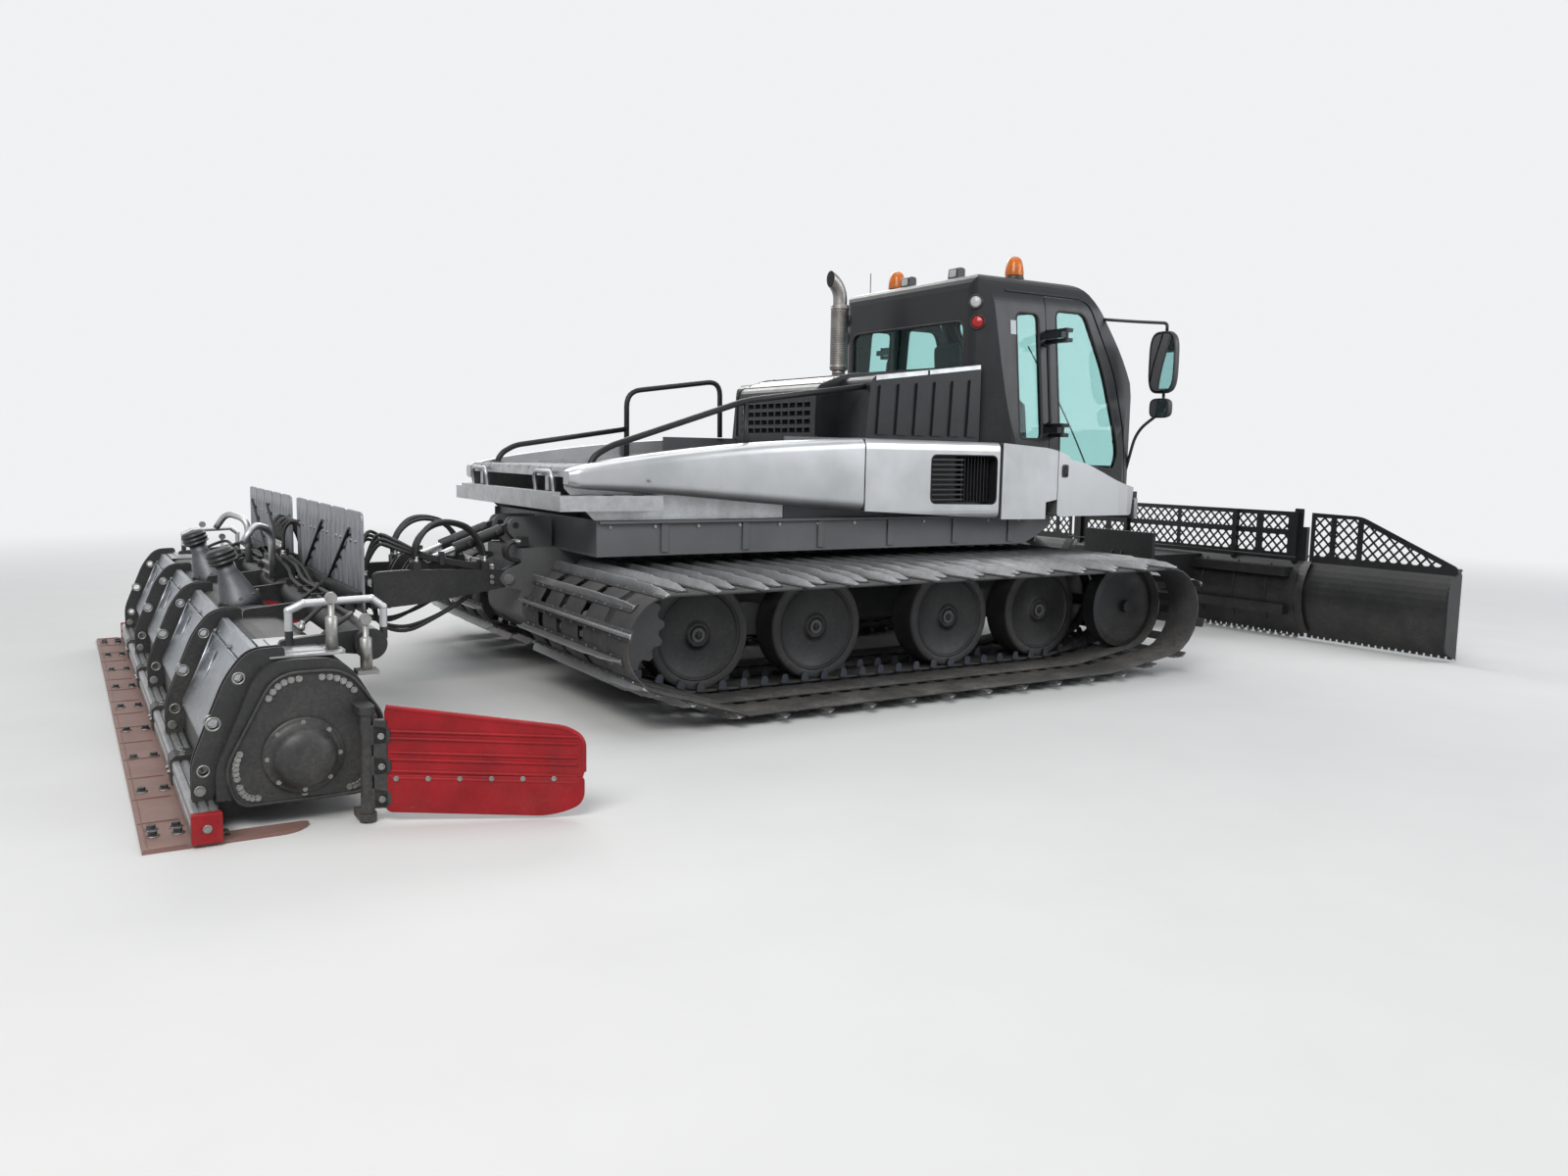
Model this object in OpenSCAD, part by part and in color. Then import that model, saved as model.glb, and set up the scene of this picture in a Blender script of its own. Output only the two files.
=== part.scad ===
// Piste groomer on two wide tracks, with a front blade and a rear tiller.
// Millimetres. +X is forward, +Y is to the left, +Z is up, and the ground is Z = 0.

/* [Tracks] */
// Distance from the middle plane to the outer edge of a track
track_outer_y = 2140; // [2000:1:2300]
// Width of a track
track_w = 1700; // [1500:1:1800]
// Thickness of the rubber belts
belt_t = 14; // [8:1:24]
// Height of a crossbar above the belts
bar_h = 62; // [40:1:90]
// Spacing of the crossbars along the belts
bar_pitch = 155; // [120:1:220]
// Width of a crossbar's foot
bar_foot = 66; // [50:1:90]
// Radius of a road wheel
wheel_r = 350; // [300:1:380]
// Width of a road wheel
wheel_w = 220; // [150:1:260]
// Distance from the middle to the inner wheels of the two pairs
wheel_x1 = 566; // [480:1:620]
// Distance from the middle to the outer wheels of the two pairs
wheel_x2 = 1447; // [1350:1:1500]
// Radius of the drive sprocket
sprocket_r = 265; // [220:1:300]
// Place of the drive sprocket behind the middle
sprocket_x = 1990; // [1900:1:2100]
// Radius of the front idler
idler_r = 310; // [250:1:330]
// Place of the front idler ahead of the middle
idler_x = 2010; // [1950:1:2100]
// Diameter of the wheel axles
axle_d = 90; // [60:1:120]

/* [Chassis] */
// Half width of the tub between the tracks
tub_y = 360; // [300:1:400]
// Underside of the tub
tub_z = 300; // [240:1:360]
// Wall thickness of the tub
tub_wall = 12; // [6:1:20]
// Half width of the upper frame
frame_y = 1000; // [900:1:1060]
// Underside of the upper frame
frame_z = 905; // [880:1:940]
// Top of the upper frame
frame_top = 1130; // [1080:1:1150]
// Half width of the bulwarks that carry the side pods
bulwark_y = 950; // [900:1:980]

/* [Body] */
// Half width over the silver side pods
pod_y = 1160; // [1100:1:1200]
// Height of the pods' upper edge amidships
pod_top = 1685; // [1640:1:1720]
// Rear end of the side pods
pod_rear_x = -2190; // [-2300:1:-2050]
// Seam between the rear pod and the middle panel
seam_rear_x = -65; // [-200:1:50]
// Seam between the middle panel and the fender
seam_mid_x = 1190; // [1150:1:1230]
// Gap at the panel seams
seam = 8; // [4:1:14]
// Wall thickness of the body panels
panel_t = 24; // [12:1:34]

/* [Cab] */
// Rear wall of the cab
cab_rear_x = 1120; // [1080:1:1160]
// Foot of the windscreen
cab_front_x = 2850; // [2750:1:2900]
// Top of the roof
roof_z = 2950; // [2850:1:3050]
// Underside of the cab floor
cab_floor_z = 1180; // [1160:1:1230]
// Half width of the cab at its belt line
cab_y = 1050; // [1000:1:1080]
// Half width of the cab at its roof
cab_roof_y = 940; // [880:1:1000]
// Thickness of the cab's walls
cab_wall = 45; // [30:1:60]
// Thickness of the glass
glass_t = 8; // [5:1:12]
// Rear edge of the doors
door_x = 1760; // [1720:1:1800]
// Gap round the doors
door_gap = 7; // [5:1:12]

/* [Blade] */
// Half width of the blade's middle part
blade_mid_y = 1400; // [1300:1:1500]
// Half width of the whole blade
blade_y = 2750; // [2600:1:2900]
// Foremost point of the blade
blade_front_x = 4620; // [4500:1:4750]
// Height of the curved blade plate
blade_h = 690; // [600:1:760]
// Height of the mesh guard's top
guard_z = 1150; // [1050:1:1200]
// Thickness of the blade plate
blade_t = 14; // [8:1:20]
// Clearance under the blade's edge
blade_clear = 20; // [0:1:60]
// Depth of the blade's hollow
blade_sag = 150; // [80:1:190]

/* [Tiller] */
// Half width of the tiller
tiller_y = 2700; // [2500:1:2850]
// Rearmost point of the finisher mats
mat_rear_x = -4620; // [-4750:1:-4500]
// Radius of the rotor over its teeth
rotor_r = 240; // [200:1:260]
// Place of the rotor's axis along X
rotor_x = -4010; // [-4060:1:-3960]
// Height of the rotor's axis
rotor_z = 290; // [270:1:320]
// Thickness of the tiller's hood
hood_t = 10; // [6:1:16]
// Thickness of the finisher mats
mat_t = 14; // [8:1:20]

/* [Hidden] */

$fn = 48;
// Gap that seats one piece against another
seat = 0.3;
// Radial gap of a shaft in its bore
fit = 0.05;

track_inner_y = track_outer_y - track_w;
wheel_z = bar_h + belt_t + wheel_r + seat;
run_z = wheel_z + wheel_r + seat;
sprocket_z = run_z - sprocket_r - seat;
idler_z = run_z - idler_r - seat;
wheel_xs = [-wheel_x2, -wheel_x1, wheel_x1, wheel_x2];

function unit(v) = v / norm(v);
// Curve that cuts a corner, from at most near half of either side
function corner(a, p, b, s, n) = let (r = min(s, 0.48 * norm(a - p), 0.48 * norm(b - p))) [for (i = [0:n])
    p + unit(a - p) * r * pow(1 - i / n, 2) + unit(b - p) * r * pow(i / n, 2)];
// Rows of an outline: [across, up, how far back from the corner the curve starts]
function outline(rows, n = 5) = [for (i = [0:len(rows) - 1])
    let (a = rows[(i + len(rows) - 1) % len(rows)], p = rows[i], b = rows[(i + 1) % len(rows)])
    each p[2] == 0 ? [[p[0], p[1]]]
        : corner([a[0], a[1]], [p[0], p[1]], [b[0], b[1]], p[2], n)];

// Outline in X and Z, drawn out along Y
module side_slab(y0, y1) {
    translate([0, y1, 0]) rotate([90, 0, 0]) linear_extrude(y1 - y0) children();
}
// Outline in Y and Z, drawn out along X
module front_slab(x0, x1) {
    translate([x0, 0, 0]) rotate([90, 0, 90]) linear_extrude(x1 - x0) children();
}
// Outline in X and Y, drawn out along Z
module flat_slab(z0, z1) {
    translate([0, 0, z0]) linear_extrude(z1 - z0) children();
}
module block(x0, x1, y0, y1, z0, z1) {
    translate([x0, y0, z0]) cube([x1 - x0, y1 - y0, z1 - z0]);
}
// Round bar between two points
module rod(a, b, d) {
    v = b - a;
    translate(a) rotate([0, acos(v[2] / norm(v)), atan2(v[1], v[0])])
        cylinder(h = norm(v), d = d, $fn = 20);
}
// Round bar along a list of points, with a ball at each bend
module pipe(points, d) {
    for (i = [0:len(points) - 2]) rod(points[i], points[i + 1], d);
    for (i = [1:len(points) - 2]) translate(points[i]) sphere(d = 1.08 * d, $fn = 20);
}
// Cylinder along Y
module shaft(x, z, y0, y1, d) {
    translate([x, y1, z]) rotate([90, 0, 0]) cylinder(h = y1 - y0, d = d);
}
module both() {
    children();
    mirror([0, 1, 0]) children();
}
// Solid through rings of points with equal counts
module loft(rings) {
    n = len(rings[0]);
    m = len(rings);
    polyhedron(points = [for (r = rings) each r],
        faces = [[for (i = [0:n - 1]) i],
            for (k = [0:m - 2], i = [0:n - 1])
                [k * n + i, (k + 1) * n + i, (k + 1) * n + (i + 1) % n, k * n + (i + 1) % n],
            [for (i = [n - 1:-1:0]) (m - 1) * n + i]]);
}

// Tracks: the belts' loop goes round the sprocket, the idler and the end wheels.
// Columns: x, z, radius
loop_rounds = [[-sprocket_x, sprocket_z, sprocket_r + seat], [idler_x, idler_z, idler_r + seat],
    [wheel_x2, wheel_z, wheel_r + seat], [-wheel_x2, wheel_z, wheel_r + seat]];
function run_normal(a, b) = let (d = [b[0] - a[0], b[1] - a[1]], l = norm(d), k = (a[2] - b[2]) / l)
    d / l * k + [-d[1], d[0]] / l * sqrt(1 - k * k);
function turn(a) = a < 0 ? a + 360 : a;
// Points of the loop, at a distance outside the belts' inner faces. Each side only touches its round
function loop_points(out, n = 6) = let (c = loop_rounds, k = len(c)) [for (i = [0:k - 1])
    let (m0 = run_normal(c[(i + k - 1) % k], c[i]), m1 = run_normal(c[i], c[(i + 1) % k]),
        a0 = atan2(m0[1], m0[0]), sweep = turn(a0 - atan2(m1[1], m1[0])),
        steps = max(1, round(n * sweep / 90)), r = (c[i][2] + out) / cos(sweep / steps / 2))
    for (j = [0:steps - 1]) let (a = a0 - sweep * (j + 0.5) / steps)
        [c[i][0] + r * cos(a), c[i][1] + r * sin(a)]];
function lengths(p, i = 0, s = 0) = i == len(p) ? [s]
    : concat([s], lengths(p, i + 1, s + norm(p[(i + 1) % len(p)] - p[i])));
// Belts across a track. Columns: distance in from the outer edge, width
belts = [[0.035, 0.16], [0.25, 0.15], [0.455, 0.15], [0.66, 0.13], [0.85, 0.12]] * track_w;
bar_short = 0.075 * track_w;

module crossbar(short) {
    y0 = -track_outer_y + (short ? bar_short : 0);
    intersection() {
        side_slab(y0, -track_inner_y) polygon([[-bar_foot / 2, -2], [bar_foot / 2, -2],
            [bar_foot / 8, 0.2 * bar_h], [4, bar_h], [-4, bar_h], [-bar_foot / 8, 0.2 * bar_h]]);
        front_slab(-bar_foot, bar_foot) polygon([[y0, -2], [-track_inner_y, -2],
            [-track_inner_y, 0.5 * bar_h], [-track_inner_y - bar_h, bar_h],
            [y0 + 1.5 * bar_h, bar_h], [y0, 0.3 * bar_h]]);
    }
}
module track() {
    path = loop_points(belt_t);
    run = lengths(path);
    count = 2 * round(run[len(path)] / bar_pitch / 2);
    step = run[len(path)] / count;
    color("dimgray") for (b = belts)
        side_slab(-track_outer_y + b[0], -track_outer_y + b[0] + b[1]) difference() {
            polygon(path);
            polygon(loop_points(0));
        }
    color("silver") for (k = [0:count - 1]) {
        s = (k + 0.5) * step;
        i = [for (j = [0:len(path) - 1]) if (run[j] <= s && s < run[j + 1]) j][0];
        a = path[i];
        b = path[(i + 1) % len(path)];
        p = a + unit(b - a) * (s - run[i]);
        translate([p[0], 0, p[1]]) rotate([0, -atan2(b[1] - a[1], b[0] - a[0]), 0]) crossbar(k % 2 == 1);
    }
}

wheel_y = track_outer_y - (belts[2][0] + belts[2][1] / 2);
module wheels() {
    color("#2b2b2d") for (x = wheel_xs) translate([x, -wheel_y, wheel_z]) rotate([90, 0, 0])
        rotate_extrude() polygon([[axle_d / 2 + fit, -wheel_w / 2 + 20], [axle_d, -wheel_w / 2 + 20],
            [axle_d + 20, -30], [0.8 * wheel_r, -30], [0.84 * wheel_r, -wheel_w / 2],
            [wheel_r - 12, -wheel_w / 2], [wheel_r, -wheel_w / 2 + 12], [wheel_r, wheel_w / 2 - 12],
            [wheel_r - 12, wheel_w / 2], [0.84 * wheel_r, wheel_w / 2], [0.8 * wheel_r, wheel_w / 2 - 40],
            [axle_d + 20, wheel_w / 2 - 10], [axle_d / 2 + fit, wheel_w / 2 - 10]]);
}
// Walking beams that carry the wheels in pairs, on stub axles from the tub
beam_t = 60;
beam_y = wheel_y - wheel_w / 2 - beam_t - 5;
module tandem() {
    color("#3a3a3c") for (side = [-1, 1]) {
        x0 = side * wheel_x1;
        x1 = side * wheel_x2;
        xm = (x0 + x1) / 2;
        side_slab(-beam_y - beam_t, -beam_y) polygon(outline([
            [min(x0, x1) - 0.9 * axle_d, wheel_z, 60], [min(x0, x1), wheel_z - 0.9 * axle_d, 50],
            [xm, wheel_z - 0.6 * axle_d, 60], [max(x0, x1), wheel_z - 0.9 * axle_d, 50],
            [max(x0, x1) + 0.9 * axle_d, wheel_z, 60], [max(x0, x1), wheel_z + 0.9 * axle_d, 50],
            [xm, wheel_z + 1.9 * axle_d, 90], [min(x0, x1), wheel_z + 0.9 * axle_d, 50]]));
        for (x = [x0, x1])
            shaft(x, wheel_z, -wheel_y - wheel_w / 2 + 12, -beam_y - beam_t, axle_d);
        shaft(xm, wheel_z + 0.6 * axle_d, -beam_y, -tub_y - seat, 1.5 * axle_d);
    }
}
sprocket_teeth = 14;
module sprocket() {
    color("#4a4a4c") translate([-sprocket_x, 0, sprocket_z]) rotate([90, 0, 0]) {
        for (y = [wheel_y - wheel_w / 2 - 75, wheel_y + wheel_w / 2 + 25]) translate([0, 0, y])
            linear_extrude(50) polygon([for (i = [0:4 * sprocket_teeth - 1])
                let (r = sprocket_r - (i % 4 < 2 ? 0 : 34), a = 90 * i / sprocket_teeth) r * [cos(a), sin(a)]]);
        translate([0, 0, tub_y + seat]) cylinder(h = wheel_y + wheel_w / 2 + 40 - tub_y, r = 0.36 * sprocket_r);
        translate([0, 0, tub_y + seat]) cylinder(h = 130, r = 0.8 * sprocket_r);
    }
}
module idler() {
    color("#4a4a4c") translate([idler_x, 0, idler_z]) rotate([90, 0, 0]) {
        for (b = [belts[1], belts[3]]) translate([0, 0, track_outer_y - b[0] - 0.75 * b[1]])
            rotate_extrude() polygon([[axle_d / 2, 0], [0.5 * idler_r, 0], [0.8 * idler_r, 0.2 * b[1]],
                [0.86 * idler_r, 0], [idler_r, 10], [idler_r, 0.5 * b[1] - 10], [0.86 * idler_r, 0.5 * b[1]],
                [0.5 * idler_r, 0.5 * b[1]], [axle_d / 2, 0.5 * b[1]]]);
        translate([0, 0, tub_y + seat])
            cylinder(h = track_outer_y - belts[1][0] - tub_y - 20, d = axle_d);
    }
}

// Chassis: a tub between the tracks, a frame above them and bulwarks for the pods
tub_rear_x = -2250;
tub_front_x = 2150;
frame_rear_x = -1990;
frame_front_x = 1850;
frame_ribs = [-1960, -1300, -600, 1150, 1700];
push_x = 2230;
push_z = 480;
lift_pin_x = 2150;
lift_pin_z = 1000;
hitch_x = -2340;
hitch_z = 720;
tlift_pin_x = -2240;
tlift_pin_z = 1060;
pin_d = 44;
arm_y = 300;
lug_t = 30;
module tub_outline(e) {
    polygon(outline([[tub_rear_x + e, tub_z + 150 + e, 60], [tub_rear_x + 250, tub_z + e, 60],
        [tub_front_x - 300, tub_z + e, 80], [tub_front_x - e, tub_z + 220 + e, 60],
        [tub_front_x - e, frame_z + tub_wall - e, 0], [tub_rear_x + e, frame_z + tub_wall - e, 0]]));
}
module lug_pair(x, z, y, points) {
    for (s = [-1, 1], g = [-1, 1]) difference() {
        side_slab(s * y + g * (lug_t / 2 + 26) - lug_t / 2, s * y + g * (lug_t / 2 + 26) + lug_t / 2)
            polygon(outline(points));
        shaft(x, z, s * y - 100, s * y + 100, pin_d + 2 * fit);
    }
}
module chassis() {
    color("#55585c") {
        difference() {
            side_slab(-tub_y, tub_y) tub_outline(0);
            side_slab(-tub_y + tub_wall, tub_y - tub_wall) tub_outline(tub_wall);
            block(-500, 900, -tub_y + 60, tub_y - 60, frame_z - 30, frame_z + 30);
        }
        both() {
            side_slab(-frame_y, -frame_y + tub_wall) polygon(outline([[frame_rear_x, frame_z, 0],
                [frame_front_x - 260, frame_z, 90], [frame_front_x, frame_top - 90, 60],
                [frame_front_x, frame_top, 0], [frame_rear_x, frame_top, 0]]));
            block(frame_rear_x, frame_front_x - 260, -frame_y + tub_wall, -tub_y + tub_wall,
                frame_z, frame_z + tub_wall);
            side_slab(-bulwark_y, -bulwark_y + tub_wall) polygon([[-600, frame_top - 40], [1110, frame_top - 40],
                [1110, pod_top], [-600, pod_top]]);
        }
        for (x = frame_ribs)
            block(x, x + tub_wall, -frame_y + tub_wall, frame_y - tub_wall,
                frame_z + tub_wall, frame_top);
        // Posts under the engine hood
        both() for (x = [hood_rear_x + 20, cab_rear_x - 70])
            block(x, x + 40, -hood_y + 4, -hood_y + 44, frame_z + tub_wall - 1, hood_base_z - seat);
    }
    // Lugs of the push frame, the blade's cylinders, the tiller's arms and cylinders
    color("#2c2d2f") {
        lug_pair(push_x, push_z, arm_y, [[tub_front_x - 5, push_z - 50, 0], [push_x + 20, push_z - 50, 40],
            [push_x + 60, push_z, 40], [push_x + 20, push_z + 50, 40], [tub_front_x - 5, push_z + 90, 0]]);
        both() block(tub_front_x - 260, tub_front_x - 240 + tub_wall, -tub_y + tub_wall, -60,
            frame_z + tub_wall, lift_pin_z + 60);
        lug_pair(lift_pin_x, lift_pin_z, 180, [[tub_front_x - 230, frame_z + tub_wall, 0],
            [tub_front_x, frame_z + tub_wall, 0], [lift_pin_x + 55, lift_pin_z - 20, 30],
            [lift_pin_x + 30, lift_pin_z + 55, 40], [tub_front_x - 230, lift_pin_z + 60, 0]]);
        lug_pair(hitch_x, hitch_z, arm_y, [[tub_rear_x + 5, hitch_z - 80, 0], [hitch_x - 20, hitch_z - 50, 40],
            [hitch_x - 60, hitch_z, 40], [hitch_x - 20, hitch_z + 50, 40], [tub_rear_x + 5, hitch_z + 100, 0]]);
        lug_pair(tlift_pin_x, tlift_pin_z, 160, [[-1990, frame_z + tub_wall, 0], [-2200, frame_z + tub_wall, 0],
            [tlift_pin_x - 60, tlift_pin_z - 30, 30], [tlift_pin_x - 30, tlift_pin_z + 55, 40],
            [-1990, tlift_pin_z + 60, 0]]);
    }
}
module engine_block() {
    z0 = frame_z + tub_wall + seat;
    color("#4d5257") side_slab(-345, 345) polygon(outline([[hood_rear_x + 50, z0, 60], [880, z0, 60],
        [880, 1900, 90], [hood_rear_x + 120, 1860, 120]]));
}

// Hood over the engine, with a grille of cells in its rear face. Its top bends down to the rear
hood_y = 600;
hood_rear_x = -110;
hood_rear_z = 2060;
hood_bend_x = 140;
hood_bend_z = 2150;
hood_front_z = 2250;
hood_base_z = 1655;
function hood_rows(e) = [[hood_rear_x + e, hood_base_z + e, 0], [cab_rear_x - 10 - e, hood_base_z + e, 0],
    [cab_rear_x - 10 - e, hood_front_z - e, 30], [hood_bend_x, hood_bend_z - e, 200],
    [hood_rear_x + e, hood_rear_z - e, 80]];
grille_cell = [85, 38];
grille_pitch = [103, 62];
module engine_hood() {
    color("#b9bcc0") difference() {
        side_slab(-hood_y, hood_y) polygon(outline(hood_rows(0)));
        side_slab(-hood_y + panel_t, hood_y - panel_t) polygon(outline(hood_rows(panel_t)));
        block(hood_rear_x + 60, cab_rear_x - 60, -hood_y + 40, hood_y - 40, hood_base_z - 5, hood_base_z + 60);
        for (i = [-5:4], j = [0:3])
            translate([hood_rear_x - 5, (i + 0.5) * grille_pitch[0] - grille_cell[0] / 2, 1725 + grille_pitch[1] * j])
                cube([panel_t + 10, grille_cell[0], grille_cell[1]]);
    }
}
function hood_top(x) = hood_front_z
    - (hood_front_z - hood_bend_z) * (cab_rear_x - 10 - x) / (cab_rear_x - 10 - hood_bend_x);
exhaust_x = 800;
exhaust_y = 480;
exhaust_d = 150;
exhaust_h = 540;
tip_d = 0.78 * exhaust_d;
tip_r = 190;
module exhaust() {
    color("#c9cbcf") translate([exhaust_x, exhaust_y, 0]) {
        z0 = hood_top(exhaust_x + 0.375 * exhaust_d) + seat;
        translate([0, 0, z0]) cylinder(h = 40, d = 0.75 * exhaust_d);
        translate([0, 0, z0 + 40]) difference() {
            cylinder(h = exhaust_h, d = exhaust_d);
            translate([0, 0, 40]) cylinder(h = exhaust_h, d = exhaust_d - 16);
        }
        translate([0, 0, z0 + 80]) cylinder(h = exhaust_h, d = tip_d);
        // The turned tip is cut off upright, which leaves it pointed
        translate([0, 0, z0 + 80 + exhaust_h]) intersection() {
            translate([-tip_r, 0, 0]) rotate([90, 0, 0]) rotate_extrude(angle = 80)
                translate([tip_r, 0]) circle(d = tip_d);
            block(-100, exhaust_d, -exhaust_d, exhaust_d, -1, 2 * tip_r);
        }
    }
}
// Black ribbed covers beside the hood
cover_x0 = 60;
cover_x1 = 1300;
module cover() {
    color("#232528") difference() {
        union() {
            side_slab(-cab_y + 80, -hood_y - seat) polygon(outline([[cover_x0, pod_top + seat, 0],
                [cab_rear_x - 12, pod_top + seat, 0], [cab_rear_x - 12, hood_front_z, 0],
                [cover_x0 + 40, hood_front_z - 130, 60]]));
            for (i = [0:5]) side_slab(-cab_y + 62, -cab_y + 81)
                polygon([[cover_x0 + 90 + 165 * i, pod_top + 30], [cover_x0 + 190 + 165 * i, pod_top + 30],
                    [cover_x0 + 190 + 165 * i, hood_front_z - 190 + 15 * i], [cover_x0 + 110 + 165 * i, hood_front_z - 190 + 15 * i]]);
        }
        side_slab(-cab_y + 80 + panel_t, -hood_y) polygon([[cover_x0 + 40, pod_top - 1],
            [cab_rear_x - 40, pod_top - 1], [cab_rear_x - 40, hood_front_z - 40],
            [cover_x0 + 80, hood_front_z - 165]]);
    }
}
// Silver rear pod. Columns: x, lower edge, upper edge, outer face, corner
pod_rows = [[pod_rear_x, 1355, 1440, pod_y - 110, 30], [pod_rear_x + 60, 1335, 1462, pod_y - 75, 45],
    [pod_rear_x + 300, 1318, 1512, pod_y - 40, 60], [pod_rear_x + 740, 1288, 1576, pod_y - 10, 70],
    [pod_rear_x + 1350, 1236, 1640, pod_y, 75], [seam_rear_x - seam, 1180, pod_top, pod_y, 75]];
function pod_ring(r) = [for (p = outline([[-bulwark_y - seat, r[1], 0], [-r[3], r[1], r[4]],
    [-r[3], r[2], r[4]], [-bulwark_y - seat, r[2], 0]], 6)) [r[0], p[0], p[1]]];
module pod() {
    color("#c8cacd") loft([for (r = pod_rows) pod_ring(r)]);
}
// Silver middle panel with the air intake
intake = [[510, 1225], [1135, 1215], [1135, 1580], [510, 1580]];
module side_panel() {
    color("#c8cacd") {
        difference() {
            intersection() {
                side_slab(-pod_y, -bulwark_y - seat) polygon([[seam_rear_x, 1180], [seam_mid_x - 30, 1112],
                    [seam_mid_x - 30, pod_top - 10], [seam_rear_x, pod_top]]);
                front_slab(seam_rear_x, seam_mid_x) polygon(outline([[-bulwark_y - seat, 1100, 0],
                    [-pod_y, 1100, 75], [-pod_y, pod_top, 75], [-bulwark_y - seat, pod_top, 0]], 6));
            }
            side_slab(-pod_y - 1, -pod_y + 100)
                polygon(outline([for (p = intake) [p[0], p[1], 50]]));
            block(seam_rear_x, seam_mid_x, -frame_y - seat, 0, 1000, frame_top + seat);
        }
        for (i = [0:8]) block(530, 820, -pod_y + 12, -pod_y + 101, 1250 + 36 * i, 1262 + 36 * i);
    }
}

// Cab: side, front and plan outlines meet, each drawn e inside the skin
function cab_side(e) = [[cab_rear_x + e, cab_floor_z + e, 0], [cab_rear_x + e, roof_z - e, 110],
    [2230 - e, roof_z - e, 150], [2640 - e, 2330, 260], [cab_front_x - e, 1520, 160],
    [cab_front_x - 100 - e, cab_floor_z + e, 0]];
function cab_front(e) = [[-cab_y + e, cab_floor_z + e, 0], [-cab_y + e, 1700, 100],
    [-cab_roof_y + e, roof_z - 190, 60], [-cab_roof_y + 90 + e, roof_z - e, 90],
    [cab_roof_y - 90 - e, roof_z - e, 90], [cab_roof_y - e, roof_z - 190, 60],
    [cab_y - e, 1700, 100], [cab_y - e, cab_floor_z + e, 0]];
function cab_plan(e) = [[cab_rear_x + e, -830 + e, 60], [cab_rear_x + 230 + e, -cab_y + e, 90],
    [cab_front_x - e, -cab_y + e, 400], [cab_front_x - e, cab_y - e, 400],
    [cab_rear_x + 230 + e, cab_y - e, 90], [cab_rear_x + e, 830 - e, 60]];
module cab_volume(e) {
    intersection() {
        side_slab(-cab_y + e, cab_y - e) polygon(outline(cab_side(e)));
        front_slab(cab_rear_x + e, cab_front_x - e) polygon(outline(cab_front(e)));
        flat_slab(cab_floor_z + e, roof_z - e) polygon(outline(cab_plan(e)));
    }
}
module cab_floor(e) {
    flat_slab(cab_floor_z - 1, cab_floor_z + cab_wall) polygon(outline(cab_plan(e)));
}
roof_edge_z = roof_z - 120;
door_pin_y = pod_y + 18;
door_hinge_zs = [1760, 2480];
belt_z = 1690;
// Door, seen from the side. Columns: x, z, corner
function door_rows(e) = [[door_x + e, 1120 + e, 30], [2600 - 2.2 * e, 1120 + e, 30], [2640 - 2.2 * e, 1400, 60],
    [2480 - 2.2 * e, 2270, 160], [2215 - 2.2 * e, roof_edge_z - 20 - e, 90], [door_x + e, roof_edge_z - 20 - e, 30]];
function door_window(e) = [[door_x + 105 + e, 1560 + e, 50], [2480 - e, 1470 + e, 60], [2530 - e, 1600, 60],
    [2375 - e, 2270, 140], [2180 - e, roof_edge_z - 120 - e, 70], [door_x + 105 + e, roof_edge_z - 120 - e, 60]];
function narrow_window(e) = [[1450 + e, belt_z + 20 + e, 50], [door_x - 75 - e, belt_z + 20 + e, 50],
    [door_x - 75 - e, roof_edge_z - 160 - e, 60], [1450 + e, roof_edge_z - 160 - e, 60]];
function rear_window(e) = [[-740 + e, 2180 + e, 90], [740 - e, 2180 + e, 90], [740 - e, 2600 - e, 90],
    [-740 + e, 2600 - e, 90]];
function windscreen(e) = [[-860 + e, 1500 + e, 120], [860 - e, 1500 + e, 120], [810 - e, roof_edge_z - 30 - e, 120],
    [-810 + e, roof_edge_z - 30 - e, 120]];
module cab_shell() {
    color("#1f2124") {
        difference() {
            cab_volume(0);
            cab_volume(cab_wall);
            flat_slab(roof_edge_z, roof_z + 1) square([9000, 9000], center = true);
            both() {
                difference() {
                    side_slab(-cab_y - 1, -cab_roof_y + 170) polygon(outline(door_rows(-door_gap)));
                    cab_floor(cab_wall + door_gap);
                }
                side_slab(-cab_y - 1, -cab_roof_y + 170) polygon(outline(narrow_window(0)));
            }
            front_slab(cab_rear_x - 1, cab_rear_x + 200) polygon(outline(rear_window(0)));
            front_slab(2200, cab_front_x + 1) polygon(outline(windscreen(0)));
        }
        // Hinge lugs of the doors
        both() for (z = door_hinge_zs) difference() {
            union() {
                block(door_x - 60, door_x - 20, -door_pin_y, -cab_roof_y + 40, z, z + 44);
                translate([door_x, -door_pin_y, z]) cylinder(h = 44, d = 34);
                block(door_x - 60, door_x, -door_pin_y - 10, -door_pin_y + 12, z, z + 44);
            }
            translate([door_x, -door_pin_y, z - 1]) cylinder(h = 46, d = 18 + 2 * fit);
            cab_volume(cab_wall / 2);
        }
        // Brackets of the nose
        for (y = [-450, 400]) intersection() {
            block(2700, nose_x, y, y + 50, 1190, 1240);
            skirt_volume(panel_t + seat);
        }
        // Rubber feet
        for (x = [cab_rear_x + 120, frame_front_x - 144], y = [-700, 700]) translate([x, y, frame_top])
            cylinder(h = cab_floor_z - frame_top, d = 120);
    }
}
module cab_roof() {
    color("#17181a") {
        intersection() {
            cab_volume(0);
            flat_slab(roof_edge_z + seat, roof_z + 1) square([9000, 9000], center = true);
        }
    }
}
module glass_skin(inner) {
    difference() {
        cab_volume(inner);
        cab_volume(inner + glass_t);
    }
}
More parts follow.
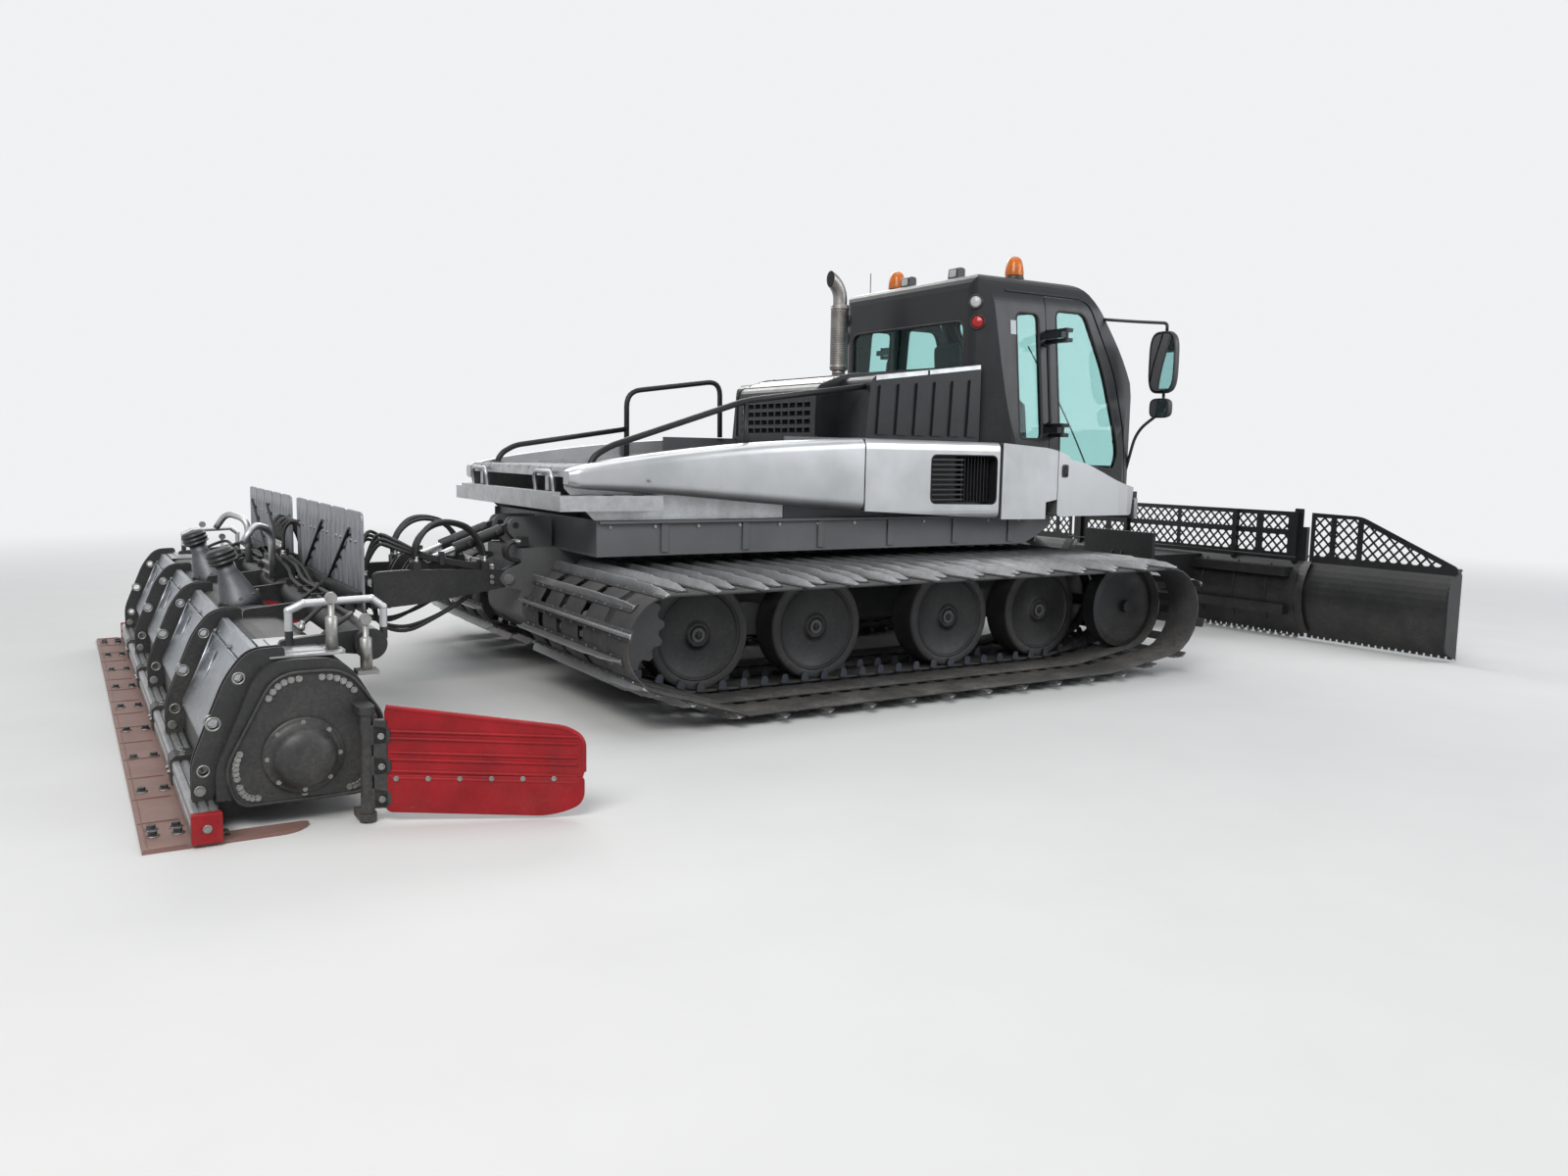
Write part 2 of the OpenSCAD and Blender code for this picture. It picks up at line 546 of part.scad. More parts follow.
module cab_glass() {
    color("#7fa9a5") intersection() {
        glass_skin(10);
        union() {
            both() side_slab(-cab_y - 1, -cab_roof_y + 170) polygon(outline(narrow_window(seat)));
            front_slab(cab_rear_x - 1, cab_rear_x + 100) polygon(outline(rear_window(seat)));
            front_slab(2250, cab_front_x + 1) polygon(outline(windscreen(seat)));
        }
    }
}
module seat_form(y, w) {
    z0 = cab_floor_z + cab_wall;
    block(1700, 2020, y - w / 3, y + w / 3, z0, z0 + 190);
    side_slab(y - w / 2, y + w / 2) polygon(outline([[1610, z0 + 190, 40], [2140, z0 + 190, 40],
        [2160, z0 + 320, 50], [1740, z0 + 300, 40], [1640, z0 + 1000, 60], [1530, z0 + 990, 50]]));
}
module seats() {
    color("#2f3134") {
        seat_form(0, 540);
        seat_form(-620, 420);
    }
}
module dashboard() {
    color("#2f3134") {
        z0 = cab_floor_z + cab_wall;
        side_slab(-700, 700) polygon(outline([[2420, z0, 0], [2640, z0, 0], [2660, 1440, 60], [2520, 1490, 60],
            [2400, 1400, 50]]));
        rod([2460, 0, 1400], [2290, 0, 1570], 60);
        translate([2290, 0, 1570]) rotate([0, -45, 0]) rotate_extrude() translate([170, 0]) circle(d = 30, $fn = 20);
        for (a = [0, 120, 240]) translate([2290, 0, 1570]) rotate([0, -45, 0]) rotate([0, 0, a])
            rotate([0, 90, 0]) cylinder(h = 170, d = 20, $fn = 16);
    }
}
// Silver skirt under the cab: doors' lower panels, fenders and nose share it
nose_x = cab_front_x + 60;
function skirt_side(e) = [[seam_mid_x, 1105 + e, 0], [2700 - e, 1090 + e, 60], [nose_x - e, 1130 + e, 50],
    [nose_x - 20 - e, 1290 - e, 60], [2450, 1380 - e, 100], [2120, 1510 - e, 120], [1700, 1640 - e, 100],
    [seam_mid_x, pod_top - 12 - e, 0]];
function skirt_plan(e) = [[seam_mid_x, -pod_y + e, 0], [nose_x - e, -pod_y + e, 480], [nose_x - e, pod_y - e, 480],
    [seam_mid_x, pod_y - e, 0]];
module skirt_volume(e) {
    intersection() {
        side_slab(-pod_y + e, pod_y - e) polygon(outline(skirt_side(e)));
        flat_slab(1000, 1800) polygon(outline(skirt_plan(e), 8));
    }
}
fender_step_x = 1640;
module fender() {
    color("#c8cacd") difference() {
        intersection() {
            skirt_volume(0);
            side_slab(-pod_y - 1, -cab_y - seat) polygon([[seam_mid_x, 1000], [fender_step_x, 1000],
                [fender_step_x, 1230], [door_x - door_gap, 1250], [door_x - door_gap, 1800], [seam_mid_x, 1800]]);
        }
        block(seam_mid_x + panel_t, fender_step_x - panel_t, -pod_y + panel_t, -cab_y, 1000, pod_top - 100);
    }
}
module nose() {
    color("#c8cacd") difference() {
        skirt_volume(0);
        skirt_volume(panel_t);
        block(0, 2660, -2000, 2000, 1000, 2000);
        block(0, nose_x - 90, -2000, 2000, 1250, 2000);
    }
}
module door() {
    color("#1f2124") difference() {
        union() {
            intersection() {
                cab_volume(0);
                side_slab(-cab_y - 1, -cab_roof_y + 160) polygon(outline(door_rows(0)));
            }
            intersection() {
                skirt_volume(0);
                side_slab(-pod_y - 1, -cab_y + 20) polygon(outline(door_rows(0)));
            }
        }
        cab_volume(cab_wall);
        cab_floor(cab_wall);
        side_slab(-pod_y - 1, -cab_roof_y + 170) polygon(outline(door_window(0)));
        // Rabbet that lets the edge swing past the frame
        difference() {
            cab_volume(cab_wall / 3);
            side_slab(-pod_y - 1, 0) polygon(outline(door_rows(8)));
        }
    }
    color("#1f2124") for (z = door_hinge_zs) difference() {
        union() {
            translate([door_x, -door_pin_y, z - 30]) cylinder(h = 104, d = 18);
            for (g = [-30, 44 + seat]) translate([door_x, -door_pin_y, z + g]) cylinder(h = 30 - seat, d = 34);
            for (g = [-30, 44 + seat]) block(door_x, door_x + 60, -door_pin_y - 10, -cab_roof_y + 40, z + g, z + g + 30 - seat);
        }
        cab_volume(cab_wall / 2);
    }
}
module door_glass() {
    color("#7fa9a5") intersection() {
        glass_skin(10);
        side_slab(-pod_y - 1, -cab_roof_y + 170) polygon(outline(door_window(seat)));
    }
}
module mirror_arm() {
    color("#1c1d1f") difference() {
        union() {
        pipe([[2345, -870, 2690], [2560, -1140, 2660], [2745, -1290, 2650], [2745, -1290, 2590]], 26);
        pipe([[2700, -960, 1480], [2710, -1060, 1800], [2745, -1290, 1960], [2745, -1290, 2080]], 26);
        side_slab(-1440, -1150) polygon(outline([[2700, 2085, 20], [2770, 2085, 30], [2790, 2340, 60],
            [2770, 2590, 30], [2700, 2590, 20]]));
        side_slab(-1400, -1190) polygon(outline([[2700, 1900, 20], [2765, 1900, 40], [2765, 2060, 40], [2700, 2060, 20]]));
        }
        cab_volume(-seat);
    }
}
beacon_d = 156;
module lamps() {
    // Beacons on the roof
    color("orange") for (p = [[1690, -650], [1430, 540]]) translate([p[0], p[1], roof_z]) {
        cylinder(h = 40, d = beacon_d);
        translate([0, 0, 40]) cylinder(h = 90, d1 = beacon_d - 8, d2 = beacon_d - 30);
        translate([0, 0, 130]) sphere(d = beacon_d - 30);
    }
    // Work lamps on the roof's rear edge
    color("#303234") for (y = [-420, 200]) block(cab_rear_x + 130, cab_rear_x + 210, y - 60, y + 60, roof_z, roof_z + 95);
}
// Hand rails along the deck. The right one ends at the cover's sloped rear face
rail_d = 42;
module rail_right() {
    color("#1c1d1f") difference() {
        union() {
            pipe([[-1990, -905, deck_z + 20 + seat], [-1990, -905, 1490], [-1955, -905, 1540],
                [-1860, -905, 1595], [-880, -905, 1915]], rail_d);
            pipe([[-880, -905, deck_z + 20 + seat], [-880, -905, 1915], [cover_x0 + 60, -905, 2052]], rail_d);
        }
        side_slab(-905 - rail_d, -905 + rail_d) polygon([[cover_x0 - seat, pod_top], [cover_x0 + 200, pod_top],
            [cover_x0 + 200, hood_front_z - 130], [cover_x0 + 40 - seat, hood_front_z - 130]]);
    }
}
module rail_left() {
    color("#1c1d1f") {
        pipe([[-1990, 905, deck_z + 20 + seat], [-1990, 905, 1490], [-1955, 905, 1540], [-1860, 905, 1595],
            [-940, 905, 1740]], rail_d);
        pipe([[-940, 905, deck_z + 20 + seat], [-940, 905, 2010], [-910, 905, 2045], [-130, 905, 2155], [-95, 905, 2120],
            [-95, 905, pod_top + 10]], rail_d);
    }
}
deck_z = 1440;
module rear_deck() {
    color("#a9adb1") {
        for (i = [0:8]) block(-2180, hood_rear_x - 20, -900 + 203 * i, -900 + 203 * i + 176, deck_z, deck_z + 20);
        block(hood_rear_x - 70, hood_rear_x - 30, -bulwark_y + tub_wall + seat, bulwark_y - tub_wall - seat,
            deck_z - 40, deck_z);
        for (x = [-2180, -1700, -1200, -660]) block(x, x + 40, -bulwark_y + 12, bulwark_y - 12, deck_z - 40, deck_z);
        both() {
            side_slab(-bulwark_y, -bulwark_y + 12) polygon([[-1985, frame_top], [-605, frame_top],
                [-605, 1560], [-2180, 1450], [-2180, 1330]]);
            block(-2260, -1570, -bulwark_y - 130, -bulwark_y + 12, 1195, 1290);
        }
        block(-2260, -2200, -bulwark_y + 12, bulwark_y - 12, 1195, 1310);
        both() block(-2190, -2140, -700, -640, 1310, deck_z - 40);
    }
}

// Blade: push frame, yoke that angles, blade that tilts, and two wings
angle_x = 3560;
tilt_x = 3800;
tilt_z = 520;
blade_pin_x = 2900;
blade_pin_z = 620;
module push_frame() {
    color("#26282a") {
        difference() {
            union() {
                both() {
                    side_slab(-arm_y - 24, -arm_y + 24) polygon(outline([[push_x - 55, push_z, 50],
                        [push_x, push_z - 58, 40], [3300, 350, 60], [3420, 380, 30], [3420, 600, 30],
                        [2850, 540, 120], [push_x, push_z + 58, 40]]));
                    for (g = [-1, 1]) side_slab(-180 + 38 * g - 12, -180 + 38 * g + 12)
                        polygon(outline([[2790, 470, 20], [3020, 470, 20], [blade_pin_x + 60, blade_pin_z + 20, 30],
                            [blade_pin_x, blade_pin_z + 60, 40], [blade_pin_x - 60, blade_pin_z, 30]]));
                }
                block(2780, 3040, -arm_y, arm_y, 400, 480);
                block(3300, 3440, -arm_y, arm_y, 400, 590);
                for (z = [400, 550]) flat_slab(z, z + 40) polygon(outline([[3430, -170, 0],
                    [angle_x, -110, 60], [angle_x + 110, 0, 70], [angle_x, 110, 60], [3430, 170, 0]]));
            }
            shaft(push_x, push_z, -500, 500, pin_d + 2 * fit);
            for (z = [390, 540]) translate([angle_x, 0, z]) cylinder(h = 60, d = 90 + 2 * fit);
        }
        both() shaft(blade_pin_x, blade_pin_z, -180 - 48, -180 + 48, 36);
    }
    color("#707478") for (y = [-arm_y, arm_y]) shaft(push_x, push_z, y - 56, y + 56, pin_d);
}
module blade_yoke() {
    color("#26282a") {
        translate([angle_x, 0, 380]) cylinder(h = 240, d = 90);
        translate([angle_x, 0, 446]) cylinder(h = 98, d = 200);
        block(angle_x + 70, tilt_x - 60, -90, 90, 446, 544);
        block(tilt_x - 90, tilt_x - 50, -420, 420, 430, 900);
        translate([tilt_x - 55, 0, tilt_z]) rotate([0, 90, 0]) cylinder(h = 240, d = 110);
    }
}
// Curved plate of the blade, in X and Z
blade_low = blade_clear + 30;
blade_r = blade_h * blade_h / 8 / blade_sag + blade_sag / 2;
blade_half = asin(blade_h / 2 / blade_r);
blade_mid_z = blade_low + blade_h / 2;
function blade_arc(r) = [for (i = [-8:8]) let (a = i / 8 * blade_half)
    [blade_front_x + blade_r - blade_sag - r * cos(a), blade_mid_z + r * sin(a)]];
module blade_profile() {
    polygon(concat(blade_arc(blade_r), [for (i = [16:-1:0]) blade_arc(blade_r + blade_t)[i]]));
}
blade_back_x = blade_front_x - blade_sag - blade_t;
guard_x = blade_front_x - 60;
mesh_step = 92;
mesh_hole = 50;
// Guard of punched mesh in Y and Z, in an outline with a rim
module guard(rows, windows) {
    front_slab(guard_x, guard_x + 8) difference() {
        polygon(outline(rows));
        for (w = windows) intersection() {
            polygon(w);
            for (i = [0:round(blade_y / mesh_step)], j = [0:11])
                translate([(i + (j % 2) / 2) * mesh_step, blade_low + blade_h + 30 + j * mesh_step / 2])
                    rotate(45) square(mesh_hole, center = true);
        }
    }
}
module blade_edge(y0, y1) {
    n = round((y1 - y0) / 60);
    translate([blade_front_x - 16, 0, 0]) front_slab(0, 16) polygon(concat([[y1, blade_low + 60], [y0, blade_low + 60]],
        [for (i = [0:n - 1]) each [[y0 + (y1 - y0) * i / n, blade_clear], [y0 + (y1 - y0) * (i + 0.55) / n, blade_clear],
            [y0 + (y1 - y0) * (i + 0.6) / n, blade_clear + 24], [y0 + (y1 - y0) * (i + 0.95) / n, blade_clear + 24]],
            [y1, blade_clear]]));
}
// The wings' pins stand in the hollow, so the folding edges swing clear of the middle part
wing_gap = 38;
wing_pin_x = blade_front_x - 30;
wing_pin_d = 24;
knuckle_d = 50;
knuckle_h = 58;
knuckle_zs = [124, 540];
module blade_hollow(y0, y1) {
    shaft(blade_front_x + blade_r - blade_sag, blade_mid_z, y0, y1, 2 * blade_r + blade_t);
}
module blade_mid() {
    y1 = blade_mid_y;
    top = blade_low + blade_h;
    color("#202224") {
        difference() {
            union() {
                side_slab(-y1, y1) blade_profile();
                difference() {
                    union() {
                        for (z = [220, 560]) block(blade_back_x - 46, blade_front_x, -y1 + 90, y1 - 90, z, z + 80);
                        for (z = [360, 640]) block(tilt_x + 30, blade_front_x, -300, 300, z, z + 40);
                        for (y = [-300, 260]) block(tilt_x + 30, blade_front_x, y, y + 40, 360, 680);
                    }
                    blade_hollow(-y1, y1);
                }
                block(tilt_x + 30, tilt_x + 90, -300, 300, 400, 640);
                blade_edge(-y1, y1);
            }
            translate([tilt_x, 0, tilt_z]) rotate([0, 90, 0]) cylinder(h = 200, d = 110 + 2 * fit);
        }
        both() {
            guard([[0, top - 50, 0], [y1 - 40, top - 50, 0], [y1 - 40, guard_z + 10, 10], [y1 - 130, guard_z + 10, 10],
                [y1 - 130, guard_z - 20, 10], [0, guard_z - 20, 0]],
                [for (w = [[20, 620], [690, 880], [950, y1 - 190]], z = [[top + 20, top + 180], [top + 230, guard_z - 60]])
                    [[w[0], z[0]], [w[1], z[0]], [w[1], z[1]], [w[0], z[1]]]]);
            for (y = [y1 - 120, 640]) block(guard_x - 30, guard_x + 1, y, y + 40, top - 60, guard_z - 20);
        }
        // Hinge knuckles for the wings
        both() for (z = knuckle_zs) difference() {
            union() {
                translate([wing_pin_x, y1, z]) cylinder(h = knuckle_h, d = knuckle_d);
                intersection() {
                    block(blade_back_x, wing_pin_x, y1 - 70, y1, z, z + knuckle_h);
                    blade_hollow(y1 - 71, y1 + 1);
                }
            }
            translate([wing_pin_x, y1, z - 1]) cylinder(h = knuckle_h + 2, d = wing_pin_d + 2 * fit);
        }
    }
}
module blade_wing() {
    y0 = blade_mid_y + wing_gap;
    y1 = blade_y;
    top = blade_low + blade_h;
    color("#202224") {
        side_slab(y0, y1) blade_profile();
        blade_edge(y0, y1);
        side_slab(y1 - 16, y1) polygon(outline([[blade_front_x - 1, blade_clear, 30], [blade_front_x - 1, top, 60],
            [blade_back_x - 10, top - 100, 90], [blade_back_x - 10, blade_clear + 80, 60]]));
        guard([[y0 + 2, top - 50, 0], [y1 - 4, top - 50, 0], [y1 - 4, top + 20, 60], [y0 + 470, guard_z - 30, 60], [y0 + 2, guard_z - 20, 0]],
            [[[y0 + 40, top + 10], [y0 + 190, top + 10], [y0 + 190, guard_z - 60], [y0 + 40, guard_z - 60]],
                [[y0 + 240, top + 10], [y0 + 440, top + 10], [y0 + 440, guard_z - 60], [y0 + 240, guard_z - 60]],
                [[y0 + 490, top + 10], [y1 - 90, top + 10], [y0 + 490, guard_z - 90]]]);
        for (z = knuckle_zs) {
            low = z + knuckle_h + 2;
            translate([wing_pin_x, blade_mid_y, low]) cylinder(h = knuckle_h, d = knuckle_d);
            intersection() {
                flat_slab(low, low + knuckle_h) polygon([[wing_pin_x - 22, blade_mid_y],
                    [wing_pin_x + 20, blade_mid_y + 14], [wing_pin_x - 4, y0 + 80], [blade_back_x, y0 + 80],
                    [blade_back_x, y0 + 2], [wing_pin_x - 40, y0 + 2]]);
                blade_hollow(blade_mid_y - 1, y0 + 81);
            }
            translate([wing_pin_x, blade_mid_y, z - 6]) cylinder(h = 2 * knuckle_h + 14, d = wing_pin_d);
        }
    }
}
// Cylinder pairs, drawn along X from the pin of the barrel
module barrel_form(l, d) {
    rotate([90, 0, 0]) cylinder(h = 48, d = 90, center = true);
    block(0, 92, -24, 24, -30, 30);
    rotate([0, 90, 0]) difference() {
        translate([0, 0, 90]) cylinder(h = l - 90, d = d);
        translate([0, 0, 110]) cylinder(h = l, d = 0.55 * d + 1);
    }
}
module rod_form(l0, l, d, pin) {
    difference() {
        union() {
            translate([l0, 0, 0]) rotate([0, 90, 0]) cylinder(h = l - l0, d = d);
            translate([l, 0, 0]) rotate([90, 0, 0]) cylinder(h = 44, d = 90, center = true);
        }
        translate([l, 0, 0]) rotate([90, 0, 0]) cylinder(h = d + 20, d = pin, center = true);
    }
}
module aim(x, z, tx, tz, y) {
    translate([x, y, z]) rotate([0, -atan2(tz - z, tx - x), 0]) children();
}
function reach(x, z, tx, tz) = norm([tx - x, tz - z]);
blade_reach = reach(lift_pin_x, lift_pin_z, blade_pin_x, blade_pin_z);
module blade_barrels() {
    color("#1d1e20") for (y = [-180, 180]) aim(lift_pin_x, lift_pin_z, blade_pin_x, blade_pin_z, y) difference() {
        barrel_form(0.62 * blade_reach, 90);
        rotate([90, 0, 0]) cylinder(h = 60, d = pin_d + 2 * fit, center = true);
    }
    color("#707478") for (y = [-180, 180]) shaft(lift_pin_x, lift_pin_z, y - 56, y + 56, pin_d);
}
module blade_rods() {
    color("#d5d7da") for (y = [-180, 180]) aim(lift_pin_x, lift_pin_z, blade_pin_x, blade_pin_z, y)
        rod_form(0.42 * blade_reach, blade_reach, 49.4, 60);
}

// Tiller: arms on the chassis, a frame that swings, and what it carries
swing_x = -3300;
swing_z = 620;
tarm_pin_x = -2880;
tarm_pin_z = 820;
module tiller_arms() {
    color("#26282a") {
        difference() {
            union() {
                both() {
                    side_slab(-arm_y - 24, -arm_y + 24) polygon(outline([[hitch_x + 55, hitch_z, 50],
                        [hitch_x, hitch_z + 58, 40], [-3000, 800, 90], [-3190, 790, 40], [-3190, 560, 40],
                        [-2900, 580, 90], [hitch_x, hitch_z - 58, 40]]));
                    for (g = [-1, 1]) side_slab(-160 + 38 * g - 12, -160 + 38 * g + 12)
                        polygon(outline([[-2790, 700, 20], [-3010, 700, 20], [tarm_pin_x - 60, tarm_pin_z + 10, 30],
                            [tarm_pin_x, tarm_pin_z + 60, 40], [tarm_pin_x + 60, tarm_pin_z, 30]]));
                }
                block(-3020, -2780, -arm_y, arm_y, 640, 702);
                block(-3200, -3080, -arm_y, arm_y, 560, 700);
                for (z = [540, 680]) flat_slab(z, z + 40) polygon(outline([[-3190, 170, 0],
                    [swing_x, 110, 60], [swing_x - 110, 0, 70], [swing_x, -110, 60], [-3190, -170, 0]]));
            }
            shaft(hitch_x, hitch_z, -500, 500, pin_d + 2 * fit);
            for (z = [530, 670]) translate([swing_x, 0, z]) cylinder(h = 60, d = 80 + 2 * fit);
        }
        both() shaft(tarm_pin_x, tarm_pin_z, -160 - 48, -160 + 48, 36);
    }
    color("#707478") for (y = [-arm_y, arm_y]) shaft(hitch_x, hitch_z, y - 56, y + 56, pin_d);
}
tube_x = -3680;
tube_z = 700;
module tiller_frame() {
    color("#26282a") {
        translate([swing_x, 0, 520]) cylinder(h = 220, d = 80);
        translate([swing_x, 0, 584]) cylinder(h = 92, d = 190);
        block(tube_x, swing_x - 60, -90, 90, 584, 676);
        shaft(tube_x, tube_z, -2500, 2500, 140);
        // Valve block, and tube guards at both ends
        block(tube_x - 60, tube_x + 60, -200, 200, tube_z + 30, tube_z + 190);
        both() pipe([[rotor_x, -2440, 690 + seat], [rotor_x, -2440, 860], [rotor_x + 60, -2450, 890],
            [tube_x + 10, -2470, 900], [tube_x + 60, -2470, 860], [tube_x + 60, -2470, 720]], 34);
        difference() {
            both() for (y = [2420, 1300, 420]) side_slab(-y - 20, -y + 20)
                polygon(outline([[tube_x - 40, tube_z + 60, 0], [tube_x + 60, tube_z, 20], [tube_x + 30, 640, 20],
                    [rotor_x + 60, 680, 0], [rotor_x - 40, 680, 0], [rotor_x - 40, 730, 20]]));
            side_slab(-tiller_y, tiller_y) polygon(outline(tiller_hood_rows(-seat)));
        }
        both() rod([swing_x - 40, 60, 630], [tube_x, 900, tube_z], 60);
    }
}
// Hood over the rotor, in X and Z
hood_low_x = rotor_x - 330;
function tiller_hood_rows(e) = [[hood_low_x + e, 130, 0], [hood_low_x + e, 260, 40], [rotor_x - 150, 690 - e, 120],
    [rotor_x + 180, 690 - e, 120], [rotor_x + 330 - e, 420, 60], [rotor_x + 330 - e, 130, 0]];
module tiller_hood() {
    color("#2b2d30") {
        difference() {
            union() {
                side_slab(-tiller_y, tiller_y) polygon(outline(tiller_hood_rows(0)));
                // Gear housings
                for (y = [-720, 720]) translate([rotor_x + 20, y, 685]) rotate([0, -19, 0]) rotate_extrude()
                    polygon([[0, -60], [110, -60], [110, 30], [95, 50], [62, 165], [50, 190], [50, 240], [70, 250],
                        [70, 320], [0, 330]]);
            }
            side_slab(-tiller_y + 20, tiller_y - 20)
                polygon(outline(concat([[hood_low_x + hood_t, 120, 0]], [for (i = [1:4]) tiller_hood_rows(hood_t)[i]],
                    [[rotor_x + 330 - hood_t, 120, 0]])));
            shaft(rotor_x, rotor_z, -3000, 3000, 80 + 2 * fit);
        }
        both() side_slab(-tiller_y - 16, -tiller_y) difference() {
            polygon(outline([[rotor_x - 260, 100, 60], [rotor_x + 260, 100, 60], [rotor_x + 330, 420, 60],
                [rotor_x + 180, 640, 90], [rotor_x - 100, 640, 90], [rotor_x - 300, 260, 60]]));
            translate([rotor_x, rotor_z]) circle(d = 80 + 2 * fit);
        }
        // Covers of the rotor's motors
        both() translate([rotor_x, -tiller_y - 15, rotor_z]) rotate([90, 0, 0]) rotate_extrude() polygon([[80 / 2 + fit, 0],
            [160, 0], [160, 14], [130, 22], [120, 60], [100, 85], [0, 85], [0, 5], [80 / 2 + fit, 5]]);
    }
    color("#9aa0a6") for (i = [-2:1]) intersection() {
        side_slab(i * 1300 + 60, i * 1300 + 1240) polygon([[hood_low_x - 8, 270], [hood_low_x + 4, 262],
            [rotor_x - 150, 650], [rotor_x - 120, 698], [rotor_x - 150, 698], [hood_low_x - 8, 300]]);
        block(-5000, 0, -tiller_y + 60, tiller_y - 60, 0, 2000);
    }
}
tooth_ring = 5;
module tiller_rotor() {
    color("#55595d") {
        shaft(rotor_x, rotor_z, -tiller_y - 14, tiller_y + 14, 80);
        shaft(rotor_x, rotor_z, -tiller_y + 30, tiller_y - 30, 150);
        for (i = [0:23], k = [0:tooth_ring - 1]) translate([rotor_x, -tiller_y + 130 + i * 212, rotor_z])
            rotate([0, 360 / tooth_ring * k + 31 * i, 0]) translate([60, -14, -22]) linear_extrude(44)
                polygon([[0, 0], [rotor_r - 90, 0], [rotor_r - 60, 14], [rotor_r - 90, 28], [0, 28]]);
    }
}
mat_y = tiller_y + 150;
module finisher() {
    color("#7d6663") {
        flat_slab(0, mat_t) polygon(outline([[mat_rear_x, -mat_y, 0], [mat_rear_x + 560, -mat_y, 200],
            [mat_rear_x + 640, -tiller_y - 30, 60], [mat_rear_x + 290, -tiller_y - 30, 20],
            [mat_rear_x + 290, tiller_y + 30, 20], [mat_rear_x + 640, tiller_y + 30, 60],
            [mat_rear_x + 560, mat_y, 200], [mat_rear_x, mat_y, 0]]));
    }
}
// Two-groove beam on the mats, and the curved arms that carry it from the hood
finisher_arm_ys = [-tiller_y + 80, -1300, 0, 1300, tiller_y - 80];
module finisher_beam() {
    x0 = mat_rear_x + 190;
    color("#c8cacd") side_slab(-tiller_y - 20, tiller_y + 20) difference() {
        polygon(outline([[x0, mat_t + seat, 0], [x0 + 95, mat_t + seat, 0], [x0 + 95, mat_t + 110, 12],
            [x0, mat_t + 110, 12]]));
        for (x = [x0 + 20, x0 + 58]) translate([x, mat_t + 100]) square([17, 20]);
    }
    color("#303234") difference() {
        for (y = finisher_arm_ys, g = [-1, 1]) side_slab(y + 28 * g - 5, y + 28 * g + 5) difference() {
            polygon(outline([[hood_low_x - 85, mat_t + 90, 0], [hood_low_x - 20, mat_t + 90, 0],
                [hood_low_x + 40, 300, 60], [rotor_x - 190, 500, 60], [rotor_x - 110, 680, 20],
                [rotor_x - 50, 680, 0], [rotor_x - 50, 740, 20], [rotor_x - 190, 735, 60],
                [rotor_x - 280, 620, 60], [hood_low_x - 30, 420, 80], [hood_low_x - 85, 280, 50]]));
            for (c = [[hood_low_x - 40, 250, 36], [hood_low_x + 2, 440, 44], [rotor_x - 228, 620, 36]])
                translate([c[0], c[1]]) circle(d = c[2]);
        }
        side_slab(-tiller_y, tiller_y) polygon(outline(tiller_hood_rows(-seat)));
    }
}
module snow_shields() {
    color("#b4b8bc") both() for (i = [0:4])
        front_slab(tube_x + 90, tube_x + 106) polygon(outline([[120 + 360 * i, 760, 20], [460 + 360 * i, 760, 20],
            [460 + 360 * i, 1250, 40], [120 + 360 * i, 1250, 40]]));
    // Pressed flutes of the shields
    color("#b4b8bc") both() for (i = [0:4], k = [-1:1]) translate([tube_x + 95, 290 + 360 * i + 112 * k, 815])
        cylinder(h = 360, d = 26);
    color("#303234") both() {
        block(tube_x + 70, tube_x + 90, 130, 1880, 800, 860);
        difference() {
            for (y = [300, 1000, 1700]) block(tube_x + 30, tube_x + 90, y, y + 40, tube_z + 20, 830);
            shaft(tube_x, tube_z, -2500, 2500, 140 + 2 * seat);
        }
    }
}
side_pin_x = -3780;
side_pin_y = tiller_y + 130;
side_turn = 24;
module side_wing() {
    // Panel that points forward and a little outward from its upright pin
    translate([side_pin_x, -side_pin_y, 0]) rotate([0, 0, -side_turn]) {
        color("#b3161b") {
            side_slab(-18, 18) polygon(outline([[40, 40, 30], [760, 10, 160], [900, 60, 60], [900, 380, 90],
                [60, 500, 50]]));
            for (z = [160, 250, 340]) side_slab(-30, -17) polygon([[60, z + 20], [880, z - 20], [880, z + 4], [60, z + 44]]);
        }
        color("#26282a") {
            cylinder(h = 500, d = 30);
            translate([0, 0, 40]) cylinder(h = 420, d = 56);
            block(0, 70, -18, 18, 60, 440);
        }
    }
}
module tiller_side_lugs() {
    color("#26282a") both() for (z = [6, 462]) difference() {
        union() {
            translate([side_pin_x, -side_pin_y, z]) cylinder(h = 33, d = 70);
            block(side_pin_x - 35, side_pin_x + 35, -side_pin_y, -tiller_y - 16, z, z + 33);
        }
        translate([side_pin_x, -side_pin_y, z - 1]) cylinder(h = 36, d = 30 + 2 * fit);
    }
}
tiller_reach = reach(tlift_pin_x, tlift_pin_z, tarm_pin_x, tarm_pin_z);
module tiller_barrels() {
    color("#1d1e20") for (y = [-160, 160]) aim(tlift_pin_x, tlift_pin_z, tarm_pin_x, tarm_pin_z, y) difference() {
        barrel_form(0.62 * tiller_reach, 80);
        rotate([90, 0, 0]) cylinder(h = 60, d = pin_d + 2 * fit, center = true);
    }
    color("#707478") for (y = [-160, 160]) shaft(tlift_pin_x, tlift_pin_z, y - 56, y + 56, pin_d);
}
module tiller_rods() {
    color("#d5d7da") for (y = [-160, 160]) aim(tlift_pin_x, tlift_pin_z, tarm_pin_x, tarm_pin_z, y)
        rod_form(0.42 * tiller_reach, tiller_reach, 43.9, 60);
}

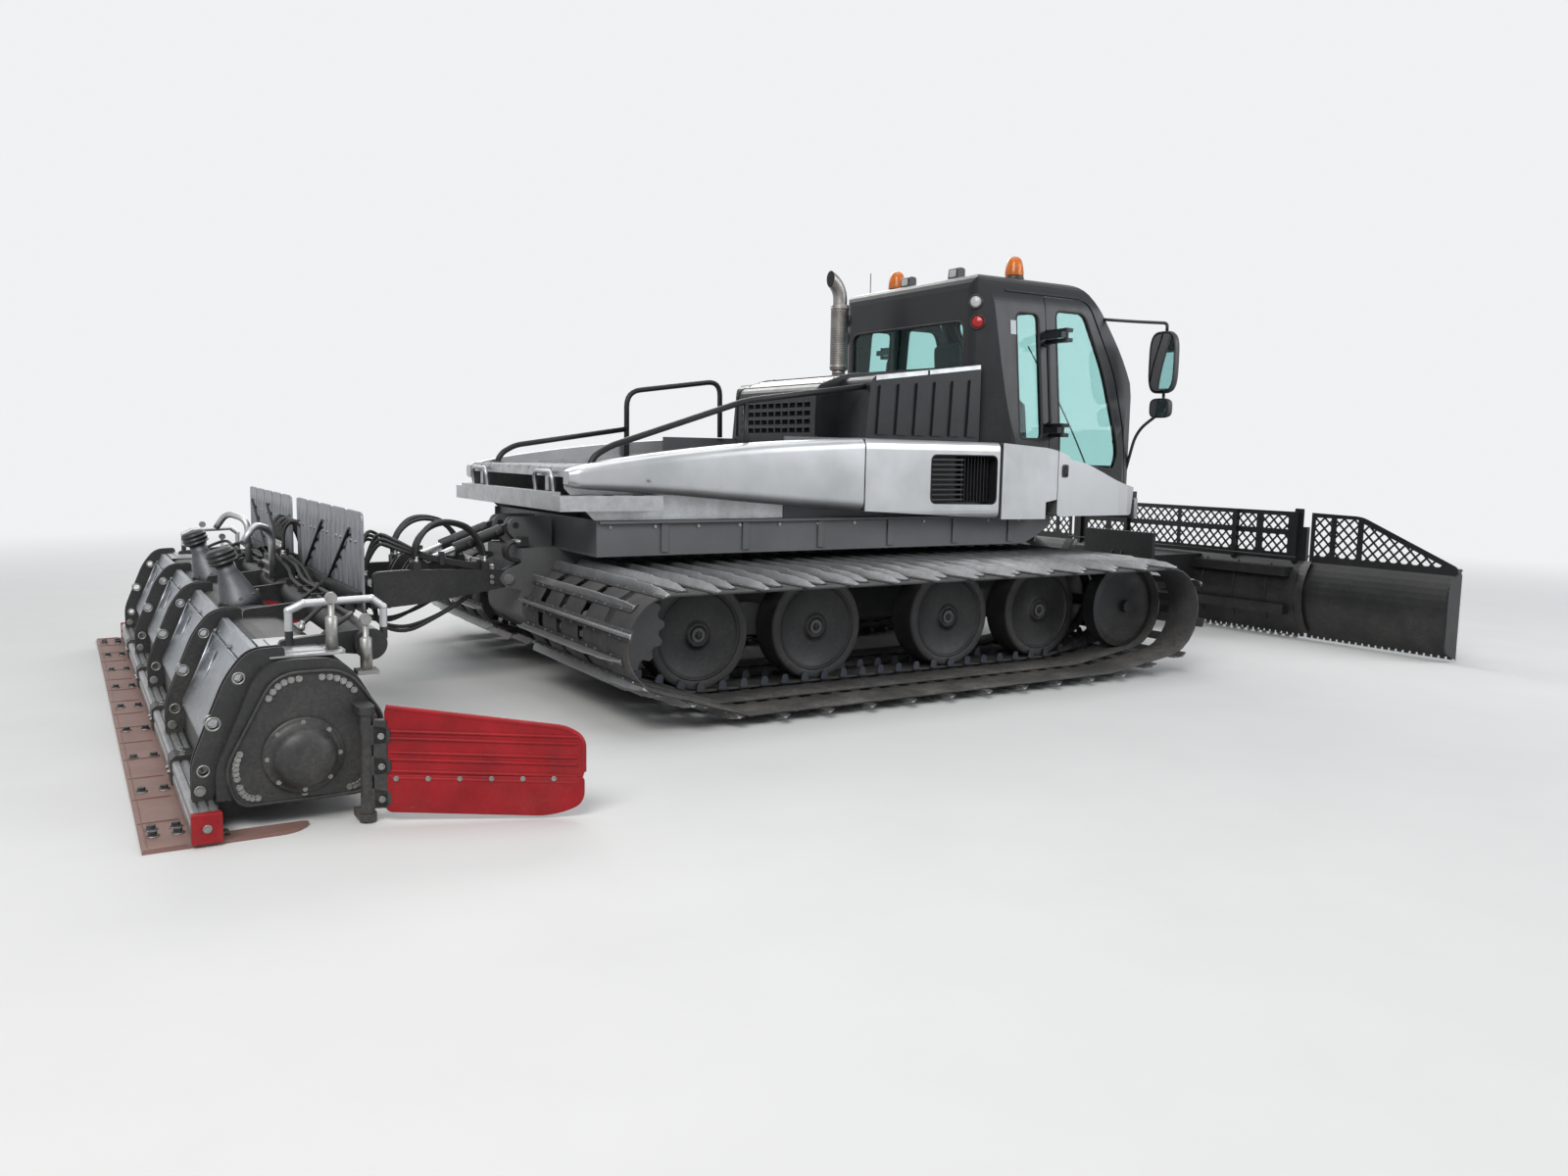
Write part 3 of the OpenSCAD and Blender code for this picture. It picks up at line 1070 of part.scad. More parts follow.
chassis();
engine_block();
rear_deck();
engine_hood();
exhaust();
cover();  // cover_right
mirror([0, 1, 0]) cover();  // cover_left
pod();  // pod_right
mirror([0, 1, 0]) pod();  // pod_left
side_panel();  // side_panel_right
mirror([0, 1, 0]) side_panel();  // side_panel_left
fender();  // fender_right
mirror([0, 1, 0]) fender();  // fender_left
nose();
cab_shell();
cab_roof();
cab_glass();
seats();
dashboard();
door();  // door_right
mirror([0, 1, 0]) door();  // door_left
door_glass();  // door_glass_right
mirror([0, 1, 0]) door_glass();  // door_glass_left
mirror_arm();  // mirror_right
mirror([0, 1, 0]) mirror_arm();  // mirror_left
lamps();
rail_right();
rail_left();
track();  // track_right
mirror([0, 1, 0]) track();  // track_left
wheels();  // wheels_right
mirror([0, 1, 0]) wheels();  // wheels_left
tandem();  // tandem_right
mirror([0, 1, 0]) tandem();  // tandem_left
sprocket();  // sprocket_right
mirror([0, 1, 0]) sprocket();  // sprocket_left
idler();  // idler_right
mirror([0, 1, 0]) idler();  // idler_left
push_frame();
blade_yoke();
blade_mid();
mirror([0, 1, 0]) blade_wing();  // blade_wing_right
blade_wing();  // blade_wing_left
blade_barrels();
blade_rods();
tiller_arms();
tiller_frame();
union() { tiller_hood(); tiller_side_lugs(); }
tiller_rotor();
finisher();
finisher_beam();
snow_shields();
side_wing();  // side_wing_right
mirror([0, 1, 0]) side_wing();  // side_wing_left
tiller_barrels();
tiller_rods();
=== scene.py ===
import math
import bmesh
import bpy
from mathutils import Matrix, Vector

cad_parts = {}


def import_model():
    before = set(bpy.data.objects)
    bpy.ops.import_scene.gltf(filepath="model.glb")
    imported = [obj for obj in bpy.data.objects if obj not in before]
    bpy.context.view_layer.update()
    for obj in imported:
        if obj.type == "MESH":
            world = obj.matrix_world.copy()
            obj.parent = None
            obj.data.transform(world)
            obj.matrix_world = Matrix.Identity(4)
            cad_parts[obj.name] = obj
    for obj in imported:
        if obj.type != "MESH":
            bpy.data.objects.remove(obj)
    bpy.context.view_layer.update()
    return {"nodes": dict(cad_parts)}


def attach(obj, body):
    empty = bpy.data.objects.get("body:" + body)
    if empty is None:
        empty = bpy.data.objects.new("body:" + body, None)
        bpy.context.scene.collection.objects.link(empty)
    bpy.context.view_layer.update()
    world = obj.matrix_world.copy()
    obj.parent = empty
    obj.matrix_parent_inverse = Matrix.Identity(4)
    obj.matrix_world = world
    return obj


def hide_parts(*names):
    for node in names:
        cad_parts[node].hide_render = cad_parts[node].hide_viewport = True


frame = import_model()
nodes = frame["nodes"]
TAU = 2 * math.pi
SIDES = {-1: "right", 1: "left"}


# Materials
class Mat:
    """Small builder of node materials."""

    def __init__(self, name):
        self.m = bpy.data.materials.new(name)
        self.m.use_nodes = True
        self.t = self.m.node_tree
        self.b = self.t.nodes["Principled BSDF"]
        co = self.t.nodes.new("ShaderNodeTexCoord")
        self.co = co.outputs["Object"]

    def node(self, kind, **k):
        n = self.t.nodes.new(kind)
        for key, v in k.items():
            if key in n.inputs:
                n.inputs[key].default_value = v
            else:
                setattr(n, key, v)
        return n

    def link(self, a, b):
        self.t.links.new(a, b)

    def scaled(self, v):
        n = self.node("ShaderNodeMapping")
        n.inputs["Scale"].default_value = v
        self.link(self.co, n.inputs["Vector"])
        return n.outputs["Vector"]

    def noise(self, scale, detail=4.0, rough=0.55, stretch=None):
        n = self.node("ShaderNodeTexNoise", Scale=scale, Detail=detail, Roughness=rough)
        self.link(self.scaled(stretch) if stretch else self.co, n.inputs["Vector"])
        return n.outputs["Fac"]

    def cells(self, scale, stretch=None):
        n = self.node("ShaderNodeTexVoronoi", Scale=scale)
        self.link(self.scaled(stretch) if stretch else self.co, n.inputs["Vector"])
        return n.outputs["Distance"]

    def ramp(self, fac, stops):
        n = self.node("ShaderNodeValToRGB")
        e = n.color_ramp.elements
        while len(e) < len(stops):
            e.new(0.5)
        for s, (p, c) in zip(e, stops):
            s.position = p
            s.color = (*c, 1) if isinstance(c, tuple) else (c, c, c, 1)
        self.link(fac, n.inputs["Fac"])
        return n.outputs["Color"]

    def mix(self, fac, a, b):
        n = self.node("ShaderNodeMix", data_type="RGBA")
        for value, s in ((fac, n.inputs[0]), (a, n.inputs[6]), (b, n.inputs[7])):
            if isinstance(value, tuple):
                s.default_value = (*value, 1)
            elif isinstance(value, float):
                s.default_value = value
            else:
                self.link(value, s)
        return n.outputs[2]

    def math(self, op, a, b=0.0):
        n = self.node("ShaderNodeMath", operation=op)
        for value, s in ((a, n.inputs[0]), (b, n.inputs[1])):
            if isinstance(value, float):
                s.default_value = value
            else:
                self.link(value, s)
        return n.outputs[0]

    def times(self, a, b):
        return self.math("MULTIPLY", a, b)

    def plus(self, a, b):
        return self.math("ADD", a, b)

    def ranged_z(self, vector, low, high, start, end):
        """From start to end as the Z of vector goes from low to high"""
        s = self.node("ShaderNodeSeparateXYZ")
        self.link(vector, s.inputs[0])
        r = self.node("ShaderNodeMapRange")
        for key, v in (("From Min", low), ("From Max", high), ("To Min", start), ("To Max", end)):
            r.inputs[key].default_value = v
        self.link(s.outputs["Z"], r.inputs["Value"])
        return r.outputs["Result"]

    def height(self, low, high):
        """1 at low, 0 at high, along Z"""
        return self.ranged_z(self.co, low, high, 1.0, 0.0)

    def upward(self):
        """1 where the surface looks up"""
        return self.ranged_z(self.node("ShaderNodeNewGeometry").outputs["Normal"], 0.55, 0.95, 0.0, 1.0)

    def bump(self, height, strength=0.3, distance=0.002):
        n = self.node("ShaderNodeBump", Strength=strength, Distance=distance)
        old = self.b.inputs["Normal"].links
        if old:
            self.link(old[0].from_socket, n.inputs["Normal"])
        self.link(height, n.inputs["Height"])
        self.link(n.outputs["Normal"], self.b.inputs["Normal"])

    def set(self, **k):
        for key, v in k.items():
            s = self.b.inputs[key.replace("_", " ")]
            if isinstance(v, bpy.types.NodeSocket):
                self.link(v, s)
            elif isinstance(v, tuple):
                s.default_value = (*v, 1)
            else:
                s.default_value = v
        return self


DUST = (0.23, 0.215, 0.19)


def dusty(m, base, amount, low=0.0, high=1.2, up=0.35):
    """Mixes dry dust over a colour, more of it low down and on faces that look up; gives colour and share"""
    blot = m.ramp(m.noise(3.5, 8.0, 0.7), [(0.42, 0.0), (0.72, 1.0)])
    fine = m.ramp(m.noise(60.0, 3.0, 0.6), [(0.35, 0.35), (0.7, 1.0)])
    place = m.plus(m.times(m.height(low, high), 0.8), m.times(m.upward(), up))
    fac = m.times(m.times(m.plus(blot, 0.25), fine), m.times(place, amount))
    clamp = m.node("ShaderNodeClamp")
    m.link(fac, clamp.inputs["Value"])
    return m.mix(clamp.outputs[0], base, DUST), clamp.outputs[0]


def paint(name, colour, metallic, rough, dust, low, high, up, peel, wear=None):
    """Paint with clouded tone, streaks and orange peel; wear is the colour that scratches lay bare"""
    m = Mat(name)
    dark = tuple(c * 0.8 for c in colour)
    base = m.mix(m.ramp(m.noise(2.2, 5.0), [(0.35, 0.0), (0.65, 1.0)]), dark, colour)
    if wear:
        scratch = m.ramp(m.noise(26.0, 6.0, 0.7, (1.0, 1.0, 5.0)), [(0.66, 0.0), (0.7, 1.0)])
        base = m.mix(m.times(scratch, 0.6), base, wear)
    col, fac = dusty(m, base, dust, low, high, up)
    streak = m.noise(14.0, 5.0, 0.6, (1.0, 1.0, 0.25))
    r = m.plus(m.times(streak, 0.18), rough - 0.06)
    m.set(Base_Color=col, Metallic=metallic, Roughness=m.plus(r, m.times(fac, 0.45)))
    m.bump(m.noise(420.0, 2.0), peel, 0.0006)
    return m


def metal(name, colour, rough, dust, brushed, low, high, up=0.3, grime=0.5):
    """Bare metal with grime in spots, its lines stretched by brushed"""
    m = Mat(name)
    spots = m.ramp(m.noise(9.0, 9.0, 0.72), [(0.38, 0.0), (0.68, 1.0)])
    base = m.mix(m.times(spots, grime), colour, tuple(c * 0.38 for c in colour))
    col, fac = dusty(m, base, dust, low, high, up)
    lines = m.noise(70.0, 4.0, 0.7, brushed)
    m.set(Base_Color=col, Metallic=0.92,
          Roughness=m.plus(m.times(lines, 0.3), m.plus(m.times(fac, 0.4), rough - 0.15)))
    m.bump(lines, 0.16, 0.0006)
    m.bump(m.noise(18.0, 6.0), 0.12, 0.003)
    return m


def rubber(name, colour, rough, dust, low, high, up, grain=260.0):
    """Rubber or matt plastic with a fine grain"""
    m = Mat(name)
    base = m.mix(m.noise(6.0, 6.0), tuple(c * 0.65 for c in colour), tuple(c * 1.25 for c in colour))
    m.set(Base_Color=dusty(m, base, dust, low, high, up)[0],
          Roughness=m.plus(m.times(m.noise(30.0), 0.2), rough - 0.1))
    m.bump(m.noise(grain, 3.0), 0.25, 0.0012)
    m.bump(m.noise(14.0, 6.0), 0.2, 0.004)
    return m


M = {}
SILVER = ((0.5, 0.51, 0.52), 0.82, 0.3, 0.28, 1.05, 1.35, 0.12, 0.04)
PANEL = ((0.014, 0.015, 0.018), 0.0, 0.3, 0.14, 1.2, 3.0, 0.25, 0.1)
FRAME = ((0.017, 0.018, 0.02), 0.1, 0.4, 0.5, 0.0, 1.1, 0.28, 0.2, (0.09, 0.08, 0.075))
M["silver"] = paint("silver_paint", *SILVER)
M["black"] = paint("black_paint", (0.012, 0.0125, 0.014), 0.0, 0.34, 0.3, 0.3, 2.4, 0.12, 0.08)
M["body_black"] = paint("black_panel", *PANEL)
M["frame_black"] = paint("black_steel", *FRAME)


def second_colour(m, inside, colour, metallic, first=0.0):
    """A second paint on the same panel, where inside is 1"""
    old = m.b.inputs["Base Color"].links[0].from_socket
    step = m.times(inside, metallic - first)
    return m.set(Base_Color=m.mix(inside, old, colour), Metallic=m.plus(step, first))


def parts(m):
    """X, distance from the middle, and Z of the shaded point"""
    s = m.node("ShaderNodeSeparateXYZ")
    m.link(m.co, s.inputs[0])
    return s.outputs["X"], m.math("ABSOLUTE", s.outputs["Y"]), s.outputs["Z"]


def guard_paint():
    """Black frame paint that turns to bare tube on the guards at the tiller frame's ends"""
    m = paint("tiller_frame_paint", *FRAME)
    x, y, z = parts(m)
    bare = m.times(m.math("GREATER_THAN", z, 0.772), m.math("GREATER_THAN", y, 2.3))
    return second_colour(m, bare, SILVER[0], 0.9, FRAME[1])


def door_paint():
    """Black door with a silver skirt"""
    m = paint("door_paint", *PANEL)
    x, y, z = parts(m)
    m.set(Specular_IOR_Level=0.28)
    skirt = m.times(m.math("GREATER_THAN", y, 1.052), m.math("LESS_THAN", z, 1.7))
    return second_colour(m, skirt, *SILVER[:2])


def intake_paint():
    """Silver panel with painted shade in the hollow behind its intake"""
    m = paint("intake_paint", *SILVER)
    x, y, z = parts(m)
    # Near-black inside the intake's recess: painted shade
    hollow = m.times(m.times(m.math("LESS_THAN", y, 1.152), m.math("GREATER_THAN", x, 0.508)),
                  m.times(m.math("GREATER_THAN", z, 1.216), m.math("LESS_THAN", z, 1.582)))
    return second_colour(m, hollow, (0.016, 0.017, 0.019), 0.0, SILVER[1])


M["frame_guard"] = guard_paint()
for name in ("black", "body_black"):
    M[name].set(Specular_IOR_Level=0.28)
M["door"] = door_paint()
M["intake"] = intake_paint()
M["blade"] = paint("blade_black", (0.011, 0.0115, 0.013), 0.1, 0.38, 0.3, 0.0, 0.9, 0.2, 0.2, (0.1, 0.095, 0.09))
M["chassis"] = paint("dark_grey_paint", (0.12, 0.124, 0.13), 0.15, 0.48, 0.75, 0.1, 1.2, 0.35, 0.25)
M["engine"] = paint("engine_grey", (0.2, 0.21, 0.22), 0.2, 0.5, 0.4, 0.8, 2.0, 0.3, 0.3)
M["horn"] = paint("horn_steel", (0.075, 0.085, 0.11), 0.6, 0.42, 0.6, 0.0, 0.9, 0.3, 0.3, (0.3, 0.3, 0.31))
# Flat black on the shield's holes and across the pipe's mouth: painted shade of the hollows behind them, the mouth
# sooty as well
M["soot_and_painted_shade"] = paint("soot_and_painted_shade", (0.01, 0.01, 0.01), 0.0, 0.8, 0.05, 0.0, 1.0, 0.0, 0.2)
M["alu"] = metal("bare_aluminium", (0.5, 0.51, 0.52), 0.36, 0.45, (1.0, 1.0, 6.0), 0.9, 1.6)
M["alu_bar"] = metal("crossbar_aluminium", (0.42, 0.425, 0.435), 0.42, 0.45, (1.0, 0.4, 1.5), 0.0, 0.9, 0.25, 0.45)
# Crossbar foot plates, far darker than the bars: painted shade of the gaps between the crossbars
M["foot"] = metal("bar_foot", (0.1, 0.1, 0.102), 0.6, 0.6, (1.0, 0.4, 1.5), 0.0, 0.9, 0.2, 0.5)
M["casting"] = metal("grey_casting", (0.13, 0.135, 0.145), 0.5, 0.5, (1.0, 1.0, 1.0), 0.0, 1.0, 0.3, 0.5)
M["steel"] = metal("zinc_steel", (0.36, 0.36, 0.35), 0.42, 0.5, (1.0, 1.0, 1.0), 0.0, 1.0, 0.2, 0.7)
M["shield"] = metal("shield_aluminium", (0.27, 0.28, 0.3), 0.42, 0.3, (1.0, 1.0, 0.15), 0.6, 1.1, 0.2, 0.3)
M["plate"] = metal("cover_plate", (0.34, 0.36, 0.39), 0.3, 0.4, (1.0, 0.2, 1.0), 0.1, 0.7, 0.35, 0.4)
M["chrome"] = metal("chrome", (0.72, 0.72, 0.73), 0.14, 0.05, (1.0, 1.0, 0.2), 0.0, 1.0, 0.05, 0.15)
M["pipe"] = metal("exhaust_steel", (0.3, 0.285, 0.27), 0.42, 0.25, (1.0, 1.0, 0.3), 0.0, 1.0, 0.1, 0.7)
M["rod"] = metal("rod_chrome", (0.75, 0.76, 0.77), 0.1, 0.05, (1.0, 1.0, 1.0), 0.0, 1.0, 0.0, 0.1)
M["belt"] = rubber("belt_rubber", (0.03, 0.03, 0.032), 0.72, 0.7, 0.0, 0.9, 0.5)
M["tyre"] = rubber("wheel_rubber", (0.032, 0.032, 0.034), 0.6, 0.6, 0.0, 0.9, 0.3)
M["disc"] = paint("wheel_disc", (0.022, 0.023, 0.026), 0.3, 0.42, 0.45, 0.0, 0.9, 0.2, 0.12)
M["seal"] = rubber("seal_rubber", (0.012, 0.012, 0.013), 0.65, 0.12, 1.0, 3.0, 0.15)
M["hose"] = rubber("rubber_belt", (0.015, 0.015, 0.016), 0.52, 0.3, 0.0, 1.2, 0.25, 500.0)
M["mat"] = rubber("finisher_mat", (0.22, 0.115, 0.095), 0.6, 0.5, -0.2, 0.3, 0.4, 160.0)
M["housing"] = rubber("lamp_housing", (0.012, 0.012, 0.013), 0.42, 0.0, 1.0, 3.0, 0.9, 700.0)
M["pale"] = paint("pale_plate", (0.5, 0.53, 0.58), 0.0, 0.4, 0.2, 1.0, 3.0, 0.3, 0.1)
M["plastic"] = rubber("black_plastic", (0.017, 0.0175, 0.019), 0.45, 0.1, 1.0, 3.0, 0.12, 700.0)
M["grey_plastic"] = rubber("grey_plastic", (0.09, 0.093, 0.097), 0.55, 0.1, 1.0, 3.0, 0.1, 700.0)


def red():
    m = Mat("red_plastic")
    base = m.mix(m.ramp(m.noise(5.0, 7.0, 0.65), [(0.35, 0.0), (0.7, 1.0)]), (0.22, 0.003, 0.007),
                 (0.36, 0.005, 0.011))
    scratch = m.ramp(m.noise(34.0, 6.0, 0.75, (0.4, 0.4, 5.0)), [(0.64, 0.0), (0.7, 1.0)])
    base = m.mix(m.times(scratch, 0.35), base, (0.6, 0.2, 0.19))
    m.set(Base_Color=dusty(m, base, 0.2, -0.1, 0.5, 0.1)[0],
          Roughness=m.plus(m.times(m.noise(22.0), 0.25), 0.3), Specular_IOR_Level=0.3)
    m.bump(m.noise(300.0), 0.15, 0.0008)
    return m


M["red"] = red()


def glass(name, colour, rough=0.02):
    """Tinted glass with faint smears"""
    m = Mat(name)
    smear = m.ramp(m.noise(7.0, 6.0, 0.7), [(0.45, 0.0), (0.8, 1.0)])
    m.set(Base_Color=m.mix(m.times(smear, 0.25), colour, tuple(min(1.0, c * 1.15) for c in colour)),
          Transmission_Weight=1.0, IOR=1.2,
          Roughness=m.plus(m.times(smear, 0.06), rough))
    return m


M["glass"] = glass("tinted_glass", (0.6, 0.82, 0.8))


def lens(name, colour, cell=90.0):
    """Ribbed lamp lens"""
    m = Mat(name)
    ridge = m.noise(cell, 1.0, 0.5, (1.0, 1.0, 0.1))
    m.set(Base_Color=m.mix(ridge, tuple(c * 0.7 for c in colour), colour), Transmission_Weight=0.35,
          Roughness=0.16, IOR=1.45)
    m.bump(ridge, 0.4, 0.002)
    return m


M["amber"] = lens("amber_lens", (0.95, 0.24, 0.015))
M["red_lens"] = lens("red_lens", (0.7, 0.02, 0.02))
M["white_lens"] = lens("white_lens", (0.85, 0.86, 0.86))


def fabric():
    m = Mat("seat_fabric")
    weave = m.cells(900.0)
    base = m.mix(m.noise(5.0, 5.0), (0.022, 0.024, 0.028), (0.05, 0.053, 0.06))
    m.set(Base_Color=m.mix(m.times(weave, 0.6), base, (0.085, 0.088, 0.095)), Roughness=0.9,
          Sheen_Weight=0.3)
    m.bump(weave, 0.5, 0.0012)
    return m


M["fabric"] = fabric()


def mirror_glass():
    m = Mat("mirror_glass")
    m.set(Base_Color=m.mix(m.noise(4.0), (0.7, 0.72, 0.74), (0.78, 0.8, 0.82)), Metallic=1.0, Roughness=0.03)
    return m


M["mirror"] = mirror_glass()


def chequer():
    """Bright tread plate with raised lozenges, painted lighter than the plate as painted highlight on their tops"""
    m = Mat("tread_plate")
    a = m.ramp(m.cells(34.0, (1.0, 2.6, 1.0)), [(0.1, 1.0), (0.22, 0.0)])
    spots = m.ramp(m.noise(6.0, 8.0, 0.7), [(0.4, 0.0), (0.7, 1.0)])
    base = m.mix(m.times(spots, 0.4), (0.3, 0.3, 0.305), (0.13, 0.13, 0.132))
    # Lighter lozenges: painted highlight on their raised tops
    base = m.mix(m.times(a, 0.45), base, (0.55, 0.55, 0.56))
    col, fac = dusty(m, base, 0.3, 1.2, 2.6, 0.3)
    m.set(Base_Color=col, Metallic=0.7, Roughness=m.plus(m.times(fac, 0.4), 0.44), Specular_IOR_Level=0.3)
    m.bump(a, 1.0, 0.004)
    return m


M["tread"] = chequer()


# Mesh making
BOX_FACES = [(3, 2, 1, 0), (4, 5, 6, 7), (0, 1, 5, 4), (1, 2, 6, 5), (2, 3, 7, 6), (3, 0, 4, 7)]


def quads(rows, n, closed=False, across=True):
    """Faces of a grid of rows with n points each

    Across joins each row's end to its start, closed the last row to the first.
    """
    return [(i * n + k, i * n + (k + 1) % n, (i + 1) % rows * n + (k + 1) % n, (i + 1) % rows * n + k)
            for i in range(rows if closed else rows - 1) for k in range(n if across else n - 1)]


def flipped(faces):
    return [q[::-1] for q in faces]


class Form:
    """Collects vertices and faces, in metres, and turns them into a piece."""

    def __init__(self):
        self.v, self.f, self.s = [], [], []

    def add(self, verts, faces, smooth=False, at=None):
        n = len(self.v)
        self.v += [tuple(at @ Vector(p)) if at else tuple(p) for p in verts]
        self.f += [tuple(i + n for i in q) for q in faces]
        self.s += [smooth] * len(faces)

    def box(self, lo, hi, at=None):
        (a, b, c), (d, e, f) = lo, hi
        self.add([(x, y, z) for z in (c, f) for x, y in ((a, b), (d, b), (d, e), (a, e))], BOX_FACES, False, at)

    def side_box(self, side, xs, ys, zs):
        """Box from two X, two distances from the middle and two Z"""
        ys = span(side, *ys)
        self.box((xs[0], ys[0], zs[0]), (xs[1], ys[1], zs[1]))

    def slab(self, outline, lo, hi, axis="y", at=None):
        """Outline in the two other axes, drawn out along axis. Outlines run in X and Z, Y and Z, or X and Y."""
        n = len(outline)
        signed = sum(a[0] * b[1] - b[0] * a[1] for a, b in zip(outline, outline[1:] + outline[:1]))
        o = outline if signed > 0 else outline[::-1]
        put = {"x": lambda p, h: (h, p[0], p[1]),
               "y": lambda p, h: (p[0], h, p[1]),
               "z": lambda p, h: (p[0], p[1], h)}[axis]
        faces = [tuple(range(n))[::-1], tuple(range(n, 2 * n))] + quads(2, n)
        self.add([put(p, h) for h in (lo, hi) for p in o], flipped(faces) if axis == "y" else faces, False, at)

    def tube(self, path, r, sides=10, at=None, closed=False):
        """Round tube along points; r is one radius or one for each point."""
        p = [Vector(q) for q in path]
        n = len(p)
        rs = r if isinstance(r, (list, tuple)) else [r] * n
        verts = []
        prev = None
        for i in range(n):
            a = p[(i - 1) % n] if closed or i else p[0]
            b = p[(i + 1) % n] if closed or i < n - 1 else p[-1]
            t = (b - a).normalized()
            if prev is None:
                up = Vector((0, 0, 1)) if abs(t.z) < 0.9 else Vector((1, 0, 0))
                u = t.cross(up).normalized()
            else:
                u = (prev - t * prev.dot(t)).normalized()
            prev = u
            w = t.cross(u)
            for k in range(sides):
                ang = TAU * k / sides
                verts.append(p[i] + (u * math.cos(ang) + w * math.sin(ang)) * rs[i])
        self.add(verts, quads(n, sides, closed), True, at)
        if not closed:
            self.cap(n, sides)

    def lathe(self, profile, sides=32, at=None, ring=False, caps=True):
        """Profile of (radius, height) turned about Z; use at to place it. A ring's last point joins its first."""
        if ring:
            profile = profile + profile[:1]
        circle = [(math.cos(TAU * k / sides), math.sin(TAU * k / sides)) for k in range(sides)]
        self.add([(r * c, r * s, z) for r, z in profile for c, s in circle], quads(len(profile), sides), True, at)
        if caps and not ring:
            self.cap(len(profile), sides, profile[0][0] > 1e-6, profile[-1][0] > 1e-6)

    def cap(self, rows, n, first=True, last=True):
        """Flat faces over the first and the last row of the rings just added"""
        base = len(self.v) - rows * n
        ends = [tuple(range(base, base + n))[::-1]] * first
        ends += [tuple(range(base + (rows - 1) * n, base + rows * n))] * last
        self.f += ends
        self.s += [False] * len(ends)

    def bolt(self, point, normal, r=0.01, h=0.007, washer=True):
        """Hexagon head, on a washer or without"""
        at = facing(point, normal)
        if washer:
            self.lathe([(r * 1.45, -0.001), (r * 1.45, 0.002), (r * 1.3, 0.0026)], 10, at)
        z = 0.0024 if washer else 0.0
        hexa = [(r * math.cos(TAU * k / 6), r * math.sin(TAU * k / 6)) for k in range(6)]
        self.slab(hexa, z - 0.001, z + h, "z", at)

    def piece(self, name, material, body, slot, replaces="", bevel=0.0, segments=2, angle=30):
        """Makes the object; replaces names the nodes it stands for, with blanks between"""
        me = bpy.data.meshes.new(name)
        me.from_pydata(self.v, [], self.f)
        me.polygons.foreach_set("use_smooth", self.s)
        bm = bmesh.new()
        bm.from_mesh(me)
        bmesh.ops.recalc_face_normals(bm, faces=bm.faces)
        bm.to_mesh(me)
        bm.free()
        me.materials.append(M[material].m)
        me.update()
        o = bpy.data.objects.new(name, me)
        bpy.context.scene.collection.objects.link(o)
        if bevel:
            b = o.modifiers.new("Bevel", "BEVEL")
            b.width = bevel
            b.segments = segments
            b.limit_method = "ANGLE"
            b.angle_limit = math.radians(angle)
            b.harden_normals = True
            for q in me.polygons:
                q.use_smooth = True
        if replaces:
            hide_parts(*replaces.split())
        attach(o, body)
        return o


def span(side, a, b):
    """Two distances from the middle as low and high Y on one side"""
    return sorted((side * a, side * b))


def turn(angle, axis):
    return Matrix.Rotation(math.radians(angle), 4, axis)


def shift(x, y, z):
    return Matrix.Translation((x, y, z))


def facing(point, normal):
    """Places +Z of a form along normal at point."""
    return Matrix.Translation(Vector(point)) @ Vector(normal).to_track_quat("Z", "Y").to_matrix().to_4x4()


def curve(points, step=0.02):
    """Catmull-Rom curve through points"""
    p = [Vector(q) for q in points]
    p = [2 * p[0] - p[1]] + p + [2 * p[-1] - p[-2]]
    out = []
    for i in range(1, len(p) - 2):
        a, b, c, d = p[i - 1], p[i], p[i + 1], p[i + 2]
        n = max(2, int((c - b).length / step))
        for k in range(n):
            t = k / n
            cubic = (3 * b - a - 3 * c + d) * t ** 3
            out.append(0.5 * (2 * b + (c - a) * t + (2 * a - 5 * b + 4 * c - d) * t * t + cubic))
    out.append(p[-2])
    return out


def rounded(points, r, n=5):
    """Polyline with its inner corners rounded to radius-like length r"""
    p = [Vector(q) for q in points]
    out = [p[0]]
    for a, b, c in zip(p, p[1:], p[2:]):
        s = min(r, 0.48 * (a - b).length, 0.48 * (c - b).length)
        u, w = b + (a - b).normalized() * s, b + (c - b).normalized() * s
        for k in range(n + 1):
            t = k / n
            out.append(u * (1 - t) ** 2 + b * 2 * t * (1 - t) + w * t * t)
    return out + [p[-1]]


def outline(rows, n=6):
    """Closed outline whose corners (a, b, rounding) are curved as the source curves them"""
    out, m = [], len(rows)
    for i in range(m):
        a, p, b = (Vector(rows[(i + d) % m][:2]) for d in (-1, 0, 1))
        s = rows[i][2]
        if not s:
            out.append(tuple(p))
            continue
        s = min(s, 0.48 * (a - p).length, 0.48 * (b - p).length)
        for k in range(n + 1):
            t = k / n
            out.append(tuple(p + (a - p).normalized() * s * (1 - t) ** 2 + (b - p).normalized() * s * t * t))
    return out


# Camera and light
def camera():
    """The photo's camera, as it was solved from the photo"""
    yaw, pitch, roll = math.radians(31.7), math.radians(6.55), math.radians(-1.01)
    fwd = Vector((math.sin(yaw) * math.cos(pitch), math.cos(yaw) * math.cos(pitch), -math.sin(pitch)))
    right = Vector((math.cos(yaw), -math.sin(yaw), 0.0))
    down = Vector((-math.sin(pitch) * math.sin(yaw), -math.sin(pitch) * math.cos(yaw), -math.cos(pitch)))
    r = right * math.cos(roll) + down * math.sin(roll)
    d = down * math.cos(roll) - right * math.sin(roll)
    cam = bpy.data.objects.new("camera", bpy.data.cameras.new("camera"))
    cam.data.lens = 27.04
    cam.data.sensor_width = 36.0
    cam.data.clip_end = 200.0
    rot = Matrix((r, -d, -fwd)).transposed().to_4x4()
    cam.matrix_world = shift(-4.834, -7.832, 1.573) @ rot
    bpy.context.scene.collection.objects.link(cam)
    bpy.context.scene.camera = cam


camera()
scene = bpy.context.scene
scene.view_settings.view_transform = "Standard"


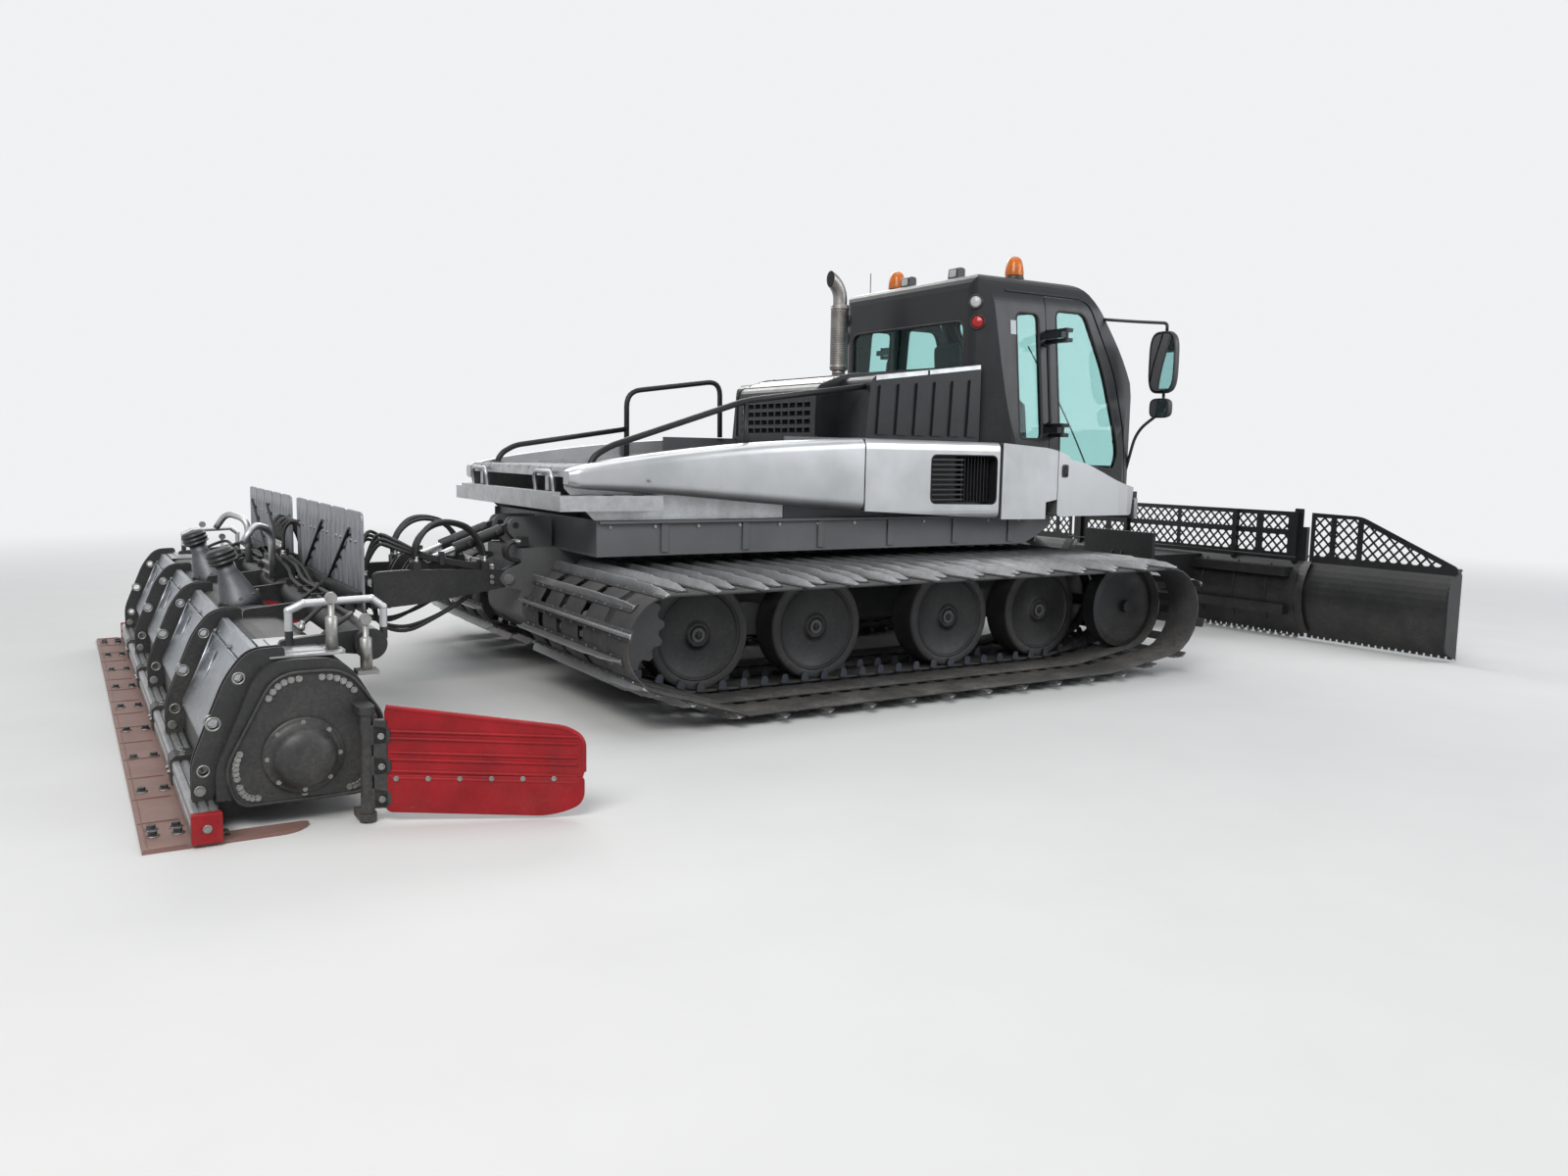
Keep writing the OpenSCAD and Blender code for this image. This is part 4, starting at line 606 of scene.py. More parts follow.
def area(name, place, target, size, power, colour=(1.0, 1.0, 1.0)):
    l = bpy.data.lights.new(name, "AREA")
    l.shape = "RECTANGLE"
    l.size, l.size_y = size
    l.energy = power
    l.color = colour
    o = bpy.data.objects.new(name, l)
    o.matrix_world = facing(place, Vector(place) - Vector(target))
    bpy.context.scene.collection.objects.link(o)


area("key", (-9.0, -9.0, 9.5), (0.0, 0.0, 0.8), (7.0, 5.0), 1100.0, (1.0, 0.98, 0.95))
area("fill", (9.0, -10.0, 6.0), (0.5, 0.0, 1.0), (8.0, 5.0), 620.0, (0.93, 0.96, 1.0))
area("back", (3.0, 11.0, 9.0), (0.0, 0.0, 1.2), (10.0, 5.0), 860.0, (1.0, 0.99, 0.97))
area("top", (0.0, 0.0, 12.0), (0.0, 0.0, 0.0), (11.0, 8.0), 470.0)


BACKDROP = (0.87, 0.885, 0.9, 1)


def seen_ray(t):
    """1 for rays that show the backdrop itself: camera, mirror-like and through glass"""
    path = t.nodes.new("ShaderNodeLightPath")
    last = path.outputs["Is Camera Ray"]
    for kind in ("Is Transmission Ray", "Is Glossy Ray"):
        top = t.nodes.new("ShaderNodeMath")
        top.operation = "MAXIMUM"
        t.links.new(last, top.inputs[0])
        t.links.new(path.outputs[kind], top.inputs[1])
        last = top.outputs[0]
    return last


def world():
    """Soft sky light, with the even backdrop where it is seen itself"""
    w = bpy.data.worlds.new("studio")
    scene.world = w
    w.use_nodes = True
    t = w.node_tree
    bg = t.nodes["Background"]
    bg.inputs["Color"].default_value = (0.74, 0.79, 0.86, 1)
    bg.inputs["Strength"].default_value = 0.42
    white = t.nodes.new("ShaderNodeBackground")
    white.inputs["Color"].default_value = BACKDROP
    mix = t.nodes.new("ShaderNodeMixShader")
    t.links.new(seen_ray(t), mix.inputs[0])
    t.links.new(bg.outputs[0], mix.inputs[1])
    t.links.new(white.outputs[0], mix.inputs[2])
    t.links.new(mix.outputs[0], t.nodes["World Output"].inputs["Surface"])


world()


def floor():
    """Pale floor that keeps the shadow near the machine and runs into the backdrop's colour far from it"""
    me = bpy.data.meshes.new("floor")
    me.from_pydata([(-90, -90, 0), (90, -90, 0), (90, 90, 0), (-90, 90, 0)], [], [(0, 1, 2, 3)])
    m = Mat("floor")
    m.set(Base_Color=m.mix(m.noise(1.6, 6.0), (0.62, 0.62, 0.61), (0.68, 0.68, 0.67)), Roughness=0.85)
    m.bump(m.noise(40.0, 6.0), 0.1, 0.003)
    t = m.m.node_tree
    far = t.nodes.new("ShaderNodeVectorMath")
    far.operation = "LENGTH"
    place = t.nodes.new("ShaderNodeTexCoord")
    t.links.new(place.outputs["Object"], far.inputs[0])
    fade = t.nodes.new("ShaderNodeMapRange")
    fade.interpolation_type = "SMOOTHSTEP"
    fade.inputs["From Min"].default_value = 6.0
    fade.inputs["From Max"].default_value = 17.0
    t.links.new(far.outputs["Value"], fade.inputs["Value"])
    both = t.nodes.new("ShaderNodeMath")
    both.operation = "MULTIPLY"
    t.links.new(fade.outputs["Result"], both.inputs[0])
    t.links.new(seen_ray(t), both.inputs[1])
    glow = t.nodes.new("ShaderNodeEmission")
    glow.inputs["Color"].default_value = BACKDROP
    mix = t.nodes.new("ShaderNodeMixShader")
    end = next(n for n in t.nodes if n.type == "OUTPUT_MATERIAL")
    plain = end.inputs["Surface"].links[0].from_socket
    t.links.new(both.outputs[0], mix.inputs[0])
    t.links.new(plain, mix.inputs[1])
    t.links.new(glow.outputs[0], mix.inputs[2])
    t.links.new(mix.outputs[0], end.inputs["Surface"])
    me.materials.append(m.m)
    o = bpy.data.objects.new("floor", me)
    bpy.context.scene.collection.objects.link(o)


floor()


# Materials of the CAD nodes
def dress(names, material, edge=0.0):
    """Gives nodes a material, and with edge their edges a bevel of that width"""
    for n in names.split():
        o = nodes[n]
        if not o.material_slots:
            o.data.materials.append(M[material].m)
        for s in o.material_slots:
            s.material = M[material].m
        if edge:
            w = o.modifiers.new("Weld", "WELD")
            w.merge_threshold = 0.00005
            b = o.modifiers.new("Bevel", "BEVEL")
            b.width = edge
            b.segments = 2
            b.limit_method = "ANGLE"
            b.angle_limit = math.radians(35)
            b.harden_normals = True


dress("chassis", "chassis")
dress("engine_block", "engine")
dress("rear_deck", "alu", 0.002)
dress("engine_hood", "body_black")
dress("exhaust", "pipe")
dress("cover_right cover_left cab_roof", "body_black")
dress("pod_right pod_left fender_right fender_left nose", "silver")
dress("side_panel_right side_panel_left", "intake")
dress("cab_shell", "body_black")
dress("cab_glass door_glass_right door_glass_left", "glass")
dress("seats", "fabric")
dress("dashboard", "grey_plastic")
dress("door_right door_left", "door")
dress("mirror_right mirror_left", "plastic")
dress("lamps", "plastic")
dress("rail_right rail_left", "black")
dress("track_right track_left", "belt")
dress("wheels_right wheels_left", "tyre")
dress("tandem_right tandem_left sprocket_right sprocket_left", "chassis")
dress("idler_right idler_left", "disc")
dress("push_frame blade_yoke tiller_arms tiller_hood", "frame_black")
dress("tiller_frame", "frame_guard")
dress("blade_mid blade_wing_right blade_wing_left", "blade")
dress("blade_barrels tiller_barrels", "frame_black")
dress("blade_rods tiller_rods", "rod")
dress("tiller_rotor", "steel")
dress("finisher", "mat")
dress("finisher_beam", "frame_black")
dress("snow_shields", "shield")
dress("side_wing_right side_wing_left", "red")


# Tracks
# OUT outer edge, WIDE width, BELT belt's thickness, BAR crossbar's height, LEAN of its fin, SEAT gap to the wheels,
# WZ height of the wheels' centres, RUN of the loop's upper run, IN inner edge, ROUNDS (x, z, radius) that it runs on
OUT, WIDE, BELT, BAR, LEAN = 2.14, 1.7, 0.014, 0.062, 0.006
WHEEL_XS, WHEEL_Y, WHEEL_R = (-1.447, -0.566, 0.566, 1.447), 1.239, 0.35
SEAT = 0.0003
WZ = BAR + BELT + WHEEL_R + SEAT
RUN = WZ + WHEEL_R + SEAT
IN = OUT - WIDE
ROUNDS = [(-1.99, RUN - 0.265 - SEAT, 0.265 + SEAT), (2.01, RUN - 0.31 - SEAT, 0.31 + SEAT),
          (WHEEL_XS[3], WZ, WHEEL_R + SEAT), (WHEEL_XS[0], WZ, WHEEL_R + SEAT)]
BELTS = [(a * WIDE, b * WIDE) for a, b in ((0.035, 0.16), (0.25, 0.15), (0.455, 0.15), (0.66, 0.13), (0.85, 0.12))]
# Outlines of a crossbar's foot plate and end lip, and of a guide horn and its pad, in X and Z of the bar
FOOT = [(-0.033, 0.0), (0.033, 0.0), (0.033, 0.006), (0.026, 0.009), (0.013, 0.011), (-0.013, 0.011), (-0.026, 0.009),
        (-0.033, 0.006)]
LIP = [(-0.014, 0.009), (-0.002, 0.018), (0.01, 0.019), (0.014, 0.009)]
HORN = [(-0.03, -BELT), (0.03, -BELT), (0.022, -BELT - 0.045), (0.012, -BELT - 0.055), (-0.012, -BELT - 0.055),
        (-0.022, -BELT - 0.045)]
PAD = [(-0.033, -BELT + 0.001), (0.033, -BELT + 0.001), (0.033, -BELT - 0.004), (-0.033, -BELT - 0.004)]


def run_normal(a, b):
    """Outward direction of the loop's straight run between two rounds"""
    dx, dz = b[0] - a[0], b[1] - a[1]
    l = math.hypot(dx, dz)
    k = (a[2] - b[2]) / l
    q = math.sqrt(1 - k * k)
    return (dx / l * k - dz / l * q, dz / l * k + dx / l * q)


def loop(out, n=6):
    """The loop at a distance outside the rounds, its bends in flats"""
    pts = []
    for i, c in enumerate(ROUNDS):
        m0, m1 = run_normal(ROUNDS[i - 1], c), run_normal(c, ROUNDS[(i + 1) % 4])
        a0 = math.atan2(m0[1], m0[0])
        sweep = (a0 - math.atan2(m1[1], m1[0])) % TAU
        steps = max(1, round(n * math.degrees(sweep) / 90))
        r = (c[2] + out) / math.cos(sweep / steps / 2)
        for j in range(steps):
            a = a0 - sweep * (j + 0.5) / steps
            pts.append((c[0] + r * math.cos(a), c[1] + r * math.sin(a)))
    return pts


def stations():
    """Places and directions of the crossbars, on the source's own loop"""
    p = loop(BELT)
    lens = [math.dist(p[i], p[(i + 1) % len(p)]) for i in range(len(p))]
    total = sum(lens)
    count = 2 * round(total / 0.155 / 2)
    out, i, s0 = [], 0, 0.0
    for k in range(count):
        s = (k + 0.5) * total / count
        while s0 + lens[i] <= s:
            s0 += lens[i]
            i += 1
        a, b = p[i], p[(i + 1) % len(p)]
        t = (s - s0) / lens[i]
        out.append((a[0] + (b[0] - a[0]) * t, a[1] + (b[1] - a[1]) * t, math.atan2(b[1] - a[1], b[0] - a[0])))
    return out


def track(side):
    """Belts, crossbars with their feet and bolts, and guide horns"""
    name = SIDES[side]
    belts = Form()
    for off, w in BELTS:
        y0, y1 = side * (OUT - off - w), side * (OUT - off)
        inner, outer = loop(0.0), loop(BELT)
        n = len(inner)
        e = 0.004  # rounding of the belts' edges
        rows = [(inner, y0, e), (outer, y0, e), (outer, y0 + side * e, 0), (outer, y1 - side * e, 0), (outer, y1, e),
                (inner, y1, e), (inner, y1 - side * e, 0), (inner, y0 + side * e, 0)]
        verts = []
        for ring, y, drop in rows:
            other = outer if ring is inner else inner
            for q, o in zip(ring, other):
                t = drop / BELT
                verts.append((q[0] + (o[0] - q[0]) * t, y, q[1] + (o[1] - q[1]) * t))
        faces = quads(len(rows), n, True)
        belts.add(verts, faces if side > 0 else flipped(faces), True)
    belts.piece("belts_" + name, "belt", "root", "rubber_belt", "track_" + name)
    bars, feet, horns, bolts = Form(), Form(), Form(), Form()
    for k, (x, z, a) in enumerate(stations()):
        at = shift(x, 0, z) @ Matrix.Rotation(-a, 4, "Y")
        short = k % 2 == 1
        y0 = OUT - (0.075 * WIDE if short else 0.0)
        feet.slab(FOOT, *span(side, IN + 0.004, y0 - 0.006), "y", at)
        # Fin: stations along Y with height and the half width at its base and tip
        fin = [(IN + 0.006, 0.03), (IN + 0.05, BAR), (y0 - 0.42, BAR), (y0 - 0.39, 0.053), (y0 - 0.2, 0.053),
               (y0 - 0.17, 0.046), (y0 - 0.1, 0.044), (y0 - 0.002, 0.019)]
        verts = []
        for y, h in fin:
            section = ((-0.014, 0.009), (-0.0045 + LEAN, h - 0.003), (-0.002 + LEAN, h), (0.002 + LEAN, h),
                       (0.0045 + LEAN, h - 0.003), (0.014, 0.009))
            verts += [(px, side * y, pz) for px, pz in section]
        m = len(fin)
        ends = [tuple(range(6))[::-1], tuple(range((m - 1) * 6, m * 6))]
        faces = quads(m, 6) + ends
        bars.add(verts, flipped(faces) if side > 0 else faces, False, at)
        # Bent lip at the outer end
        bars.tube([(x, side * (y0 - 0.004), z) for x, z in LIP], 0.0026, 6, at)
        for off, w in BELTS:
            for dx in (-0.024, 0.024):
                for f in (0.25, 0.75):
                    y = OUT - off - w * f
                    if y < y0 - 0.03:
                        bolts.bolt(at @ Vector((dx, side * y, 0.0085)), at.to_3x3() @ Vector((0, 0, 1)), 0.0075,
                                   0.005, False)
        # Guide horns on the inner side, either side of the wheels
        for dy in (-0.124, 0.124):
            yh = side * (WHEEL_Y + dy)
            horns.slab(HORN, yh - 0.004, yh + 0.004, "y", at)
            horns.slab(PAD, *sorted((yh, yh + side * math.copysign(0.03, dy))), "y", at)
    bars.piece("crossbars_" + name, "alu_bar", "root", "bare_aluminium", "track_" + name, 0.0012, 1)
    # The feet take the dark foot material: painted shade between the crossbars
    feet.piece("crossbar_feet_" + name, "foot", "root", "bare_aluminium", "track_" + name, 0.0012, 1)
    horns.piece("guide_horns_" + name, "horn", "root", "bare_aluminium", "track_" + name)
    bolts.piece("track_bolts_" + name, "steel", "root", "bare_aluminium", "track_" + name)


def wheels(side):
    """Rubber tyres and dished discs with their hub bolts"""
    name = SIDES[side]
    tyre, disc = Form(), Form()
    for x in WHEEL_XS:
        at = facing((x, side * WHEEL_Y, WZ), (0, side, 0))
        tyre.lathe([(0.292, 0.106), (0.3, 0.1095), (0.335, 0.1095), (0.343, 0.107), (0.349, 0.099), (0.35, 0.09),
                    (0.35, -0.09), (0.349, -0.099), (0.343, -0.107), (0.335, -0.1095), (0.3, -0.1095),
                    (0.292, -0.106),
                    (0.29, 0.0)], 64, at, True)
        disc.lathe([(0.292, 0.102), (0.286, 0.105), (0.28, 0.1045), (0.274, 0.098), (0.262, 0.09), (0.11, 0.082),
                    (0.09, 0.083), (0.083, 0.09), (0.075, 0.096), (0.066, 0.0985), (0.058, 0.0975), (0.055, 0.093),
                    (0.03, 0.092), (0.026, 0.0985), (0.0, 0.1)], 64, at, False, False)
        disc.lathe([(0.0, -0.09), (0.07, -0.09), (0.08, -0.07), (0.26, -0.06), (0.292, -0.1)], 64, at, False, False)
        for k in range(6):
            a = TAU * k / 6
            disc.bolt(at @ Vector((0.072 * math.cos(a), 0.072 * math.sin(a), 0.096)), (0, side, 0), 0.006,
                      0.004, False)
        disc.bolt(at @ Vector((0.0, 0.0, 0.098)), (0, side, 0), 0.013, 0.006)
    tyre.piece("wheel_tyres_" + name, "tyre", "root", "wheel_rubber", "wheels_" + name)
    disc.piece("wheel_discs_" + name, "disc", "root", "black_paint", "wheels_" + name)


# Body
# The pod's rings as the source has them: x, lower and upper z, outer y, rounding
BULWARK = 0.95
POD = [(-2.19, 1.355, 1.44, 1.05, 0.03), (-2.13, 1.335, 1.462, 1.085, 0.045), (-1.89, 1.318, 1.512, 1.12, 0.06),
       (-1.45, 1.288, 1.576, 1.15, 0.07), (-0.84, 1.236, 1.64, 1.16, 0.075), (-0.073, 1.18, 1.685, 1.16, 0.075)]


def pod(side):
    """Smooth shell through the source's rings"""
    name = SIDES[side]
    rows = []
    for i in range(len(POD) - 1):
        a, b = POD[i], POD[i + 1]
        p, q = POD[max(0, i - 1)], POD[min(len(POD) - 1, i + 2)]
        n = 5 if i == 0 else 8
        h = b[0] - a[0]
        for k in range(n + (i == len(POD) - 2)):
            t = k / n
            row = []
            for c in range(5):
                m0 = (b[c] - p[c]) / max(1e-6, b[0] - p[0]) * h if p is not a else (b[c] - a[c])
                m1 = (q[c] - a[c]) / max(1e-6, q[0] - a[0]) * h if q is not b else (b[c] - a[c])
                row.append((2 * t ** 3 - 3 * t * t + 1) * a[c] + (t ** 3 - 2 * t * t + t) * m0
                           + (3 * t * t - 2 * t ** 3) * b[c] + (t ** 3 - t * t) * m1)
            rows.append(row)
    f, verts = Form(), []
    for x, lo, hi, y, c in rows:
        ring = outline([(-BULWARK - 0.0003, lo, 0), (-y, lo, c), (-y, hi, c), (-BULWARK - 0.0003, hi, 0)], 8)
        verts += [(x, -side * min(a, -BULWARK), b) for a, b in ring]
    n, m = len(ring), len(rows)
    f.add(verts, quads(m, n), True)
    f.f += [tuple(range(n)), tuple(range((m - 1) * n, m * n))]
    f.s += [False, False]
    f.piece("pod_shell_" + name, "silver", "root", "silver_paint", "pod_" + name, 0.004, 2, 50)


def seam_and_trim(side):
    """Dark backing in the panel seams and behind the intake, painted shade of those gaps; the intake's grille and
    rolled frame, and the panels' screws
    """
    name = SIDES[side]
    f = Form()
    # Dark boxes filling the seams: painted shade of the gaps
    f.side_box(side, (-0.0735, -0.0645), (0.96, 1.146), (1.19, 1.675))
    f.side_box(side, (1.158, 1.192), (0.96, 1.146), (1.125, 1.66))
    # Curtain of dark slats in the right half of the intake
    for k in range(9):
        x = 0.835 + k * 0.031
        a, b = span(side, 1.075, 1.104)
        f.slab([(x, a), (x + 0.006, a), (x + 0.02, b), (x + 0.014, b)], 1.236, 1.57, "z")
    # Dark sheet behind the intake's slats: painted shade
    f.side_box(side, (0.51, 1.13), (1.061, 1.066), (1.23, 1.575))
    # Rolled frame of the intake
    ring = [(0.512, 1.228), (1.133, 1.219), (1.133, 1.577), (0.512, 1.577)]
    path = rounded([(x, side * 1.158, z) for x, z in ring + ring[:2]], 0.05, 5)[3:-3]
    f.tube(path, 0.006, 8)
    f.piece("intake_" + name, "body_black", "root", "black_panel", "", 0.001, 1)
    # Small screws along the lower edge of the panels
    b = Form()
    for x in (0.03, 0.3, 0.6, 0.9, 1.1):
        z = 1.18 - (x + 0.065) * 0.0556 + 0.035
        b.bolt((x, side * 1.152, z), (0, side, -0.15), 0.007, 0.003)
    for x in (-1.7, -1.2, -0.7, -0.25):
        z = 1.18 + (-0.073 - x) * 0.083 + 0.05
        b.bolt((x, side * 1.151, z + 0.02), (0, side, -0.1), 0.007, 0.003)
    b.piece("panel_screws_" + name, "steel", "root", "bare_aluminium")


def chassis_bits():
    """Bolt heads, upright ribs and a ledge on the frame between the tracks and the body"""
    f, b = Form(), Form()
    for s in SIDES:
        for i in range(12):
            b.bolt((-1.9 + i * 0.31, s * 1.0005, 1.09), (0, s, 0), 0.009, 0.006)
        for x in (-1.55, -0.95, -0.35, 0.25, 0.85, 1.4):
            f.slab([(x, 0.925), (x + 0.05, 0.925), (x + 0.05, 1.12), (x, 1.12)], *span(s, 1.0, 1.012), "y")
        f.slab([(-1.98, 1.112), (1.845, 1.112), (1.845, 1.129), (-1.98, 1.129)], *span(s, 1.001, 1.03), "y")
    f.piece("frame_ribs", "chassis", "root", "dark_frame", "", 0.002, 1)
    b.piece("frame_bolts", "steel", "root", "bare_aluminium")


# Profile of the hood's top: x of its rear face, (x, z) where it bends and at its front
HOOD_REAR, HOOD_BEND, HOOD_FRONT = -0.11, (0.14, 2.15), (1.11, 2.25)
HOOD_SLOPE = (HOOD_FRONT[1] - HOOD_BEND[1]) / (HOOD_FRONT[0] - HOOD_BEND[0])
HOOD_FALL = (HOOD_BEND[1] - 2.06) / (HOOD_BEND[0] - HOOD_REAR)


def hood_top(x):
    slope = HOOD_SLOPE if x > HOOD_BEND[0] else HOOD_FALL
    return HOOD_BEND[1] + (x - HOOD_BEND[0]) * slope


def hood_bits():
    """Tread plates on the hood's top, rolled rims round the cells of its rear face and a rolled edge"""
    f = Form()
    plates = [(-0.05, 0.1), (0.18, 0.62), (0.65, 1.09)]
    for x0, x1 in plates:
        low = [(x, y, hood_top(x) + 0.0006) for x, y in ((x0, -0.575), (x1, -0.575), (x1, 0.575), (x0, 0.575))]
        f.add(low + [(x, y, z + 0.004) for x, y, z in low], BOX_FACES)
    f.piece("hood_tread", "tread", "root", "bare_aluminium", "", 0.001, 1)
    g = Form()
    for i in range(-5, 5):
        for j in range(4):
            y, z = (i + 0.5) * 0.103 - 0.0425, 1.725 + 0.062 * j
            x = HOOD_REAR + 0.001
            ring = [(x, y, z), (x, y + 0.085, z), (x, y + 0.085, z + 0.038), (x, y, z + 0.038)]
            g.tube(rounded(ring + ring[:2], 0.008, 2)[2:-2], 0.0032, 6)
    # Dark sheet behind the cells of the rear face: painted shade of the hood's inside
    g.box((HOOD_REAR + 0.03, -0.52, 1.715), (HOOD_REAR + 0.034, 0.52, 1.96))
    for s in SIDES:
        rim = [(HOOD_REAR - 0.002, 1.7), (HOOD_REAR - 0.002, 2.055), HOOD_BEND, (1.1, hood_top(1.1))]
        g.tube(rounded([(x, s * 0.585, z) for x, z in rim], 0.07, 6), 0.008, 8)
    g.piece("hood_grilles", "body_black", "root", "black_panel")
    b = Form()
    for x0, x1 in plates:
        slope = HOOD_FALL if x1 < HOOD_BEND[0] else HOOD_SLOPE
        for x in (x0 + 0.03, x1 - 0.03):
            for y in (-0.54, 0.54):
                b.bolt((x, y, hood_top(x) + 0.0045), (-slope, 0, 1), 0.007, 0.003)
    b.piece("hood_screws", "steel", "root", "bare_aluminium")


def cover_edge_highlights():
    """Bright edge strips along the top of each ribbed cover: painted highlight of the covers' top edges"""
    f = Form()
    slope = 0.13 / 1.008
    section = [(0.93, 0.0005), (0.968, 0.0005), (0.9715, -0.003), (0.9715, -0.03), (0.9745, -0.03), (0.9745, 0.0),
               (0.97, 0.0045), (0.93, 0.0045)]
    n = len(section)
    for s in SIDES:
        for x0, x1 in ((0.14, 0.6), (0.62, 1.1)):
            verts = [(x, s * y, 2.12 + (x - 0.1) * slope + dz) for x in (x0, x1) for y, dz in section]
            f.add(verts, quads(2, n) + [tuple(range(n))[::-1], tuple(range(n, 2 * n))])
    # Bright aluminium along the covers' top edges: painted highlight
    f.piece("cover_edge_highlight_strips", "alu", "root", "bare_aluminium", "", 0.0008, 1)


def exhaust_bits():
    """Perforated shield with its clamps and ribs, and a turned tip that is cut off upright; the flat black in its
    holes and across its mouth is painted shade
    """
    x0, y0, r, tall, bend = 0.8, 0.48, 0.075, 0.54, 0.19
    z0 = hood_top(x0 + 0.375 * 2 * r) + 0.0003
    f, d = Form(), Form()
    at = shift(x0, y0, z0 + 0.04)
    f.lathe([(r - 0.013, 0.0), (r - 0.003, 0.004), (r, 0.012), (r - 0.0008, 0.02), (r - 0.0008, tall - 0.02),
             (r, tall - 0.012),
             (r - 0.0015, tall - 0.001), (r - 0.0075, tall - 0.001), (r - 0.0075, 0.04), (r - 0.013, 0.0)], 48, at)
    for h in (0.03, tall - 0.03):
        f.lathe([(r - 0.001, h - 0.012), (r + 0.0018, h - 0.011), (r + 0.0018, h + 0.011), (r - 0.001, h + 0.012)],
                48, at, True)
    f.lathe([(0.05, -0.038), (0.056, -0.038), (0.056, 0.0), (0.05, 0.004)], 40, at, True)
    # Pipe, and its elbow as rings whose sections are clipped by the upright cut
    pipe, sides, steps, cut = 0.0585, 36, 18, -0.1
    verts = []
    rows = [(z0 + 0.1, None), (z0 + 0.08 + tall, None)]
    rows += [(None, math.radians(80) * k / steps) for k in range(1, steps + 1)]
    for z, bent in rows:
        for k in range(sides):
            a = TAU * k / sides
            u, v = pipe * math.cos(a), pipe * math.sin(a)
            if bent is None:
                verts.append((x0 + u, y0 + v, z))
            else:
                # The ring slides back along its own arc until it meets the cut
                reach = bend + u
                most = math.acos(max(-1.0, min(1.0, (cut + bend) / reach)))
                b = min(bent, most)
                verts.append((x0 - bend + reach * math.cos(b), y0 + v, z0 + 0.08 + tall + reach * math.sin(b)))
    f.add(verts, quads(len(rows), sides), True)
    # Black disc across the mouth: painted shade of the pipe's inside, which is sooty as well
    mouth = [(x0 + cut - 0.0004, y, z) for x, y, z in verts[-sides:]]
    mid = (x0 + cut - 0.0004, y0, sum(p[2] for p in mouth) / sides)
    d.add([(p[0], mid[1] + (p[1] - mid[1]) * 0.93, mid[2] + (p[2] - mid[2]) * 0.95) for p in mouth],
          [tuple(range(sides))])
    # Black discs in the shield's holes: painted shade of the gap behind them
    hole = [(0.0046 * math.cos(TAU * q / 7), 0.0046 * math.sin(TAU * q / 7), 0) for q in range(7)]
    for j in range(31):
        for k in range(30):
            a = TAU * (k + (j % 2) / 2) / 30
            n = Vector((math.cos(a), math.sin(a), 0))
            p = Vector((x0, y0, z0 + 0.04 + 0.055 + j * 0.0142)) + n * (r - 0.0006)
            d.add(hole, [tuple(range(7))], False, facing(p, n))
    f.piece("exhaust_shield", "pipe", "root", "exhaust_chrome", "exhaust")
    d.piece("exhaust_holes", "soot_and_painted_shade", "root", "black_paint", "exhaust")


def rails():
    """Tubes of the hand rails with their foot plates; the right one ends on the cover's rear face"""
    f, g = Form(), Form()
    foot = [(-1.99, 1.4604), (-1.99, 1.49), (-1.955, 1.54), (-1.86, 1.595)]
    plate = [(0.05, 0.0), (0.05, 0.006), (0.026, 0.007), (0.022, 0.02)]
    f.tube(rounded([(x, -0.905, z) for x, z in foot + [(-0.88, 1.915), (0.088, 2.0517)]], 0.09, 6), 0.021, 16)
    f.tube([(-0.88, -0.905, 1.4604), (-0.88, -0.905, 1.91)], 0.0205, 16)
    for x in (-1.99, -0.88):
        f.lathe(plate, 20, shift(x, -0.905, 1.4603))
    f.piece("rail_tube_right", "black", "root", "black_paint", "rail_right")
    g.tube(rounded([(x, 0.905, z) for x, z in foot + [(-0.94, 1.74)]], 0.09, 6), 0.021, 16)
    hoop = [(-0.94, 1.4604), (-0.94, 2.035), (-0.1, 2.155), (-0.095, 1.69)]
    g.tube(rounded([(x, 0.905, z) for x, z in hoop], 0.12, 6), 0.021, 16)
    for x in (-1.99, -0.94):
        g.lathe(plate, 20, shift(x, 0.905, 1.4603))
    g.piece("rail_tube_left", "black", "root", "black_paint", "rail_left")


DECK_END = HOOD_REAR - 0.02


def deck_bits():
    """Raised ribs on the slats, treads beside them and a tube guard on each side"""
    f, b = Form(), Form()
    for i in range(9):
        y = -0.9 + 0.203 * i
        for q in (0.03, 0.075, 0.12, 0.15):
            a, c, x = y + q - 0.004, y + q + 0.004, DECK_END - 0.002
            f.slab([(-2.178, a), (x, a), (x, c), (-2.178, c)], 1.4598, 1.4635, "z")
        for x in (-2.16, -1.68, -1.18, -0.64, -0.16):
            b.bolt((x, y + 0.01, 1.46), (0, 0, 1), 0.006, 0.003)
    f.piece("deck_ribs", "alu", "root", "bare_aluminium", "", 0.0015, 1)
    g = Form()
    for s in SIDES:
        guard = [(-2.2, s * 0.5, 1.31), (-2.215, s * 0.5, 1.43), (-2.215, s * 0.82, 1.43), (-2.2, s * 0.82, 1.31)]
        g.tube(rounded(guard, 0.06, 5), 0.014, 12)
        for x in (-2.1, -1.9, -1.7):
            g.side_box(s, (x, x + 0.13), (0.97, 1.06), (1.2895, 1.293))
    g.piece("deck_steps", "alu", "root", "bare_aluminium", "", 0.001, 1)
    b.piece("deck_screws", "steel", "root", "bare_aluminium")


